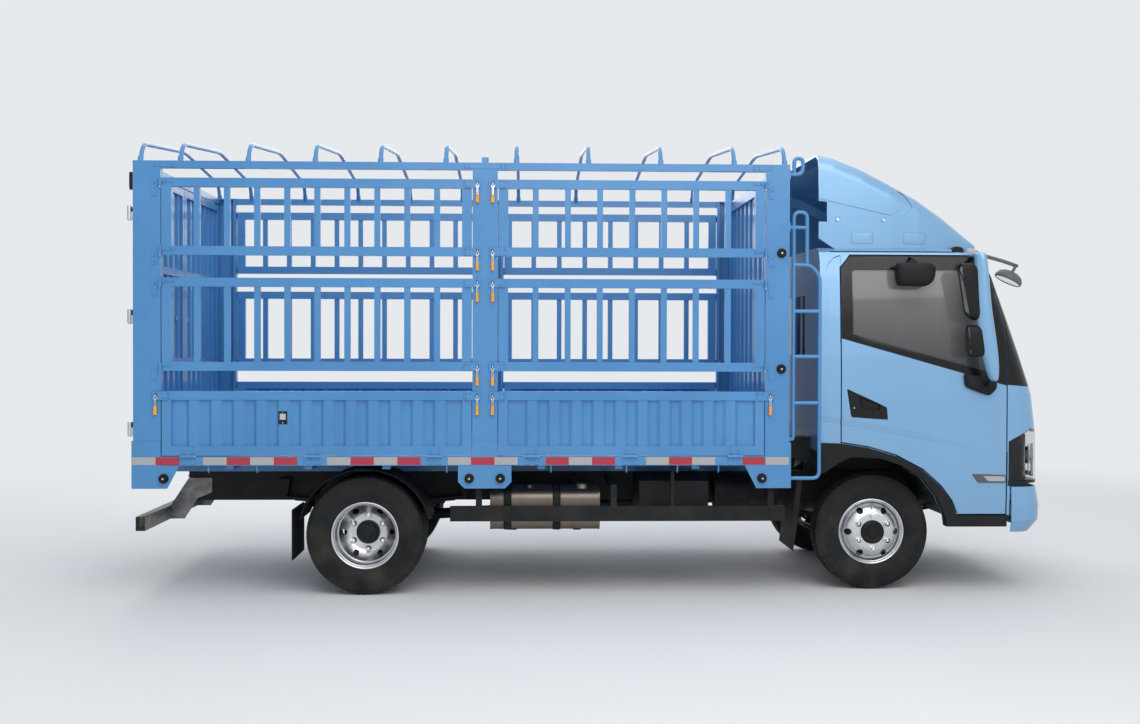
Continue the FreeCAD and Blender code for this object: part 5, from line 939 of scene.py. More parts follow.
print("bows:", len(BOW_XS), "ladder runs:", len(LADDER_RUNS))

# %% [markdown]
# Trim on the cab follows the cab's own skin. Instead of modelling each strip by eye, the helper takes the
# outer faces of a panel, cuts them to an outline in side view, and lifts them by a millimetre. The black
# window surround, the trim inside each door and the lining of the cab are all made in this way.

# %% Helper for trim that follows a panel
def outer_side(side):
    return lambda normal, place: normal.y * side > 0.45


def add_skin(node_name, name, outline, keep, lift, thickness, body, slot, finish, view="side"):
    """A thin sheet cut from a node's own faces.

    outline is convex and runs anticlockwise, in (x, z) for the side view or (y, z) for the front view.
    """
    bm = bmesh.new()
    bm.from_mesh(nodes[node_name].data)
    bmesh.ops.remove_doubles(bm, verts=bm.verts, dist=1e-5)
    unwanted = [f for f in bm.faces if not keep(f.normal, f.calc_center_median())]
    bmesh.ops.delete(bm, geom=unwanted, context="FACES")
    for (a0, z0), (a1, z1) in zip(outline, outline[1:] + outline[:1]):
        corner, outward = (a0, 0.0, z0), (z1 - z0, 0.0, a0 - a1)
        if view == "front":
            corner, outward = (0.0, a0, z0), (0.0, z1 - z0, a0 - a1)
        bmesh.ops.bisect_plane(
            bm, geom=bm.verts[:] + bm.edges[:] + bm.faces[:], dist=1e-6, plane_co=corner, plane_no=outward,
            clear_outer=True)
    bm.normal_update()
    for vertex in bm.verts:
        vertex.co += vertex.normal * lift
    piece = set_on_body(bm, name, body, finish)
    solid = piece.modifiers.new("thickness", "SOLIDIFY")
    solid.thickness = thickness
    solid.offset = -1.0
    crisp = piece.modifiers.new("crisp edges", "WEIGHTED_NORMAL")
    crisp.weight = 100
    return piece


# %% Window surrounds, door trim and lining
WINDOW_SURROUND = (
    (1.613, 1.683), (2.442, 1.449), (2.722, 1.371), (2.722, 2.000), (2.60, 2.232), (1.680, 2.232), (1.640, 2.222),
    (1.617, 2.195))
for side_name, side in SIDES:
    door = "door_" + side_name
    add_skin(door, "window_surround_" + side_name, WINDOW_SURROUND, outer_side(side), 0.0014, 0.003, door, *GLOSS)
    add_skin(door, "door_trim_" + side_name, rectangle((1.55, 2.78), (0.45, 2.28)), outer_side(-side), 0.002, 0.004,
             door, *TRIM)


def faces_the_room(normal, place):
    inward = Vector((2.15, 0.0, 1.62)) - place
    return abs(place.y) < 0.972 and inward.normalized().dot(normal) > 0.25 and place.x > 1.52


add_skin("cab_shell", "cab_headlining", rectangle((1.50, 2.93), (0.93, 2.30)), faces_the_room, 0.002, 0.003, "cab",
         *TRIM)
print("skins on the cab:", 2 * len(SIDES) + 1)

# %% [markdown]
# The pillar beside the screen is black, like the band round the screen itself, so that glass and pillar
# read as one dark wrap. Inside the wheel arch and under the floor the cab is black too. These are skins of
# the cab again, some of them cut in front view.

# %% Dark pillars, screen band and arch lining
PILLAR = [(2.722, 1.376), (3.020, 1.352), (2.900, 1.800), (2.780, 2.236), (2.604, 2.236)]
ARCH_ROOM = rectangle((1.480, 2.800), (0.400, 0.930))
LAMP_SILL = rectangle((2.735, 3.010), (0.705, 0.7425))
SCREEN_LOW_Z = 1.345
SCREEN_HEIGHT = 0.805
SCREEN_HALF_LOW = 0.886
SCREEN_HALF_HIGH = 0.797


def screen_half(z):
    """Half the width of the windscreen at a height."""
    return SCREEN_HALF_LOW + (z - SCREEN_LOW_Z) / SCREEN_HEIGHT * (SCREEN_HALF_HIGH - SCREEN_HALF_LOW)


def beside_screen(side):
    return lambda normal, place: place.y * side > 0.70 and normal.y * side > 0.02 and place.x > 2.45


def inside_arch(side):
    return lambda normal, place: place.y * side > 0.3 and normal.y * side < 0.40 and normal.x < 0.5 and place.z < 0.93


def above_sill(side):
    return lambda normal, place: place.y * side > 0.0 and (normal.x > 0.05 or normal.y * side > 0.5)


def faces_ahead(normal, place):
    return normal.x > 0.3


for side_name, side in SIDES:
    add_skin("cab_shell", "pillar_wrap_" + side_name, PILLAR, beside_screen(side), 0.0012, 0.003, "cab", *GLOSS)
    add_skin("cab_shell", "arch_lining_" + side_name, ARCH_ROOM, inside_arch(side), 0.0012, 0.003, "cab", *PLASTIC)
for side_name, side in SIDES:
    add_skin("cab_shell", "lamp_sill_" + side_name, LAMP_SILL, above_sill(side), 0.0010, 0.002, "cab", *GLOSS)

BAND = 0.045
BAND_LOW = 1.420
BAND_HIGH = 2.100
upright = [(screen_half(BAND_LOW) - BAND, BAND_LOW), (screen_half(BAND_LOW), BAND_LOW),
           (screen_half(BAND_HIGH), BAND_HIGH), (screen_half(BAND_HIGH) - BAND, BAND_HIGH)]
bands = {
    "top": [(-SCREEN_HALF_HIGH - 0.02, BAND_HIGH), (SCREEN_HALF_HIGH + 0.02, BAND_HIGH), (SCREEN_HALF_HIGH, 2.149),
            (-SCREEN_HALF_HIGH, 2.149)],
    "foot": rectangle((-SCREEN_HALF_LOW, SCREEN_HALF_LOW), (1.346, BAND_LOW)),
    "right": [(-upright[i][0], upright[i][1]) for i in (1, 0, 3, 2)],
    "left": upright}
for place_name, outline in bands.items():
    add_skin("cab_glass", "screen_band_" + place_name, outline, faces_ahead, 0.0008, 0.001, "cab", *GLOSS,
             view="front")
print("screen bands:", len(bands))

# %% [markdown]
# A headlamp is a dark housing under a clear cover, and the light comes from small bright lenses deep inside.
# The working model has it as one solid. Its back and side faces become the housing, its front faces become
# the cover, and the lenses stand between them.

# %% Headlamps
LAMP_BOX = rectangle((2.60, 3.02), (0.70, 1.12))
LAMP_LENSES = (
    # distance from the middle, height, radius
    (0.735, 0.900, 0.052), (0.858, 0.900, 0.055))
TURN_LAMP = (0.78, 0.78)
LENS_SINK = 0.012
RING_SHAPE = ((-0.030, 0.62), (-0.004, 0.80), (0.0, 0.92), (0.002, 1.0), (-0.004, 1.06), (-0.034, 1.06))
LENS_SHAPE = ((-0.026, 0.0), (-0.026, 0.66), (-0.014, 0.64), (-0.004, 0.45), (0.0, 0.2), (0.0005, 0.0))
FIN = 0.003


def lamp_front(side):
    return lambda normal, place: place.y * side > 0 and (normal.x > 0.10 or normal.y * side > 0.45) \
        and abs(normal.z) < 0.6 and not (place.y * side < 0.66 and normal.y * side < -0.5)


def lamp_back(side):
    front = lamp_front(side)
    return lambda normal, place: place.y * side > 0 and not front(normal, place)


# The depths are measured first, because a node that has been replaced can't be met by a ray.
lamp_depths = {(side, y): front_x("headlamps", side * y, z)
               for _, side in SIDES for y, z in [lens[:2] for lens in LAMP_LENSES] + [TURN_LAMP]}

for side_name, side in SIDES:
    housing = add_skin("headlamps", "lamp_housing_" + side_name, LAMP_BOX, lamp_back(side), 0.0, 0.003, "cab", *GLOSS)
    add_skin("headlamps", "lamp_cover_" + side_name, LAMP_BOX, lamp_front(side), 0.0, 0.002, "cab", "lamp_glass",
             lamp_clear)
    rings, lenses, fins = bmesh.new(), bmesh.new(), bmesh.new()
    for y, z, radius in LAMP_LENSES:
        turn = facing(AHEAD, (lamp_depths[side, y] - LENS_SINK, side * y, z))
        add_dish(rings, [(a, share * radius) for a, share in RING_SHAPE], turn)
        add_dish(lenses, [(a, share * radius) for a, share in LENS_SHAPE], turn, 32)
    for angle in (10.0, 25.0, 40.0, 55.0, 70.0):
        x = 2.800 + 0.148 * math.cos(math.radians(angle))
        y = 0.862 + 0.142 * math.sin(math.radians(angle))
        add_block(fins, (x - FIN, x + FIN), (side * (y - FIN), side * (y + FIN)), (0.775, 0.980))
    make_piece(rings, "lamp_rings_" + side_name, "cab", *STEEL)
    make_piece(lenses, "lamp_lenses_" + side_name, "cab", *PEARL)
    make_piece(fins, "lamp_fins_" + side_name, "cab", *SILVER)
    bm = bmesh.new()
    x = lamp_depths[side, TURN_LAMP[0]]
    corners = ((x - 0.022, 0.758), (x - 0.022, 0.790), (x - 0.010, 0.788), (x - 0.010, 0.760))
    add_loft(bm, [[(a, side * y, b) for a, b in corners] for y in (0.660, 0.880)])
    make_piece(bm, "front_turn_lamp_" + side_name, "cab", "lamp_glass", lamp_amber, 0.002)
    if side > 0:
        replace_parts(housing, "headlamps")
print("headlamps:", len(SIDES))

# %% [markdown]
# The front face gets its wipers, grille vanes, fog lamps, towing caps and a bare plate holder. The
# photograph shows none of the front, so these are plain parts of the kind that such a cab has.

# %% Wipers, grille and bumper
def screen_point(y, z, out):
    return Vector((front_x("cab_glass", y, z) + out, y, z))


def wiper_run(foot_y, tip_y, shares, foot_z, out):
    """Places on the screen at shares of the way from a wiper's foot to its tip."""
    return [screen_point(foot_y + (tip_y - foot_y) * t, foot_z + 0.165 * t, out) for t in shares]


arms, blades = bmesh.new(), bmesh.new()
for foot_y, tip_y in ((0.56, -0.02), (-0.16, -0.74)):
    foot = screen_point(foot_y, 1.362, 0.010)
    add_rod(arms, foot - Vector((0.030, 0.0, 0.0)), foot + Vector((0.012, 0.0, 0.0)), 0.016, 0.013)
    arm = wiper_run(foot_y, tip_y, (0.0, 0.2, 0.4, 0.6), 1.365, 0.022)
    blade = wiper_run(foot_y, tip_y, (0.12, 0.3, 0.5, 0.7, 0.88, 1.0), 1.392, 0.014)
    add_tube(arms, arm, 0.0065, 8)
    add_tube(blades, blade, 0.0075, 8)
    add_tube(arms, [arm[-1], blade[3] + Vector((0.006, 0.0, 0.0))], 0.006, 8)
make_piece(arms, "wiper_arms", "cab", *PLASTIC)
make_piece(blades, "wiper_blades", "cab", *RUBBER)

VANE_ROWS = 5
VANES = 25
bm = bmesh.new()
for i in range(VANE_ROWS):
    z = 0.800 + i * 0.052
    for k in range(VANES):
        y = -0.540 + k * 0.045
        add_block(bm, (2.925, 2.960), (y - 0.002, y + 0.002), (z - 0.001, z + 0.027))
make_piece(bm, "grille_vanes", "cab", *PLASTIC)
bm = bmesh.new()
for z in (0.7935, 1.0615):
    ys = [-0.60 + k * 1.20 / 28 for k in range(29)]
    add_tube(bm, [(front_x("front_grille", y, z) + 0.0005, y, z) for y in ys], 0.0045, 10)
make_piece(bm, "grille_trim", "cab", *SILVER)

FOG_LAMP = (0.74, 0.55)
FOG_BEZEL = ((-0.010, 0.0), (-0.010, 0.062), (0.004, 0.062), (0.0065, 0.056), (0.004, 0.049), (-0.002, 0.047),
             (-0.002, 0.0))
FOG_LENS = ((-0.0022, 0.0), (-0.0022, 0.0465), (0.0010, 0.045), (0.0035, 0.030), (0.0045, 0.0))
TOWING_CAP = ((-0.006, 0.0), (-0.006, 0.030), (0.0032, 0.030), (0.0045, 0.027), (0.0045, 0.0))


def on_bumper(y, z):
    """Where a round fitting sits, four millimetres deep in the bumper."""
    return facing(AHEAD, (front_x("front_bumper", y, z) - 0.004, y, z))


fittings, lamps = bmesh.new(), bmesh.new()
for _, side in SIDES:
    turn = on_bumper(side * FOG_LAMP[0], FOG_LAMP[1])
    add_dish(fittings, FOG_BEZEL, turn, 36)
    add_dish(lamps, FOG_LENS, turn, 36)
add_skin("front_bumper", "plate_holder", rectangle((-0.224, 0.224), (0.526, 0.654)), lambda n, p: n.x > 0.5, 0.0002,
         0.001, "root", *PLASTIC, view="front")
for _, side in SIDES:
    add_dish(fittings, TOWING_CAP, on_bumper(side * 0.42, 0.47), 28)
make_piece(fittings, "bumper_fittings", "root", *PLASTIC)
make_piece(lamps, "fog_lamps", "root", *PEARL)
print("grille vanes:", VANE_ROWS * VANES)

# %% [markdown]
# Seats are soft goods, so they are made as cushions and not as blocks. A simple form is remeshed into even
# squares, blown up gently by the cloth simulation with a cap on how far a point may move, and smoothed. The
# swelling draws the sides in between the corners, as a stuffed cover does. Sewn channels come afterwards:
# each one presses the surface down along a line.

# %% Seats
SEAT_VOXEL = 0.016
SEAT_PRESSURE = 4.0
SEAT_FRAMES = 14
SEAT_CAP = 0.012
CHANNEL_DEPTH = 0.007
CHANNEL_WIDTH = 0.010


def swell(piece):
    """Blows a pad up with the cloth simulation and keeps the result as plain mesh."""
    before = [vertex.co.copy() for vertex in piece.data.vertices]
    cloth_pad = piece.modifiers.new("swelling", "CLOTH")
    cloth_pad.settings.use_pressure = True
    cloth_pad.settings.uniform_pressure_force = SEAT_PRESSURE
    cloth_pad.settings.effector_weights.gravity = 0.0
    cloth_pad.settings.mass = 0.4
    cloth_pad.settings.tension_stiffness = 20.0
    cloth_pad.settings.compression_stiffness = 20.0
    cloth_pad.point_cache.frame_start = 1
    cloth_pad.point_cache.frame_end = SEAT_FRAMES
    scene = bpy.context.scene
    for number in range(1, SEAT_FRAMES + 1):
        scene.frame_set(number)
    evaluated = piece.evaluated_get(bpy.context.evaluated_depsgraph_get())
    after = [vertex.co.copy() for vertex in evaluated.data.vertices]
    piece.modifiers.remove(cloth_pad)
    scene.frame_set(1)
    for vertex, old, new in zip(piece.data.vertices, before, after):
        move = new - old
        if move.length > SEAT_CAP:
            move = move.normalized() * SEAT_CAP
        vertex.co = old + move


def remesh(piece):
    """Even squares all over, as the simulation likes them."""
    even = piece.modifiers.new("even squares", "REMESH")
    even.mode = "VOXEL"
    even.voxel_size = SEAT_VOXEL
    bake(piece, even)


def sew(piece, axis, places, wanted):
    """Presses channels into the padding: places along an axis, where wanted(normal) is true."""
    normals = [vertex.normal.copy() for vertex in piece.data.vertices]
    for vertex, normal in zip(piece.data.vertices, normals):
        if not wanted(normal):
            continue
        near = min(abs(vertex.co[axis] - place) for place in places)
        vertex.co -= normal * CHANNEL_DEPTH * math.exp(-(near / CHANNEL_WIDTH) ** 2)


def add_pad(name, sections, axis, places, wanted):
    bm = bmesh.new()
    add_loft(bm, sections)
    piece = make_piece(bm, name, "cab", "seat_fabric", cloth)
    remesh(piece)
    swell(piece)
    piece.data.update()
    sew(piece, axis, places, wanted)
    piece.data.shade_smooth()
    add_smoothing(piece, 1)
    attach(piece, "cab")
    return piece


CUSHION_STATIONS = (
    # share of the half width, rise of the top, tuck of the ends
    (0.0, -0.004, 0.0), (0.66, 0.0, 0.0), (0.84, 0.012, 0.0), (0.96, 0.006, 0.006), (1.0, -0.004, 0.020))
BACK_STATIONS = (
    # share of the half width, swell of the bolster, drop of the top
    (0.0, -0.004, 0.0), (0.62, 0.0, 0.0), (0.82, 0.010, 0.0), (0.95, 0.002, -0.020), (1.0, -0.014, -0.060))


def pad_sections(y, half, stations, outline):
    """Sections from side to side; the stations are given from the middle outwards."""
    both_ways = [(-share, a, b) for share, a, b in reversed(stations[1:])] + list(stations)
    return [[(x, y + share * (half - 0.012), z) for x, z in outline(a, b)] for share, a, b in both_ways]


def cushion_outline(rise, tuck):
    """A cushion with a round front edge; its thick bolsters come from the stations."""
    return rounded_loop([(1.775 + tuck, 1.132), (2.215 - tuck, 1.132), (2.228 - tuck, 1.236 + rise),
                         (1.775 + tuck, 1.226 + rise)], 0.040, 4)


def back_outline(swell_by, top):
    """The back rest, with a narrower top that forms the head rest."""
    return rounded_loop([(1.642, 1.262), (1.755 + swell_by, 1.226), (1.790 + swell_by, 1.280),
                         (1.694 + swell_by, 1.800 + top), (1.618, 1.826 + top), (1.584, 1.790 + top)], 0.034, 4)


SEATS = (
    # name, distance from the middle, half width, places of the sewn lines as shares of it
    ("driver", 0.46, 0.25, (-0.66, 0.66)), ("bench", -0.40, 0.42, (-0.80, -0.04, 0.04, 0.80)))
cushions, backs = [], []
for seat_name, y, half, shares in SEATS:
    lines = [y + share * half for share in shares]
    cushions.append(add_pad("seat_cushion_" + seat_name, pad_sections(y, half, CUSHION_STATIONS, cushion_outline), 1,
                            lines, lambda n: n.z > 0.5))
    backs.append(add_pad("seat_back_" + seat_name, pad_sections(y, half, BACK_STATIONS, back_outline), 1, lines,
                         lambda n: n.x > 0.5))
for cushion in cushions:
    sew(cushion, 0, (1.93, 2.07), lambda n: n.z > 0.7)
for back in backs:
    sew(back, 2, (1.40, 1.56, 1.68), lambda n: n.x > 0.7)
bm = bmesh.new()
pedestal = rounded_loop([(1.820, 0.984), (2.160, 0.984), (2.180, 1.130), (1.800, 1.130)], 0.020, 3)
recliner = rounded_loop([(1.700, 1.120), (1.800, 1.120), (1.770, 1.250), (1.690, 1.262)], 0.015, 3)
for _, y, half, _ in SEATS:
    for x in (1.850, 2.120):
        add_block(bm, (x - 0.025, x + 0.025), (y - half + 0.06, y + half - 0.06), (0.962, 0.985))
    add_layers(bm, pedestal, ((y - half + 0.05, 1.0), (y + half - 0.05, 1.0)))
    add_layers(bm, recliner, ((y - 0.12, 1.0), (y + 0.12, 1.0)))
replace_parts(make_piece(bm, "seat_stands", "cab", *PLASTIC, 0.003), "seats")
print("pads:", len(cushions + backs))

# %% [markdown]
# The steering wheel is a torus round the plain ring of the working model, with a padded boss in the middle.
# Two hoods, one over the dials and one over the radio, finish the dashboard that shows through the glass.

# %% Steering wheel and dashboard
WHEEL_HUB = Vector((2.440, 0.460, 1.290))
WHEEL_AXIS = Vector((0.62, 0.0, -0.78)).normalized()
WHEEL_RING = 0.205
WHEEL_GRIP = 0.0155
SPOKE_ANGLES = (0.0, 180.0, 250.0, 290.0)
wheel_turn = Matrix.Translation(WHEEL_HUB) @ WHEEL_AXIS.to_track_quat("Y", "Z").to_matrix().to_4x4()
bm = bmesh.new()
grip_turns = [math.radians(30 * k) for k in range(12)]
section = [(WHEEL_GRIP * math.cos(t), WHEEL_RING + WHEEL_GRIP * math.sin(t)) for t in grip_turns]
add_dish(bm, section, wheel_turn, 72)
add_dish(bm, [(-0.038, 0.0), (-0.038, 0.040), (-0.030, 0.062), (-0.006, 0.072), (0.030, 0.050), (0.040, 0.028),
              (0.040, 0.0)], wheel_turn, 40)
for t in map(math.radians, SPOKE_ANGLES):
    start = wheel_turn @ Vector((0.055 * math.cos(t), 0.004, 0.055 * math.sin(t)))
    end = wheel_turn @ Vector((0.198 * math.cos(t), 0.0, 0.198 * math.sin(t)))
    add_tube(bm, [start, end], 0.012, 10)
add_rod(bm, WHEEL_HUB + WHEEL_AXIS * 0.03, WHEEL_HUB + WHEEL_AXIS * 0.20, 0.034, 0.040)
make_piece(bm, "steering_wheel", "cab", *PLASTIC)
bm = bmesh.new()
cluster = rounded_loop([(0.290, 1.325), (0.630, 1.325), (0.610, 1.392), (0.310, 1.392)], 0.030, 4)
radio = rounded_loop([(-0.150, 1.325), (0.150, 1.325), (0.140, 1.368), (-0.140, 1.368)], 0.020, 4)
add_layers(bm, cluster, ((2.640, 0.93), (2.632, 1.0), (2.700, 1.0), (2.800, 0.90)), view="front")
add_layers(bm, radio, ((2.660, 0.93), (2.652, 1.0), (2.720, 1.0), (2.800, 0.90)), view="front")
make_piece(bm, "dash_hoods", "cab", *PLASTIC)
print("steering wheel ring:", 2 * WHEEL_RING, "m")

# %% [markdown]
# Along the chassis hang the tank with its straps and caps, the springs and the side guards. The straps are
# bent bands that follow the rounded tank, with rubber under them. U-bolts clamp each spring, and the guards
# show their joints and bolts.

# %% Tank straps, caps and chassis fittings
TANK_Y = (0.520, 0.948)
TANK_Z = (0.411, 0.677)
TANK_CORNER = 0.060
STRAP_XS = (-0.575, -0.251)


def tank_loop(grow):
    """The section of the tank, grown by a little, in (y, z)."""
    corners = rectangle((TANK_Y[0] - grow, TANK_Y[1] + grow), (TANK_Z[0] - grow, TANK_Z[1] + grow))
    return rounded_loop(corners, TANK_CORNER + grow, 8)


def add_band(bm, x0, x1, inner, outer):
    """A closed band round the tank, between two outlines."""
    rings = [[bm.verts.new((x, -y, z)) for y, z in outline] for x, outline in
             ((x0, outer), (x1, outer), (x1, inner), (x0, inner))]
    join_rings(bm, rings, closed=True)


straps, strap_pads = bmesh.new(), bmesh.new()
for x in STRAP_XS:
    add_band(strap_pads, x - 0.026, x + 0.026, tank_loop(0.0002), tank_loop(0.0025))
    add_band(straps, x - 0.020, x + 0.020, tank_loop(0.0026), tank_loop(0.0050))
    for y in (-0.900, -0.700):
        add_bolt(straps, (x, y, TANK_Z[1] + 0.006), (0, 0, 1), 0.010)
make_piece(strap_pads, "tank_strap_pads", "root", *RUBBER)
make_piece(straps, "tank_straps", "root", *CHASSIS)
bm = bmesh.new()
for x in (-0.684, 0.029):
    add_layers(bm, tank_loop(0.0018), ((x - 0.005, 1.0), (x + 0.005, 1.0)), -1.0, "front")
FILLER_CAP = ((0.0, 0.0), (0.0, 0.052), (0.012, 0.052), (0.020, 0.046), (0.030, 0.046), (0.034, 0.040), (0.034, 0.0))
GAUGE_CAP = ((0.0, 0.0), (0.0, 0.024), (0.018, 0.024), (0.020, 0.018), (0.020, 0.0))
add_dish(bm, FILLER_CAP, facing(UPWARD, (-0.080, -0.830, TANK_Z[1] - 0.002)), 32)
add_dish(bm, GAUGE_CAP, facing(UPWARD, (-0.430, -0.800, TANK_Z[1] - 0.002)), 24)
make_piece(bm, "tank_seams_and_caps", "root", "aluminium", tank_metal)

SPRING_YS = (0.383, 0.457)
SPRING_CLAMPS = (
    # axle, foot and top of the U-bolts
    (FRONT_AXLE_X, 0.345, 0.470), (REAR_AXLE_X, 0.330, 0.585))
bm = bmesh.new()
for _, side in SIDES:
    for axle_x, low, high in SPRING_CLAMPS:
        for x in (axle_x - 0.062, axle_x + 0.062):
            hoop = ((SPRING_YS[0], low), (SPRING_YS[0], high), (SPRING_YS[1], high), (SPRING_YS[1], low))
            add_tube(bm, rounded_path([(x, side * y, z) for y, z in hoop], 0.020), 0.008, 10)
            for y in SPRING_YS:
                add_bolt(bm, (x, side * y, low + 0.012), (0, 0, -1), 0.012)
make_piece(bm, "spring_clamps", "root", *CHASSIS)

bm = bmesh.new()
for x in (-0.940, -0.648, 0.452, 1.030, 1.123):
    for y in ((-1.0512, -1.0495), (1.0495, 1.0512)):
        add_block(bm, (x - 0.004, x + 0.004), y, (0.484, 0.578))
for x in (-0.760, 0.120, 1.150):
    for _, side in SIDES:
        for z in (0.508, 0.554):
            add_bolt(bm, (x, side * 1.0500, z), (0, side, 0), 0.0075)
add_block(bm, (0.494, 0.516), (-1.045, -1.020), (0.580, 0.850))
make_piece(bm, "guard_joints_and_bolts", "root", *CHASSIS)

add_skin("guards", "underrun_paint", rectangle((-3.02, -2.60), (0.400, 0.760)), lambda n, p: p.x < -2.55, 0.0007,
         0.001, "root", "underrun_paint", underrun_grey)
print("straps:", len(STRAP_XS))

# %% [markdown]
# At the back, each door has a lock rod with keepers, a handle and silver hinge brackets. Red lamps and
# small markers sit on the posts and under the deck, each one a tray with ribbed lenses side by side.

# %% Rear door fittings
ROD_X = -2.986
ROD_Y = 0.155
ROD_RADIUS = 0.0120
KEEPER_FACE_X = -2.9730
KEEPER_ZS = (0.946, 1.505, 1.815, 2.716)
HANDLE_Z = 1.640
HANDLE_X = -2.990
DOOR_HINGE_Y = 1.124
DOOR_HINGE_ZS = (1.090, 1.810, 2.470)
STRAP_FACE_X = -2.9915
for side_name, side in SIDES:
    bm = bmesh.new()
    y = side * ROD_Y
    add_rod(bm, (ROD_X, y, 0.932), (ROD_X, y, 2.731), ROD_RADIUS)
    for z in KEEPER_ZS:
        add_block(bm, (KEEPER_FACE_X, -2.9640), (y - 0.034, y + 0.034), (z - 0.019, z + 0.019))
        add_rod(bm, (ROD_X + 0.002, y, z - 0.017), (ROD_X + 0.002, y, z + 0.017), 0.0137)
        for step in (-0.025, 0.025):
            add_bolt(bm, (KEEPER_FACE_X, side * (ROD_Y + step), z), (-1, 0, 0), 0.0055)
    add_tube(bm, rounded_path([
        (ROD_X - 0.001, y, HANDLE_Z), (HANDLE_X, side * (ROD_Y + 0.05), HANDLE_Z),
        (HANDLE_X, side * (ROD_Y + 0.30), HANDLE_Z)], 0.02), 0.0072, 10)
    add_block(bm, (-2.9895, -2.9645), (side * (ROD_Y + 0.250), side * (ROD_Y + 0.275)), (1.615, 1.665))
    y = side * DOOR_HINGE_Y
    for z in DOOR_HINGE_ZS:
        add_rod(bm, (ROD_X, y, z + 0.0004), (ROD_X, y, z + 0.044), ROD_RADIUS)
        add_block(bm, (STRAP_FACE_X, STRAP_FACE_X + 0.009), (side * 0.936, side * 1.122), (z + 0.003, z + 0.041))
        for bolt_y in (0.955, 0.985, 1.015):
            add_bolt(bm, (STRAP_FACE_X, side * bolt_y, z + 0.022), (-1, 0, 0), 0.0056)
    make_piece(bm, "rear_door_hardware_" + side_name, "rear_door_" + side_name, "cast_metal", zinc)
bm = bmesh.new()
for _, side in SIDES:
    y = side * DOOR_HINGE_Y
    for z in DOOR_HINGE_ZS:
        add_rod(bm, (ROD_X, y, z - 0.044), (ROD_X, y, z - 0.0004), ROD_RADIUS)
        add_block(bm, (-2.9885, -2.9640), (side * 1.1195, side * 1.1245), (z - 0.050, z + 0.006))
        add_rod(bm, (ROD_X - 0.001, y, z - 0.052), (ROD_X - 0.001, y, z - 0.044), 0.0070)
make_piece(bm, "rear_hinge_brackets", "root", "cast_metal", zinc)

REAR_LENSES = {"red": lamp_red, "amber": lamp_amber, "pearl": lamp_pearl}
LENS_LAYERS = ((-2.9930, 1.0), (-2.9965, 0.985), (-2.9975, 0.93))
MARKER_LAYERS = ((-2.9880, 1.0), (-2.9910, 0.97), (-2.9920, 0.85))
lenses = {colour: bmesh.new() for colour in REAR_LENSES}
trays = bmesh.new()
for _, side in SIDES:
    for y0, y1, colour in ((0.632, 0.742, "pearl"), (0.746, 0.856, "red"), (0.860, 0.968, "amber")):
        outline = rounded_loop(rectangle((y0, y1), (0.774, 0.866)), 0.008, 3)
        add_layers(lenses[colour], outline, LENS_LAYERS, side, "front")
    outline = rounded_loop(rectangle((0.618, 0.982), (0.763, 0.877)), 0.010, 3)
    add_layers(trays, outline, ((-2.9655, 1.0), (-2.9945, 1.0)), side, "front")
    outline = rounded_loop(rectangle((1.070, 1.108), (2.628, 2.722)), 0.010, 3)
    add_layers(lenses["red"], outline, MARKER_LAYERS, side, "front")
    outline = rounded_loop(rectangle((1.064, 1.114), (2.618, 2.732)), 0.010, 3)
    add_layers(trays, outline, ((-2.9655, 1.0), (-2.9885, 1.0)), side, "front")
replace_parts(make_piece(trays, "rear_lamp_trays", "root", "lamp_red", gloss_black), "rear_lamps")
for colour, finish in REAR_LENSES.items():
    make_piece(lenses[colour], "rear_lamp_lenses_" + colour, "root", "lamp_red", finish)

bm = bmesh.new()
for y in (-0.98, 0.98):
    outline = rounded_loop(rectangle((y - 0.03, y + 0.03), (2.688, 2.712)), 0.010, 3)
    add_layers(bm, outline, ((1.2545, 1.0), (1.2645, 1.0), (1.2685, 0.9)), view="front")
make_piece(bm, "front_wall_markers", "root", *PEARL)
print("rear keepers:", 2 * len(KEEPER_ZS), "rear hinges:", 2 * len(DOOR_HINGE_ZS))

# %% [markdown]
# Red and white reflective tape runs along the deck rail on both sides, in pairs of strips with gaps at
# the posts. It is only a film, so each strip is a plate half a millimetre thick.

# %% Reflective tape
TAPE_Z = (0.857, 0.907)
TAPE_LENGTH = 0.150
TAPE_RUN = "WR_WRWR_WRWR_WRW_RWR_WRW_RW"
TAPE_GAPS = (0.15, 0.19, 0.175, 0.18, 0.20, 0.18)
for side_name, side in SIDES:
    for colour, finish, slot in (("W", tape_white, "aluminium"), ("R", tape_red, "lamp_red")):
        bm = bmesh.new()
        x = -2.972
        gaps = iter(TAPE_GAPS)
        for letter in TAPE_RUN:
            if letter == "_":
                x += next(gaps)
                continue
            if letter == colour and x + TAPE_LENGTH < 1.27:
                on_post = x < -2.66 or -0.90 < x < -0.54 or x > 0.96
                y = 1.1243 if on_post else 1.1202
                add_block(bm, (x, x + TAPE_LENGTH), (side * y, side * (y + 0.0007)), TAPE_Z)
            x += TAPE_LENGTH
        make_piece(bm, "tape_" + finish.name[5:] + "_" + side_name, "root", slot, finish)

# %% [markdown]
# The mirrors are what most people see first beside a cab. The tall one is a painted fairing, drawn like a
# wing section that leans back with the screen pillar, with two black heads behind it. A loft through a few
# sections gives that twisted form, and the glass is a plate sunk into each head so that the rim reads.

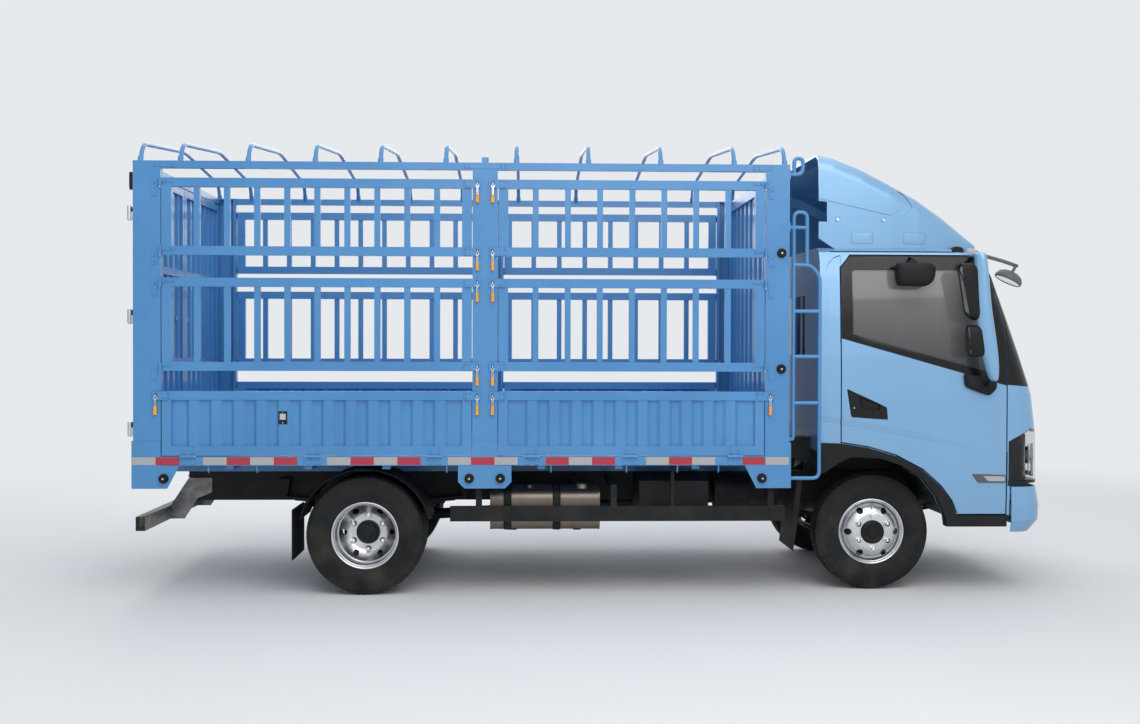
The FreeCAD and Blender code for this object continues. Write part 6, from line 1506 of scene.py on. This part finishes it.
# %% Door mirrors
FAIRING_LEVELS = (
    # height, back edge, front edge
    (1.402, 2.572, 2.596), (1.412, 2.551, 2.606), (1.477, 2.528, 2.613), (1.574, 2.503, 2.606), (1.655, 2.486, 2.596),
    (1.736, 2.472, 2.584), (1.816, 2.465, 2.571), (1.897, 2.459, 2.559), (1.980, 2.454, 2.551), (2.060, 2.450, 2.545),
    (2.140, 2.448, 2.537), (2.205, 2.448, 2.528), (2.229, 2.452, 2.520), (2.237, 2.466, 2.506))
FAIRING_SECTION = (
    # share of the width from back to front, distance from the truck's middle
    (0.00, 1.162), (0.03, 1.176), (0.16, 1.195), (0.40, 1.208), (0.66, 1.2145), (0.88, 1.208), (1.00, 1.190),
    (0.96, 1.170), (0.74, 1.157), (0.36, 1.152), (0.08, 1.153))
MIRROR_HEADS = (
    # middle (distance from the truck's middle, height), half width, half height, rim x, front x, lean of the foot
    ((1.143, 1.984), 0.056, 0.1865, 2.366, 2.512, 0.085),
    ((1.147, 1.664), 0.052, 0.1050, 2.417, 2.545, 0.022))
HEAD_STATIONS = ((0.0, 0.93), (0.02, 0.97), (0.10, 1.0), (0.42, 0.985), (0.70, 0.90), (0.90, 0.70), (1.0, 0.48))


def head_section(side, head, share, scale, shift=0.0):
    """One rounded-rectangle section of a mirror head, between its rim (share 0) and its front."""
    (middle_y, middle_z), half_y, half_z, rim_x, front_x, lean = head
    outline = rounded_loop(rectangle((-half_y, half_y), (-half_z, half_z)), 0.050, 5)
    section = []
    for a, b in outline:
        foot = max(0.0, (-b - half_z * 0.25) / (half_z * 0.75)) ** 1.6
        x = rim_x + (front_x - rim_x) * share + lean * foot * (1 - share) + shift
        section.append((x, side * (middle_y + a * scale), middle_z + b * (1 - (1 - scale) * 0.6)))
    return section


ARM_BASE = rounded_loop(((2.433, 1.452), (2.442, 1.362), (2.533, 1.326), (2.600, 1.303), (2.648, 1.352),
                         (2.648, 1.405), (2.560, 1.430)), 0.022, 4)
ARM = ((2.575, 1.045, 1.372), (2.572, 1.120, 1.400), (2.572, 1.172, 1.440), (2.552, 1.176, 1.640),
       (2.512, 1.176, 2.000), (2.498, 1.172, 2.204))
ARM_TOP = ((0.935, 2.214), (1.000, 2.215), (1.080, 2.209), (1.176, 2.203))
FAIRING_MIDDLE_Y = 1.182
for side_name, side in SIDES:
    door = "door_" + side_name
    bm = bmesh.new()
    sections = []
    for z, back, front in FAIRING_LEVELS:
        taper = min(1.0, (z - 1.398) / 0.03 + 0.45, (2.240 - z) / 0.03 + 0.45)
        sections.append([
            (back + share * (front - back), side * (FAIRING_MIDDLE_Y + (y - FAIRING_MIDDLE_Y) * taper), z)
            for share, y in FAIRING_SECTION])
    add_loft(bm, sections)
    fairing = make_piece(bm, "mirror_fairing_" + side_name, door, *CAB, smooth_angle=70.0)
    add_smoothing(fairing, 2)
    bm, glass = bmesh.new(), bmesh.new()
    for head in MIRROR_HEADS:
        sections = [head_section(side, head, 0.0, 0.84, 0.009), head_section(side, head, 0.0, 0.885, 0.0)]
        sections += [head_section(side, head, share, scale) for share, scale in HEAD_STATIONS]
        add_loft(bm, sections)
        add_loft(glass, [head_section(side, head, 0.0, 0.83, 0.0075), head_section(side, head, 0.0, 0.83, 0.0095)])
    add_layers(bm, ARM_BASE, ((1.006, 1.0), (1.046, 1.0), (1.056, 0.94), (1.060, 0.82)), side)
    add_tube(bm, rounded_path([(x, side * y, z) for x, y, z in ARM], 0.04), 0.0145)
    add_loft(bm, [rounded_bar(2.498, side * y, z, 0.016, 0.011) for y, z in ARM_TOP])
    heads = make_piece(bm, "mirror_heads_" + side_name, door, *PLASTIC, smooth_angle=50.0)
    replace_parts(heads, "door_mirror_" + side_name)
    make_piece(glass, "mirror_glass_" + side_name, door, *MIRROR)
print("mirror levels:", len(FAIRING_LEVELS))

# %% [markdown]
# Two more mirrors serve blind spots: a flat-topped one over the near door's window looks down at the kerb,
# and a round one on a bent arm looks down in front of the screen.

# %% Kerb mirror and front mirror
KERB_OUTLINE = ((1.973, 2.024), (2.171, 2.021), (2.218, 2.060), (2.228, 2.150), (2.190, 2.182), (1.971, 2.178),
                (1.958, 2.120))
KERB_STATIONS = ((-1.0400, 0.90), (-1.0365, 0.94), (-1.0440, 1.0), (-1.0720, 1.0), (-1.0980, 0.955), (-1.1130, 0.84),
                 (-1.1190, 0.62))
KERB_ARM = ((-1.060, 2.150), (-1.058, 2.196), (-1.000, 2.212), (-0.958, 2.214))
bm = bmesh.new()
kerb = rounded_loop(KERB_OUTLINE, 0.030, 4)
rim = [[(x, -1.0460, z) for x, z in shrunk(kerb, 0.89)]]
add_loft(bm, rim + [[(x, y, z) for x, z in shrunk(kerb, scale, scale ** 1.2)] for y, scale in KERB_STATIONS])
add_tube(bm, rounded_path([(2.086, y, z) for y, z in KERB_ARM], 0.03), 0.0105)
add_layers(bm, rounded_loop(rectangle((2.046, 2.102), (2.160, 2.190)), 0.008, 3),
           ((-1.048, 0.9), (-1.054, 1.0), (-1.086, 1.0), (-1.092, 0.9)))
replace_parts(make_piece(bm, "kerb_mirror_shell", "door_right", *PLASTIC, smooth_angle=50.0), "kerb_mirror")
bm = bmesh.new()
add_layers(bm, kerb, ((-1.0440, 0.885), (-1.0455, 0.885)))
make_piece(bm, "kerb_mirror_glass", "door_right", *MIRROR)

FRONT_HEAD = Matrix.Translation((2.796, -0.850, 2.092)) @ Matrix.Rotation(math.radians(27.0), 4, "Y") \
    @ Matrix.Rotation(math.radians(90.0), 4, "X")
bm = bmesh.new()
add_dish(bm, [(-0.020, 0.0), (-0.020, 0.080), (-0.026, 0.086), (-0.022, 0.092), (-0.004, 0.093), (0.022, 0.078),
              (0.038, 0.050), (0.044, 0.0)], FRONT_HEAD, 48)
add_loft(bm, [rounded_bar(x, y, z, half, 0.011) for x, y, z, half in (
    (2.575, -0.770, 2.236, 0.020), (2.600, -0.776, 2.252, 0.018), (2.660, -0.797, 2.238, 0.016),
    (2.760, -0.826, 2.206, 0.014), (2.846, -0.850, 2.172, 0.013))])
add_tube(bm, rounded_path([(2.838, -0.850, 2.176), (2.832, -0.850, 2.150), (2.812, -0.850, 2.128)], 0.02), 0.010)
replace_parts(make_piece(bm, "front_mirror_shell", "cab", *GREY, smooth_angle=50.0), "corner_mirror")
bm = bmesh.new()
add_dish(bm, [(-0.0225, 0.0), (-0.0225, 0.081), (-0.0205, 0.081), (-0.0205, 0.0)], FRONT_HEAD, 48)
make_piece(bm, "front_mirror_glass", "cab", *MIRROR)
print("blind spot mirrors: 2")

# %% [markdown]
# The door handle is a moulded black insert with a scooped finger hole and a lock. The insert is a face
# with a hole in it, filled by triangles between the two outlines. Extruding the inner edge makes the scoop.

# %% Door handles
HANDLE_OUTER = ((1.6605, 1.3455), (1.6900, 1.1625), (1.9295, 1.1460), (1.9215, 1.2235), (1.8690, 1.2495))
SCOOP = ((1.738, 1.296), (1.758, 1.216), (1.880, 1.206), (1.881, 1.243), (1.868, 1.251))
HANDLE_FACE_Y = 1.0212
HANDLE_BACK_Y = 1.0045
SCOOP_Y = 1.0070
LOCK_X = 1.707
LOCK_Z = 1.222
LOCK_RING = ((0.0, 0.0055), (0.0022, 0.0055), (0.0022, 0.0105), (0.0, 0.0118))
LOCK_BARREL = ((0.0, 0.0), (0.0012, 0.0), (0.0012, 0.0054), (0.0, 0.0054))


def add_ring_face(bm, outer, inner, y):
    """A flat face with a hole, at a distance y from the middle; returns the two loops of corners."""
    loops = [[bm.verts.new((x, y, z)) for x, z in outline] for outline in (outer, inner)]
    edges = [bm.edges.new(pair) for loop in loops for pair in zip(loop, loop[1:] + loop[:1])]
    bmesh.ops.triangle_fill(bm, edges=edges, use_beauty=True)
    return loops


def add_walls(bm, loop, outline, y):
    """Walls from a loop of corners to an outline at another depth; returns its corners."""
    far = [bm.verts.new((x, y, z)) for x, z in outline]
    join_rings(bm, [loop, far])
    return far


for side_name, side in SIDES:
    door = "door_" + side_name
    bm = bmesh.new()
    outer = rounded_loop(HANDLE_OUTER, 0.016, 4)
    inner = rounded_loop(SCOOP, 0.014, 4)
    outer_loop, inner_loop = add_ring_face(bm, shrunk(outer, 0.985), inner, side * HANDLE_FACE_Y)
    edge = add_walls(bm, outer_loop, outer, side * (HANDLE_FACE_Y - 0.0025))
    bm.faces.new(add_walls(bm, edge, outer, side * HANDLE_BACK_Y))
    floor_loop = add_walls(bm, inner_loop, shrunk(inner, 0.86), side * SCOOP_Y)
    bm.faces.new(floor_loop)
    lock = (LOCK_X, side * HANDLE_FACE_Y, LOCK_Z)
    add_turned(bm, LOCK_RING, lock, 24, side)
    make_piece(bm, "door_handle_" + side_name, door, *PLASTIC, smooth_angle=35.0)
    bm = bmesh.new()
    add_turned(bm, LOCK_BARREL, lock, 20, side)
    add_block(bm, (LOCK_X - 0.0008, LOCK_X + 0.0008), [side * (HANDLE_FACE_Y + a) for a in (0.0010, 0.0017)],
              (LOCK_Z - 0.0035, LOCK_Z + 0.0035))
    make_piece(bm, "door_lock_" + side_name, door, *ZINC)

TURN_BEZEL = rounded_loop(((2.492, 0.786), (2.534, 0.727), (2.719, 0.727), (2.719, 0.779)), 0.008, 3)
TURN_LENS = rounded_loop(((2.566, 0.773), (2.600, 0.738), (2.713, 0.738), (2.713, 0.769)), 0.007, 3)
for side_name, side in SIDES:
    door = "door_" + side_name
    bm = bmesh.new()
    add_layers(bm, TURN_BEZEL, ((1.012, 1.0), (1.0215, 1.0), (1.0245, 0.975), (1.0250, 0.90)), side)
    make_piece(bm, "turn_lamp_bezel_" + side_name, door, *GREY, smooth_angle=35.0)
    bm = bmesh.new()
    add_layers(bm, TURN_LENS, ((1.0210, 1.0), (1.0262, 1.0), (1.0280, 0.95), (1.0285, 0.82)), side)
    make_piece(bm, "turn_lamp_lens_" + side_name, door, *PEARL, smooth_angle=35.0)
print("handles and side lamps:", 2 * len(SIDES))

# %% [markdown]
# The roof deflector carries two screws in its channel, and two lids over its feet. A lid is a skin of the
# deflector itself, cut to a rounded rectangle and lifted by less than a millimetre, and a black sheet a little
# larger lies under it as painted shade in the gap, so that only its outline shows. A thinner skin lies over the
# crown and keeps its long curve smooth in the light. Along the roof edge below it runs a black rubber strip,
# which also stands as painted shade for the gap under the deflector, and its front end is held in a bracket.

# %% Deflector details and roof edge
DEFLECTOR_LIDS = (
    # rear and front end, foot and top
    ((1.711, 1.857), (2.312, 2.388)), ((2.069, 2.215), (2.312, 2.386)))
DEFLECTOR_SCREWS = ((1.618, 2.474), (1.929, 2.4725))
SCREW_CUP = ((-0.004, 0.0), (-0.004, 0.0190), (0.0016, 0.0190), (0.0036, 0.0160), (0.0016, 0.0125), (0.0016, 0.0))
ROOF_EDGE_Z = 2.2555
ROOF_EDGE_XS = [1.560 + i * 0.0365 for i in range(24)]
EDGE_PARTS = (
    # corners, radius, layers
    (((2.384, 2.240), (2.462, 2.240), (2.458, 2.284), (2.440, 2.293), (2.402, 2.296), (2.384, 2.270)), 0.010,
     ((0.865, 0.9), (0.870, 1.0), (0.925, 1.0), (0.932, 0.9))),
    (((2.560, 2.228), (2.618, 2.215), (2.612, 2.262), (2.585, 2.275), (2.562, 2.268)), 0.010,
     ((0.740, 0.9), (0.745, 1.0), (0.798, 1.0), (0.803, 0.9))))
ROOF_MARKER = rounded_loop(
    ((2.486, 2.252), (2.584, 2.236), (2.584, 2.262), (2.560, 2.276), (2.498, 2.292)), 0.012, 4)
for side_name, side in SIDES:
    for i, lid_box in enumerate(DEFLECTOR_LIDS):
        outline = rounded_loop(rectangle(*lid_box), 0.014, 4)
        lid = "deflector_lid_" + str(i + 1) + "_" + side_name
        # A black sheet a little larger than the lid lies just under it: painted shade in the gap round the lid.
        add_skin("roof_deflector", lid + "_gap", shrunk(outline, 1.018, 1.035), outer_side(side), 0.0004, 0.002,
                 "cab", *PAINTED_GAP_SHADE)
        add_skin("roof_deflector", lid, outline, outer_side(side), 0.0010, 0.002, "cab", *CAB)
add_skin("roof_deflector", "deflector_top_skin", rectangle((1.40, 2.70), (2.20, 2.95)), lambda n,
         p: n.z > 0.62 and abs(n.y) < 0.12, 0.0001, 0.0006, "cab", *CAB)
cups, screws, strips_and_gap_shade, markers = (bmesh.new() for _ in range(4))
for _, side in SIDES:
    for x, z in DEFLECTOR_SCREWS:
        y = side_y("roof_deflector", x, z, side)
        add_turned(cups, SCREW_CUP, (x, y, z), 28, side)
        add_bolt(screws, (x, y + side * 0.0010, z), (0, side, 0), 0.0062)
    # A black rubber strip along the roof edge, which also paints the shade of the gap under the deflector.
    edge = [(x, side_y("cab_shell", x, ROOF_EDGE_Z, side), ROOF_EDGE_Z) for x in ROOF_EDGE_XS]
    add_tube(strips_and_gap_shade, edge, 0.0052, 10)
    for corners, radius, layers in EDGE_PARTS:
        add_layers(strips_and_gap_shade, rounded_loop(corners, radius, 3), layers, side)
    add_layers(markers, ROOF_MARKER, (
        (0.846, 0.72), (0.852, 0.94), (0.862, 1.0), (0.886, 1.0), (0.896, 0.94), (0.902, 0.72)), side)
make_piece(cups, "deflector_screw_cups", "cab", *CAB)
make_piece(screws, "deflector_screws", "cab", *ZINC)
make_piece(strips_and_gap_shade, "roof_edge_strips", "cab", "rubber", black_plastic, smooth_angle=45.0)
make_piece(markers, "roof_marker_lamps", "cab", *PEARL, smooth_angle=50.0)
print("deflector lids:", 2 * len(DEFLECTOR_LIDS))

# %% [markdown]
# The gates are held by slotted tabs that slip over staples on the middle post. A bright steel lever with an
# orange grip hangs at each one. The working model carries the plain form of each lever in the gate itself,
# so the steel and the grip are close-fitting sleeves that ride on the same gate.

# %% Latches
TAB_FACE_Y = 1.131
POST_FACE_Y = 1.120
GATE_ROWS = {"gate_upper": (2.667, 2.231), "gate_lower": (2.029, 1.490)}
BOARD_LATCH_Z = 1.301
MID_LATCH_X = {"rear": -0.769, "front": -0.670}
END_LATCH_X = {"rear": -2.821, "front": 1.129}
MID_STILE_X = {"rear": -0.806, "front": -0.633}
END_STILE_X = {"rear": -2.784, "front": 1.092}
LEVER_EYE = ((0.0, 0.0062), (0.007, 0.0062), (0.007, 0.0112), (0.0, 0.0112))
LEVER_TOP = 0.019
LEVER_PARTS = (
    # shank, black block that paints the shade in the slot, and grip: half width, inner and outer face, lower and
    # upper end
    (0.0058, 1.1304, 1.1397, -0.0600, 0.0006), (0.0019, 1.1385, 1.1401, -0.0460, -0.0100),
    (0.0092, 1.1283, 1.1438, -0.1017, -0.0484))
TAB_RIVETS = [(x, z) for z in (-0.015, 0.015) for x in (0.012, 0.036)]
STAPLE_FACE_Y = 1.1388
STAPLE_HALF = 0.0075


def add_lever(steel, grip, dark, x, z, side):
    """The steel shank, a black block that paints the shade in its slot, and the grip of one latch."""
    top = z - LEVER_TOP
    for mesh, (half, inner, outer, low, high) in zip((steel, dark, grip), LEVER_PARTS):
        add_block(mesh, (x - half, x + half), (side * inner, side * outer), (top + low, top + high))
    add_turned(steel, LEVER_EYE, (x, side * (TAB_FACE_Y + 0.0003), top + 0.004), 20, side)


def add_latch(steel, grip, dark, rivets, column_x, stile_x, z, side):
    """A whole latch: the lever and the two rivets of its tab."""
    add_lever(steel, grip, dark, column_x, z, side)
    away = 1.0 if column_x > stile_x else -1.0
    for step_x, step_z in TAB_RIVETS:
        add_rivet(rivets, (stile_x - away * step_x, side * TAB_FACE_Y, z + step_z), (0, side, 0), 0.0052)


for side_name, side in SIDES:
    for bay in ("rear", "front"):
        for kind in ("gate_upper", "gate_lower", "board"):
            body = kind + "_" + bay + "_" + side_name
            steel, grip, dark, rivets = (bmesh.new() for _ in range(4))
            if kind == "board":
                add_latch(steel, grip, dark, rivets, MID_LATCH_X[bay], MID_STILE_X[bay], BOARD_LATCH_Z, side)
                add_latch(steel, grip, dark, rivets, END_LATCH_X[bay], END_STILE_X[bay], BOARD_LATCH_Z, side)
            else:
                for z in GATE_ROWS[kind]:
                    add_latch(steel, grip, dark, rivets, MID_LATCH_X[bay], MID_STILE_X[bay], z, side)
            make_piece(steel, "latch_steel_" + body, body, *STEEL, 0.0006)
            make_piece(grip, "latch_grips_" + body, body, "black_plastic", grip_yellow, 0.0008)
            # The slot is a black block on the lever's face: painted shade where the slot would be dark.
            make_piece(dark, "latch_slots_" + body, body, *PAINTED_GAP_SHADE)
            make_piece(rivets, "latch_rivets_" + body, body, *BODY)

bm = bmesh.new()
for side_name, side in SIDES:
    staples = [(x, z) for x in MID_LATCH_X.values() for rows in GATE_ROWS.values() for z in rows]
    staples += [(x, BOARD_LATCH_Z) for x in list(MID_LATCH_X.values()) + list(END_LATCH_X.values())]
    for x, z in staples:
        low, high = z - STAPLE_HALF, z + STAPLE_HALF
        hoop = ((POST_FACE_Y, low), (STAPLE_FACE_Y, low), (STAPLE_FACE_Y, high), (POST_FACE_Y, high))
        add_tube(bm, rounded_path([(x, side * a, b) for a, b in hoop], 0.006, 4), 0.0052, 12)
make_piece(bm, "latch_staples", "root", *ZINC)
print("latches:", 2 * (2 * 4 + 4))

# %% [markdown]
# A stake gate hangs on lift-off hinges: a pin on the post, and an eye on the gate that drops over it. The
# drop boards have three-part hinges on the deck rail. Folded eyes look round in the light, so each one is
# sleeved with a turned tube, and the straps get their rivets and the plates below them.

# %% Hinges
HINGE_Y = 1.132
EYE_RADIUS = 0.0103
EYE_HALF = 0.021
STRAP_FACE_Y = 1.125
PLATE_FACE_Y = 1.1245
LEAF_FACE_Y = 1.124
HINGE_X = {"rear": -2.790, "front": 1.098}
BOARD_HINGE_Z = 0.912
BOARD_HINGE_THIRD = 0.030
BOARD_HINGE_XS = {"rear": (-2.615, -1.822, -1.043), "front": (-0.417, 0.219, 0.903)}
post_eyes, pins = bmesh.new(), bmesh.new()
for side_name, side in SIDES:
    y = side * HINGE_Y
    for bay in ("rear", "front"):
        x = HINGE_X[bay]
        toward = 1.0 if bay == "rear" else -1.0
        for kind, rows in GATE_ROWS.items():
            body = kind + "_" + bay + "_" + side_name
            bm = bmesh.new()
            for z in rows:
                add_rod(bm, (x, y, z + 0.0003), (x, y, z + EYE_HALF), EYE_RADIUS)
                add_rod(bm, (x, y, z + EYE_HALF), (x, y, z + EYE_HALF + 0.004), 0.0075, 0.004)
                for reach in (0.034, 0.064):
                    add_rivet(bm, (x + toward * reach, side * STRAP_FACE_Y, z + 0.0105), (0, side, 0), 0.0055)
                add_rod(post_eyes, (x, y, z - EYE_HALF), (x, y, z - 0.0003), EYE_RADIUS)
                add_rod(pins, (x, y, z - EYE_HALF - 0.012), (x, y, z - EYE_HALF), 0.0042)
                add_block(post_eyes, (x - toward * 0.058, x - toward * 0.022),
                          (side * POST_FACE_Y, side * PLATE_FACE_Y), (z - 0.088, z - 0.020))
                for drop in (0.036, 0.072):
                    add_rivet(post_eyes, (x - toward * 0.040, side * PLATE_FACE_Y, z - drop), (0, side, 0), 0.0055)
                add_rivet(post_eyes, (x - toward * 0.036, side * STRAP_FACE_Y, z - 0.0105), (0, side, 0), 0.0055)
            make_piece(bm, "hinge_eyes_" + body, body, *BODY)
        bm = bmesh.new()
        for x in BOARD_HINGE_XS[bay]:
            half = BOARD_HINGE_THIRD / 2
            add_rod(bm, (x - half + 0.0004, y, BOARD_HINGE_Z), (x + half - 0.0002, y, BOARD_HINGE_Z), EYE_RADIUS)
            for step in (-0.018, 0.018):
                add_rivet(bm, (x + step, side * LEAF_FACE_Y, BOARD_HINGE_Z + 0.040), (0, side, 0), 0.0048)
            for start in (x - 3 * half, x + half + 0.0003):
                end = start + 2 * half - 0.0003
                add_rod(post_eyes, (start, y, BOARD_HINGE_Z), (end, y, BOARD_HINGE_Z), EYE_RADIUS)
                add_rivet(post_eyes, (start + half, side * LEAF_FACE_Y, BOARD_HINGE_Z - 0.026), (0, side, 0), 0.0044)
            for end, out in ((x - 3 * half, -1.0), (x + 3 * half, 1.0)):
                add_rod(pins, (end, y, BOARD_HINGE_Z), (end + out * 0.004, y, BOARD_HINGE_Z), 0.0062, 0.0048)
        body = "board_" + bay + "_" + side_name
        make_piece(bm, "hinge_eyes_" + body, body, *BODY)
make_piece(post_eyes, "hinge_eyes_on_posts", "root", *BODY)
make_piece(pins, "hinge_pins", "root", *ZINC)
print("hinges:", 2 * (2 * 4 + 6))

# %% [markdown]
# Rubber studs stop the open boards and gates from hitting the posts. They are turned with a dished face
# round a bolt. The roof rails are joined to the posts by riveted fishplates, small rope hooks hang under
# the deck rail, and a weld bead closes the sleeve at the foot of each post. Each rear board has a lock.

# %% Studs, fishplates, rope hooks and locks
SLEEVE_FACE_Y = 1.1243
STUD_PLACES = (
    [(x, 0.770, SLEEVE_FACE_Y, 0.0267) for x in (-2.770, -0.8195, -0.6195, 1.078)]
    + [(1.202, z, 1.1203, 0.0187) for z in (2.231, 1.479)])
studs, bolts = bmesh.new(), bmesh.new()
for side_name, side in SIDES:
    for x, z, face_y, length in STUD_PLACES:
        profile = [(0.0, 0.0308), (length * 0.25, 0.0308), (length * 0.3, 0.0288), (length * 0.8, 0.0283),
                   (length, 0.0258), (length, 0.0170), (length - 0.004, 0.0130), (length - 0.004, 0.0), (0.0, 0.0)]
        add_turned(studs, profile, (x, side * face_y, z), 28, side)
        add_bolt(bolts, (x, side * (face_y + length - 0.004), z), (0, side, 0), 0.0072)
make_piece(studs, "rubber_stud_faces", "root", *RUBBER)
make_piece(bolts, "stud_bolts", "root", *ZINC)

RAIL_JOINTS = ((-2.835, -2.700), (-0.865, -0.575), (1.010, 1.140))
FISHPLATE_FACE_Y = 1.1228
HOOK_XS = (-2.49, -2.18, -0.965, -0.292, 0.198, 0.529, 0.797)
HOOK = ((1.110, 0.856), (1.110, 0.812), (1.086, 0.806), (1.082, 0.822))
WELDS = (
    # rear and front end, height
    (-2.9655, -2.7895, 1.012), (-0.8005, -0.6385, 1.012), (1.0975, 1.2545, 1.000))
bm = bmesh.new()
for _, side in SIDES:
    for x0, x1 in RAIL_JOINTS:
        add_block(bm, (x0, x1), (side * POST_FACE_Y, side * FISHPLATE_FACE_Y), (2.764, 2.797))
        for x in (x0 + 0.015, x0 + 0.042, x1 - 0.042, x1 - 0.015):
            for z in (2.773, 2.789):
                add_rivet(bm, (x, side * FISHPLATE_FACE_Y, z), (0, side, 0), 0.0052)
    for x in HOOK_XS:
        add_tube(bm, rounded_path([(x, side * y, z) for y, z in HOOK], 0.014, 5), 0.0048, 10)
    for x0, x1, z in WELDS:
        add_tube(bm, [(x0, side * 1.1225, z), (x1, side * 1.1225, z)], 0.0022, 8)
make_piece(bm, "fishplates_and_hooks", "root", *BODY, 0.0006)

BOARD_LOCK_X = -2.015
LOCK_PLATE_Z = (1.118, 1.202)
for side_name, side in SIDES:
    body = "board_rear_" + side_name
    bm = bmesh.new()
    add_block(bm, (BOARD_LOCK_X - 0.029, BOARD_LOCK_X + 0.029), (side * 1.104, side * 1.1185), LOCK_PLATE_Z)
    make_piece(bm, "lock_plate_" + side_name, body, *GLOSS, 0.003)
    bm = bmesh.new()
    add_block(bm, (BOARD_LOCK_X - 0.019, BOARD_LOCK_X + 0.019), (side * 1.1180, side * 1.1196), (1.148, 1.186))
    add_turned(bm, [(0.0, 0.0045), (0.003, 0.0045), (0.003, 0.0125), (0.0, 0.0125)],
               (BOARD_LOCK_X, side * 1.1194, 1.166), 24, side)
    for z in (1.128, 1.193):
        add_rivet(bm, (BOARD_LOCK_X, side * 1.1183, z), (0, side, 0), 0.0042)
    make_piece(bm, "lock_face_" + side_name, body, *ZINC)
print("studs:", 2 * len(STUD_PLACES))
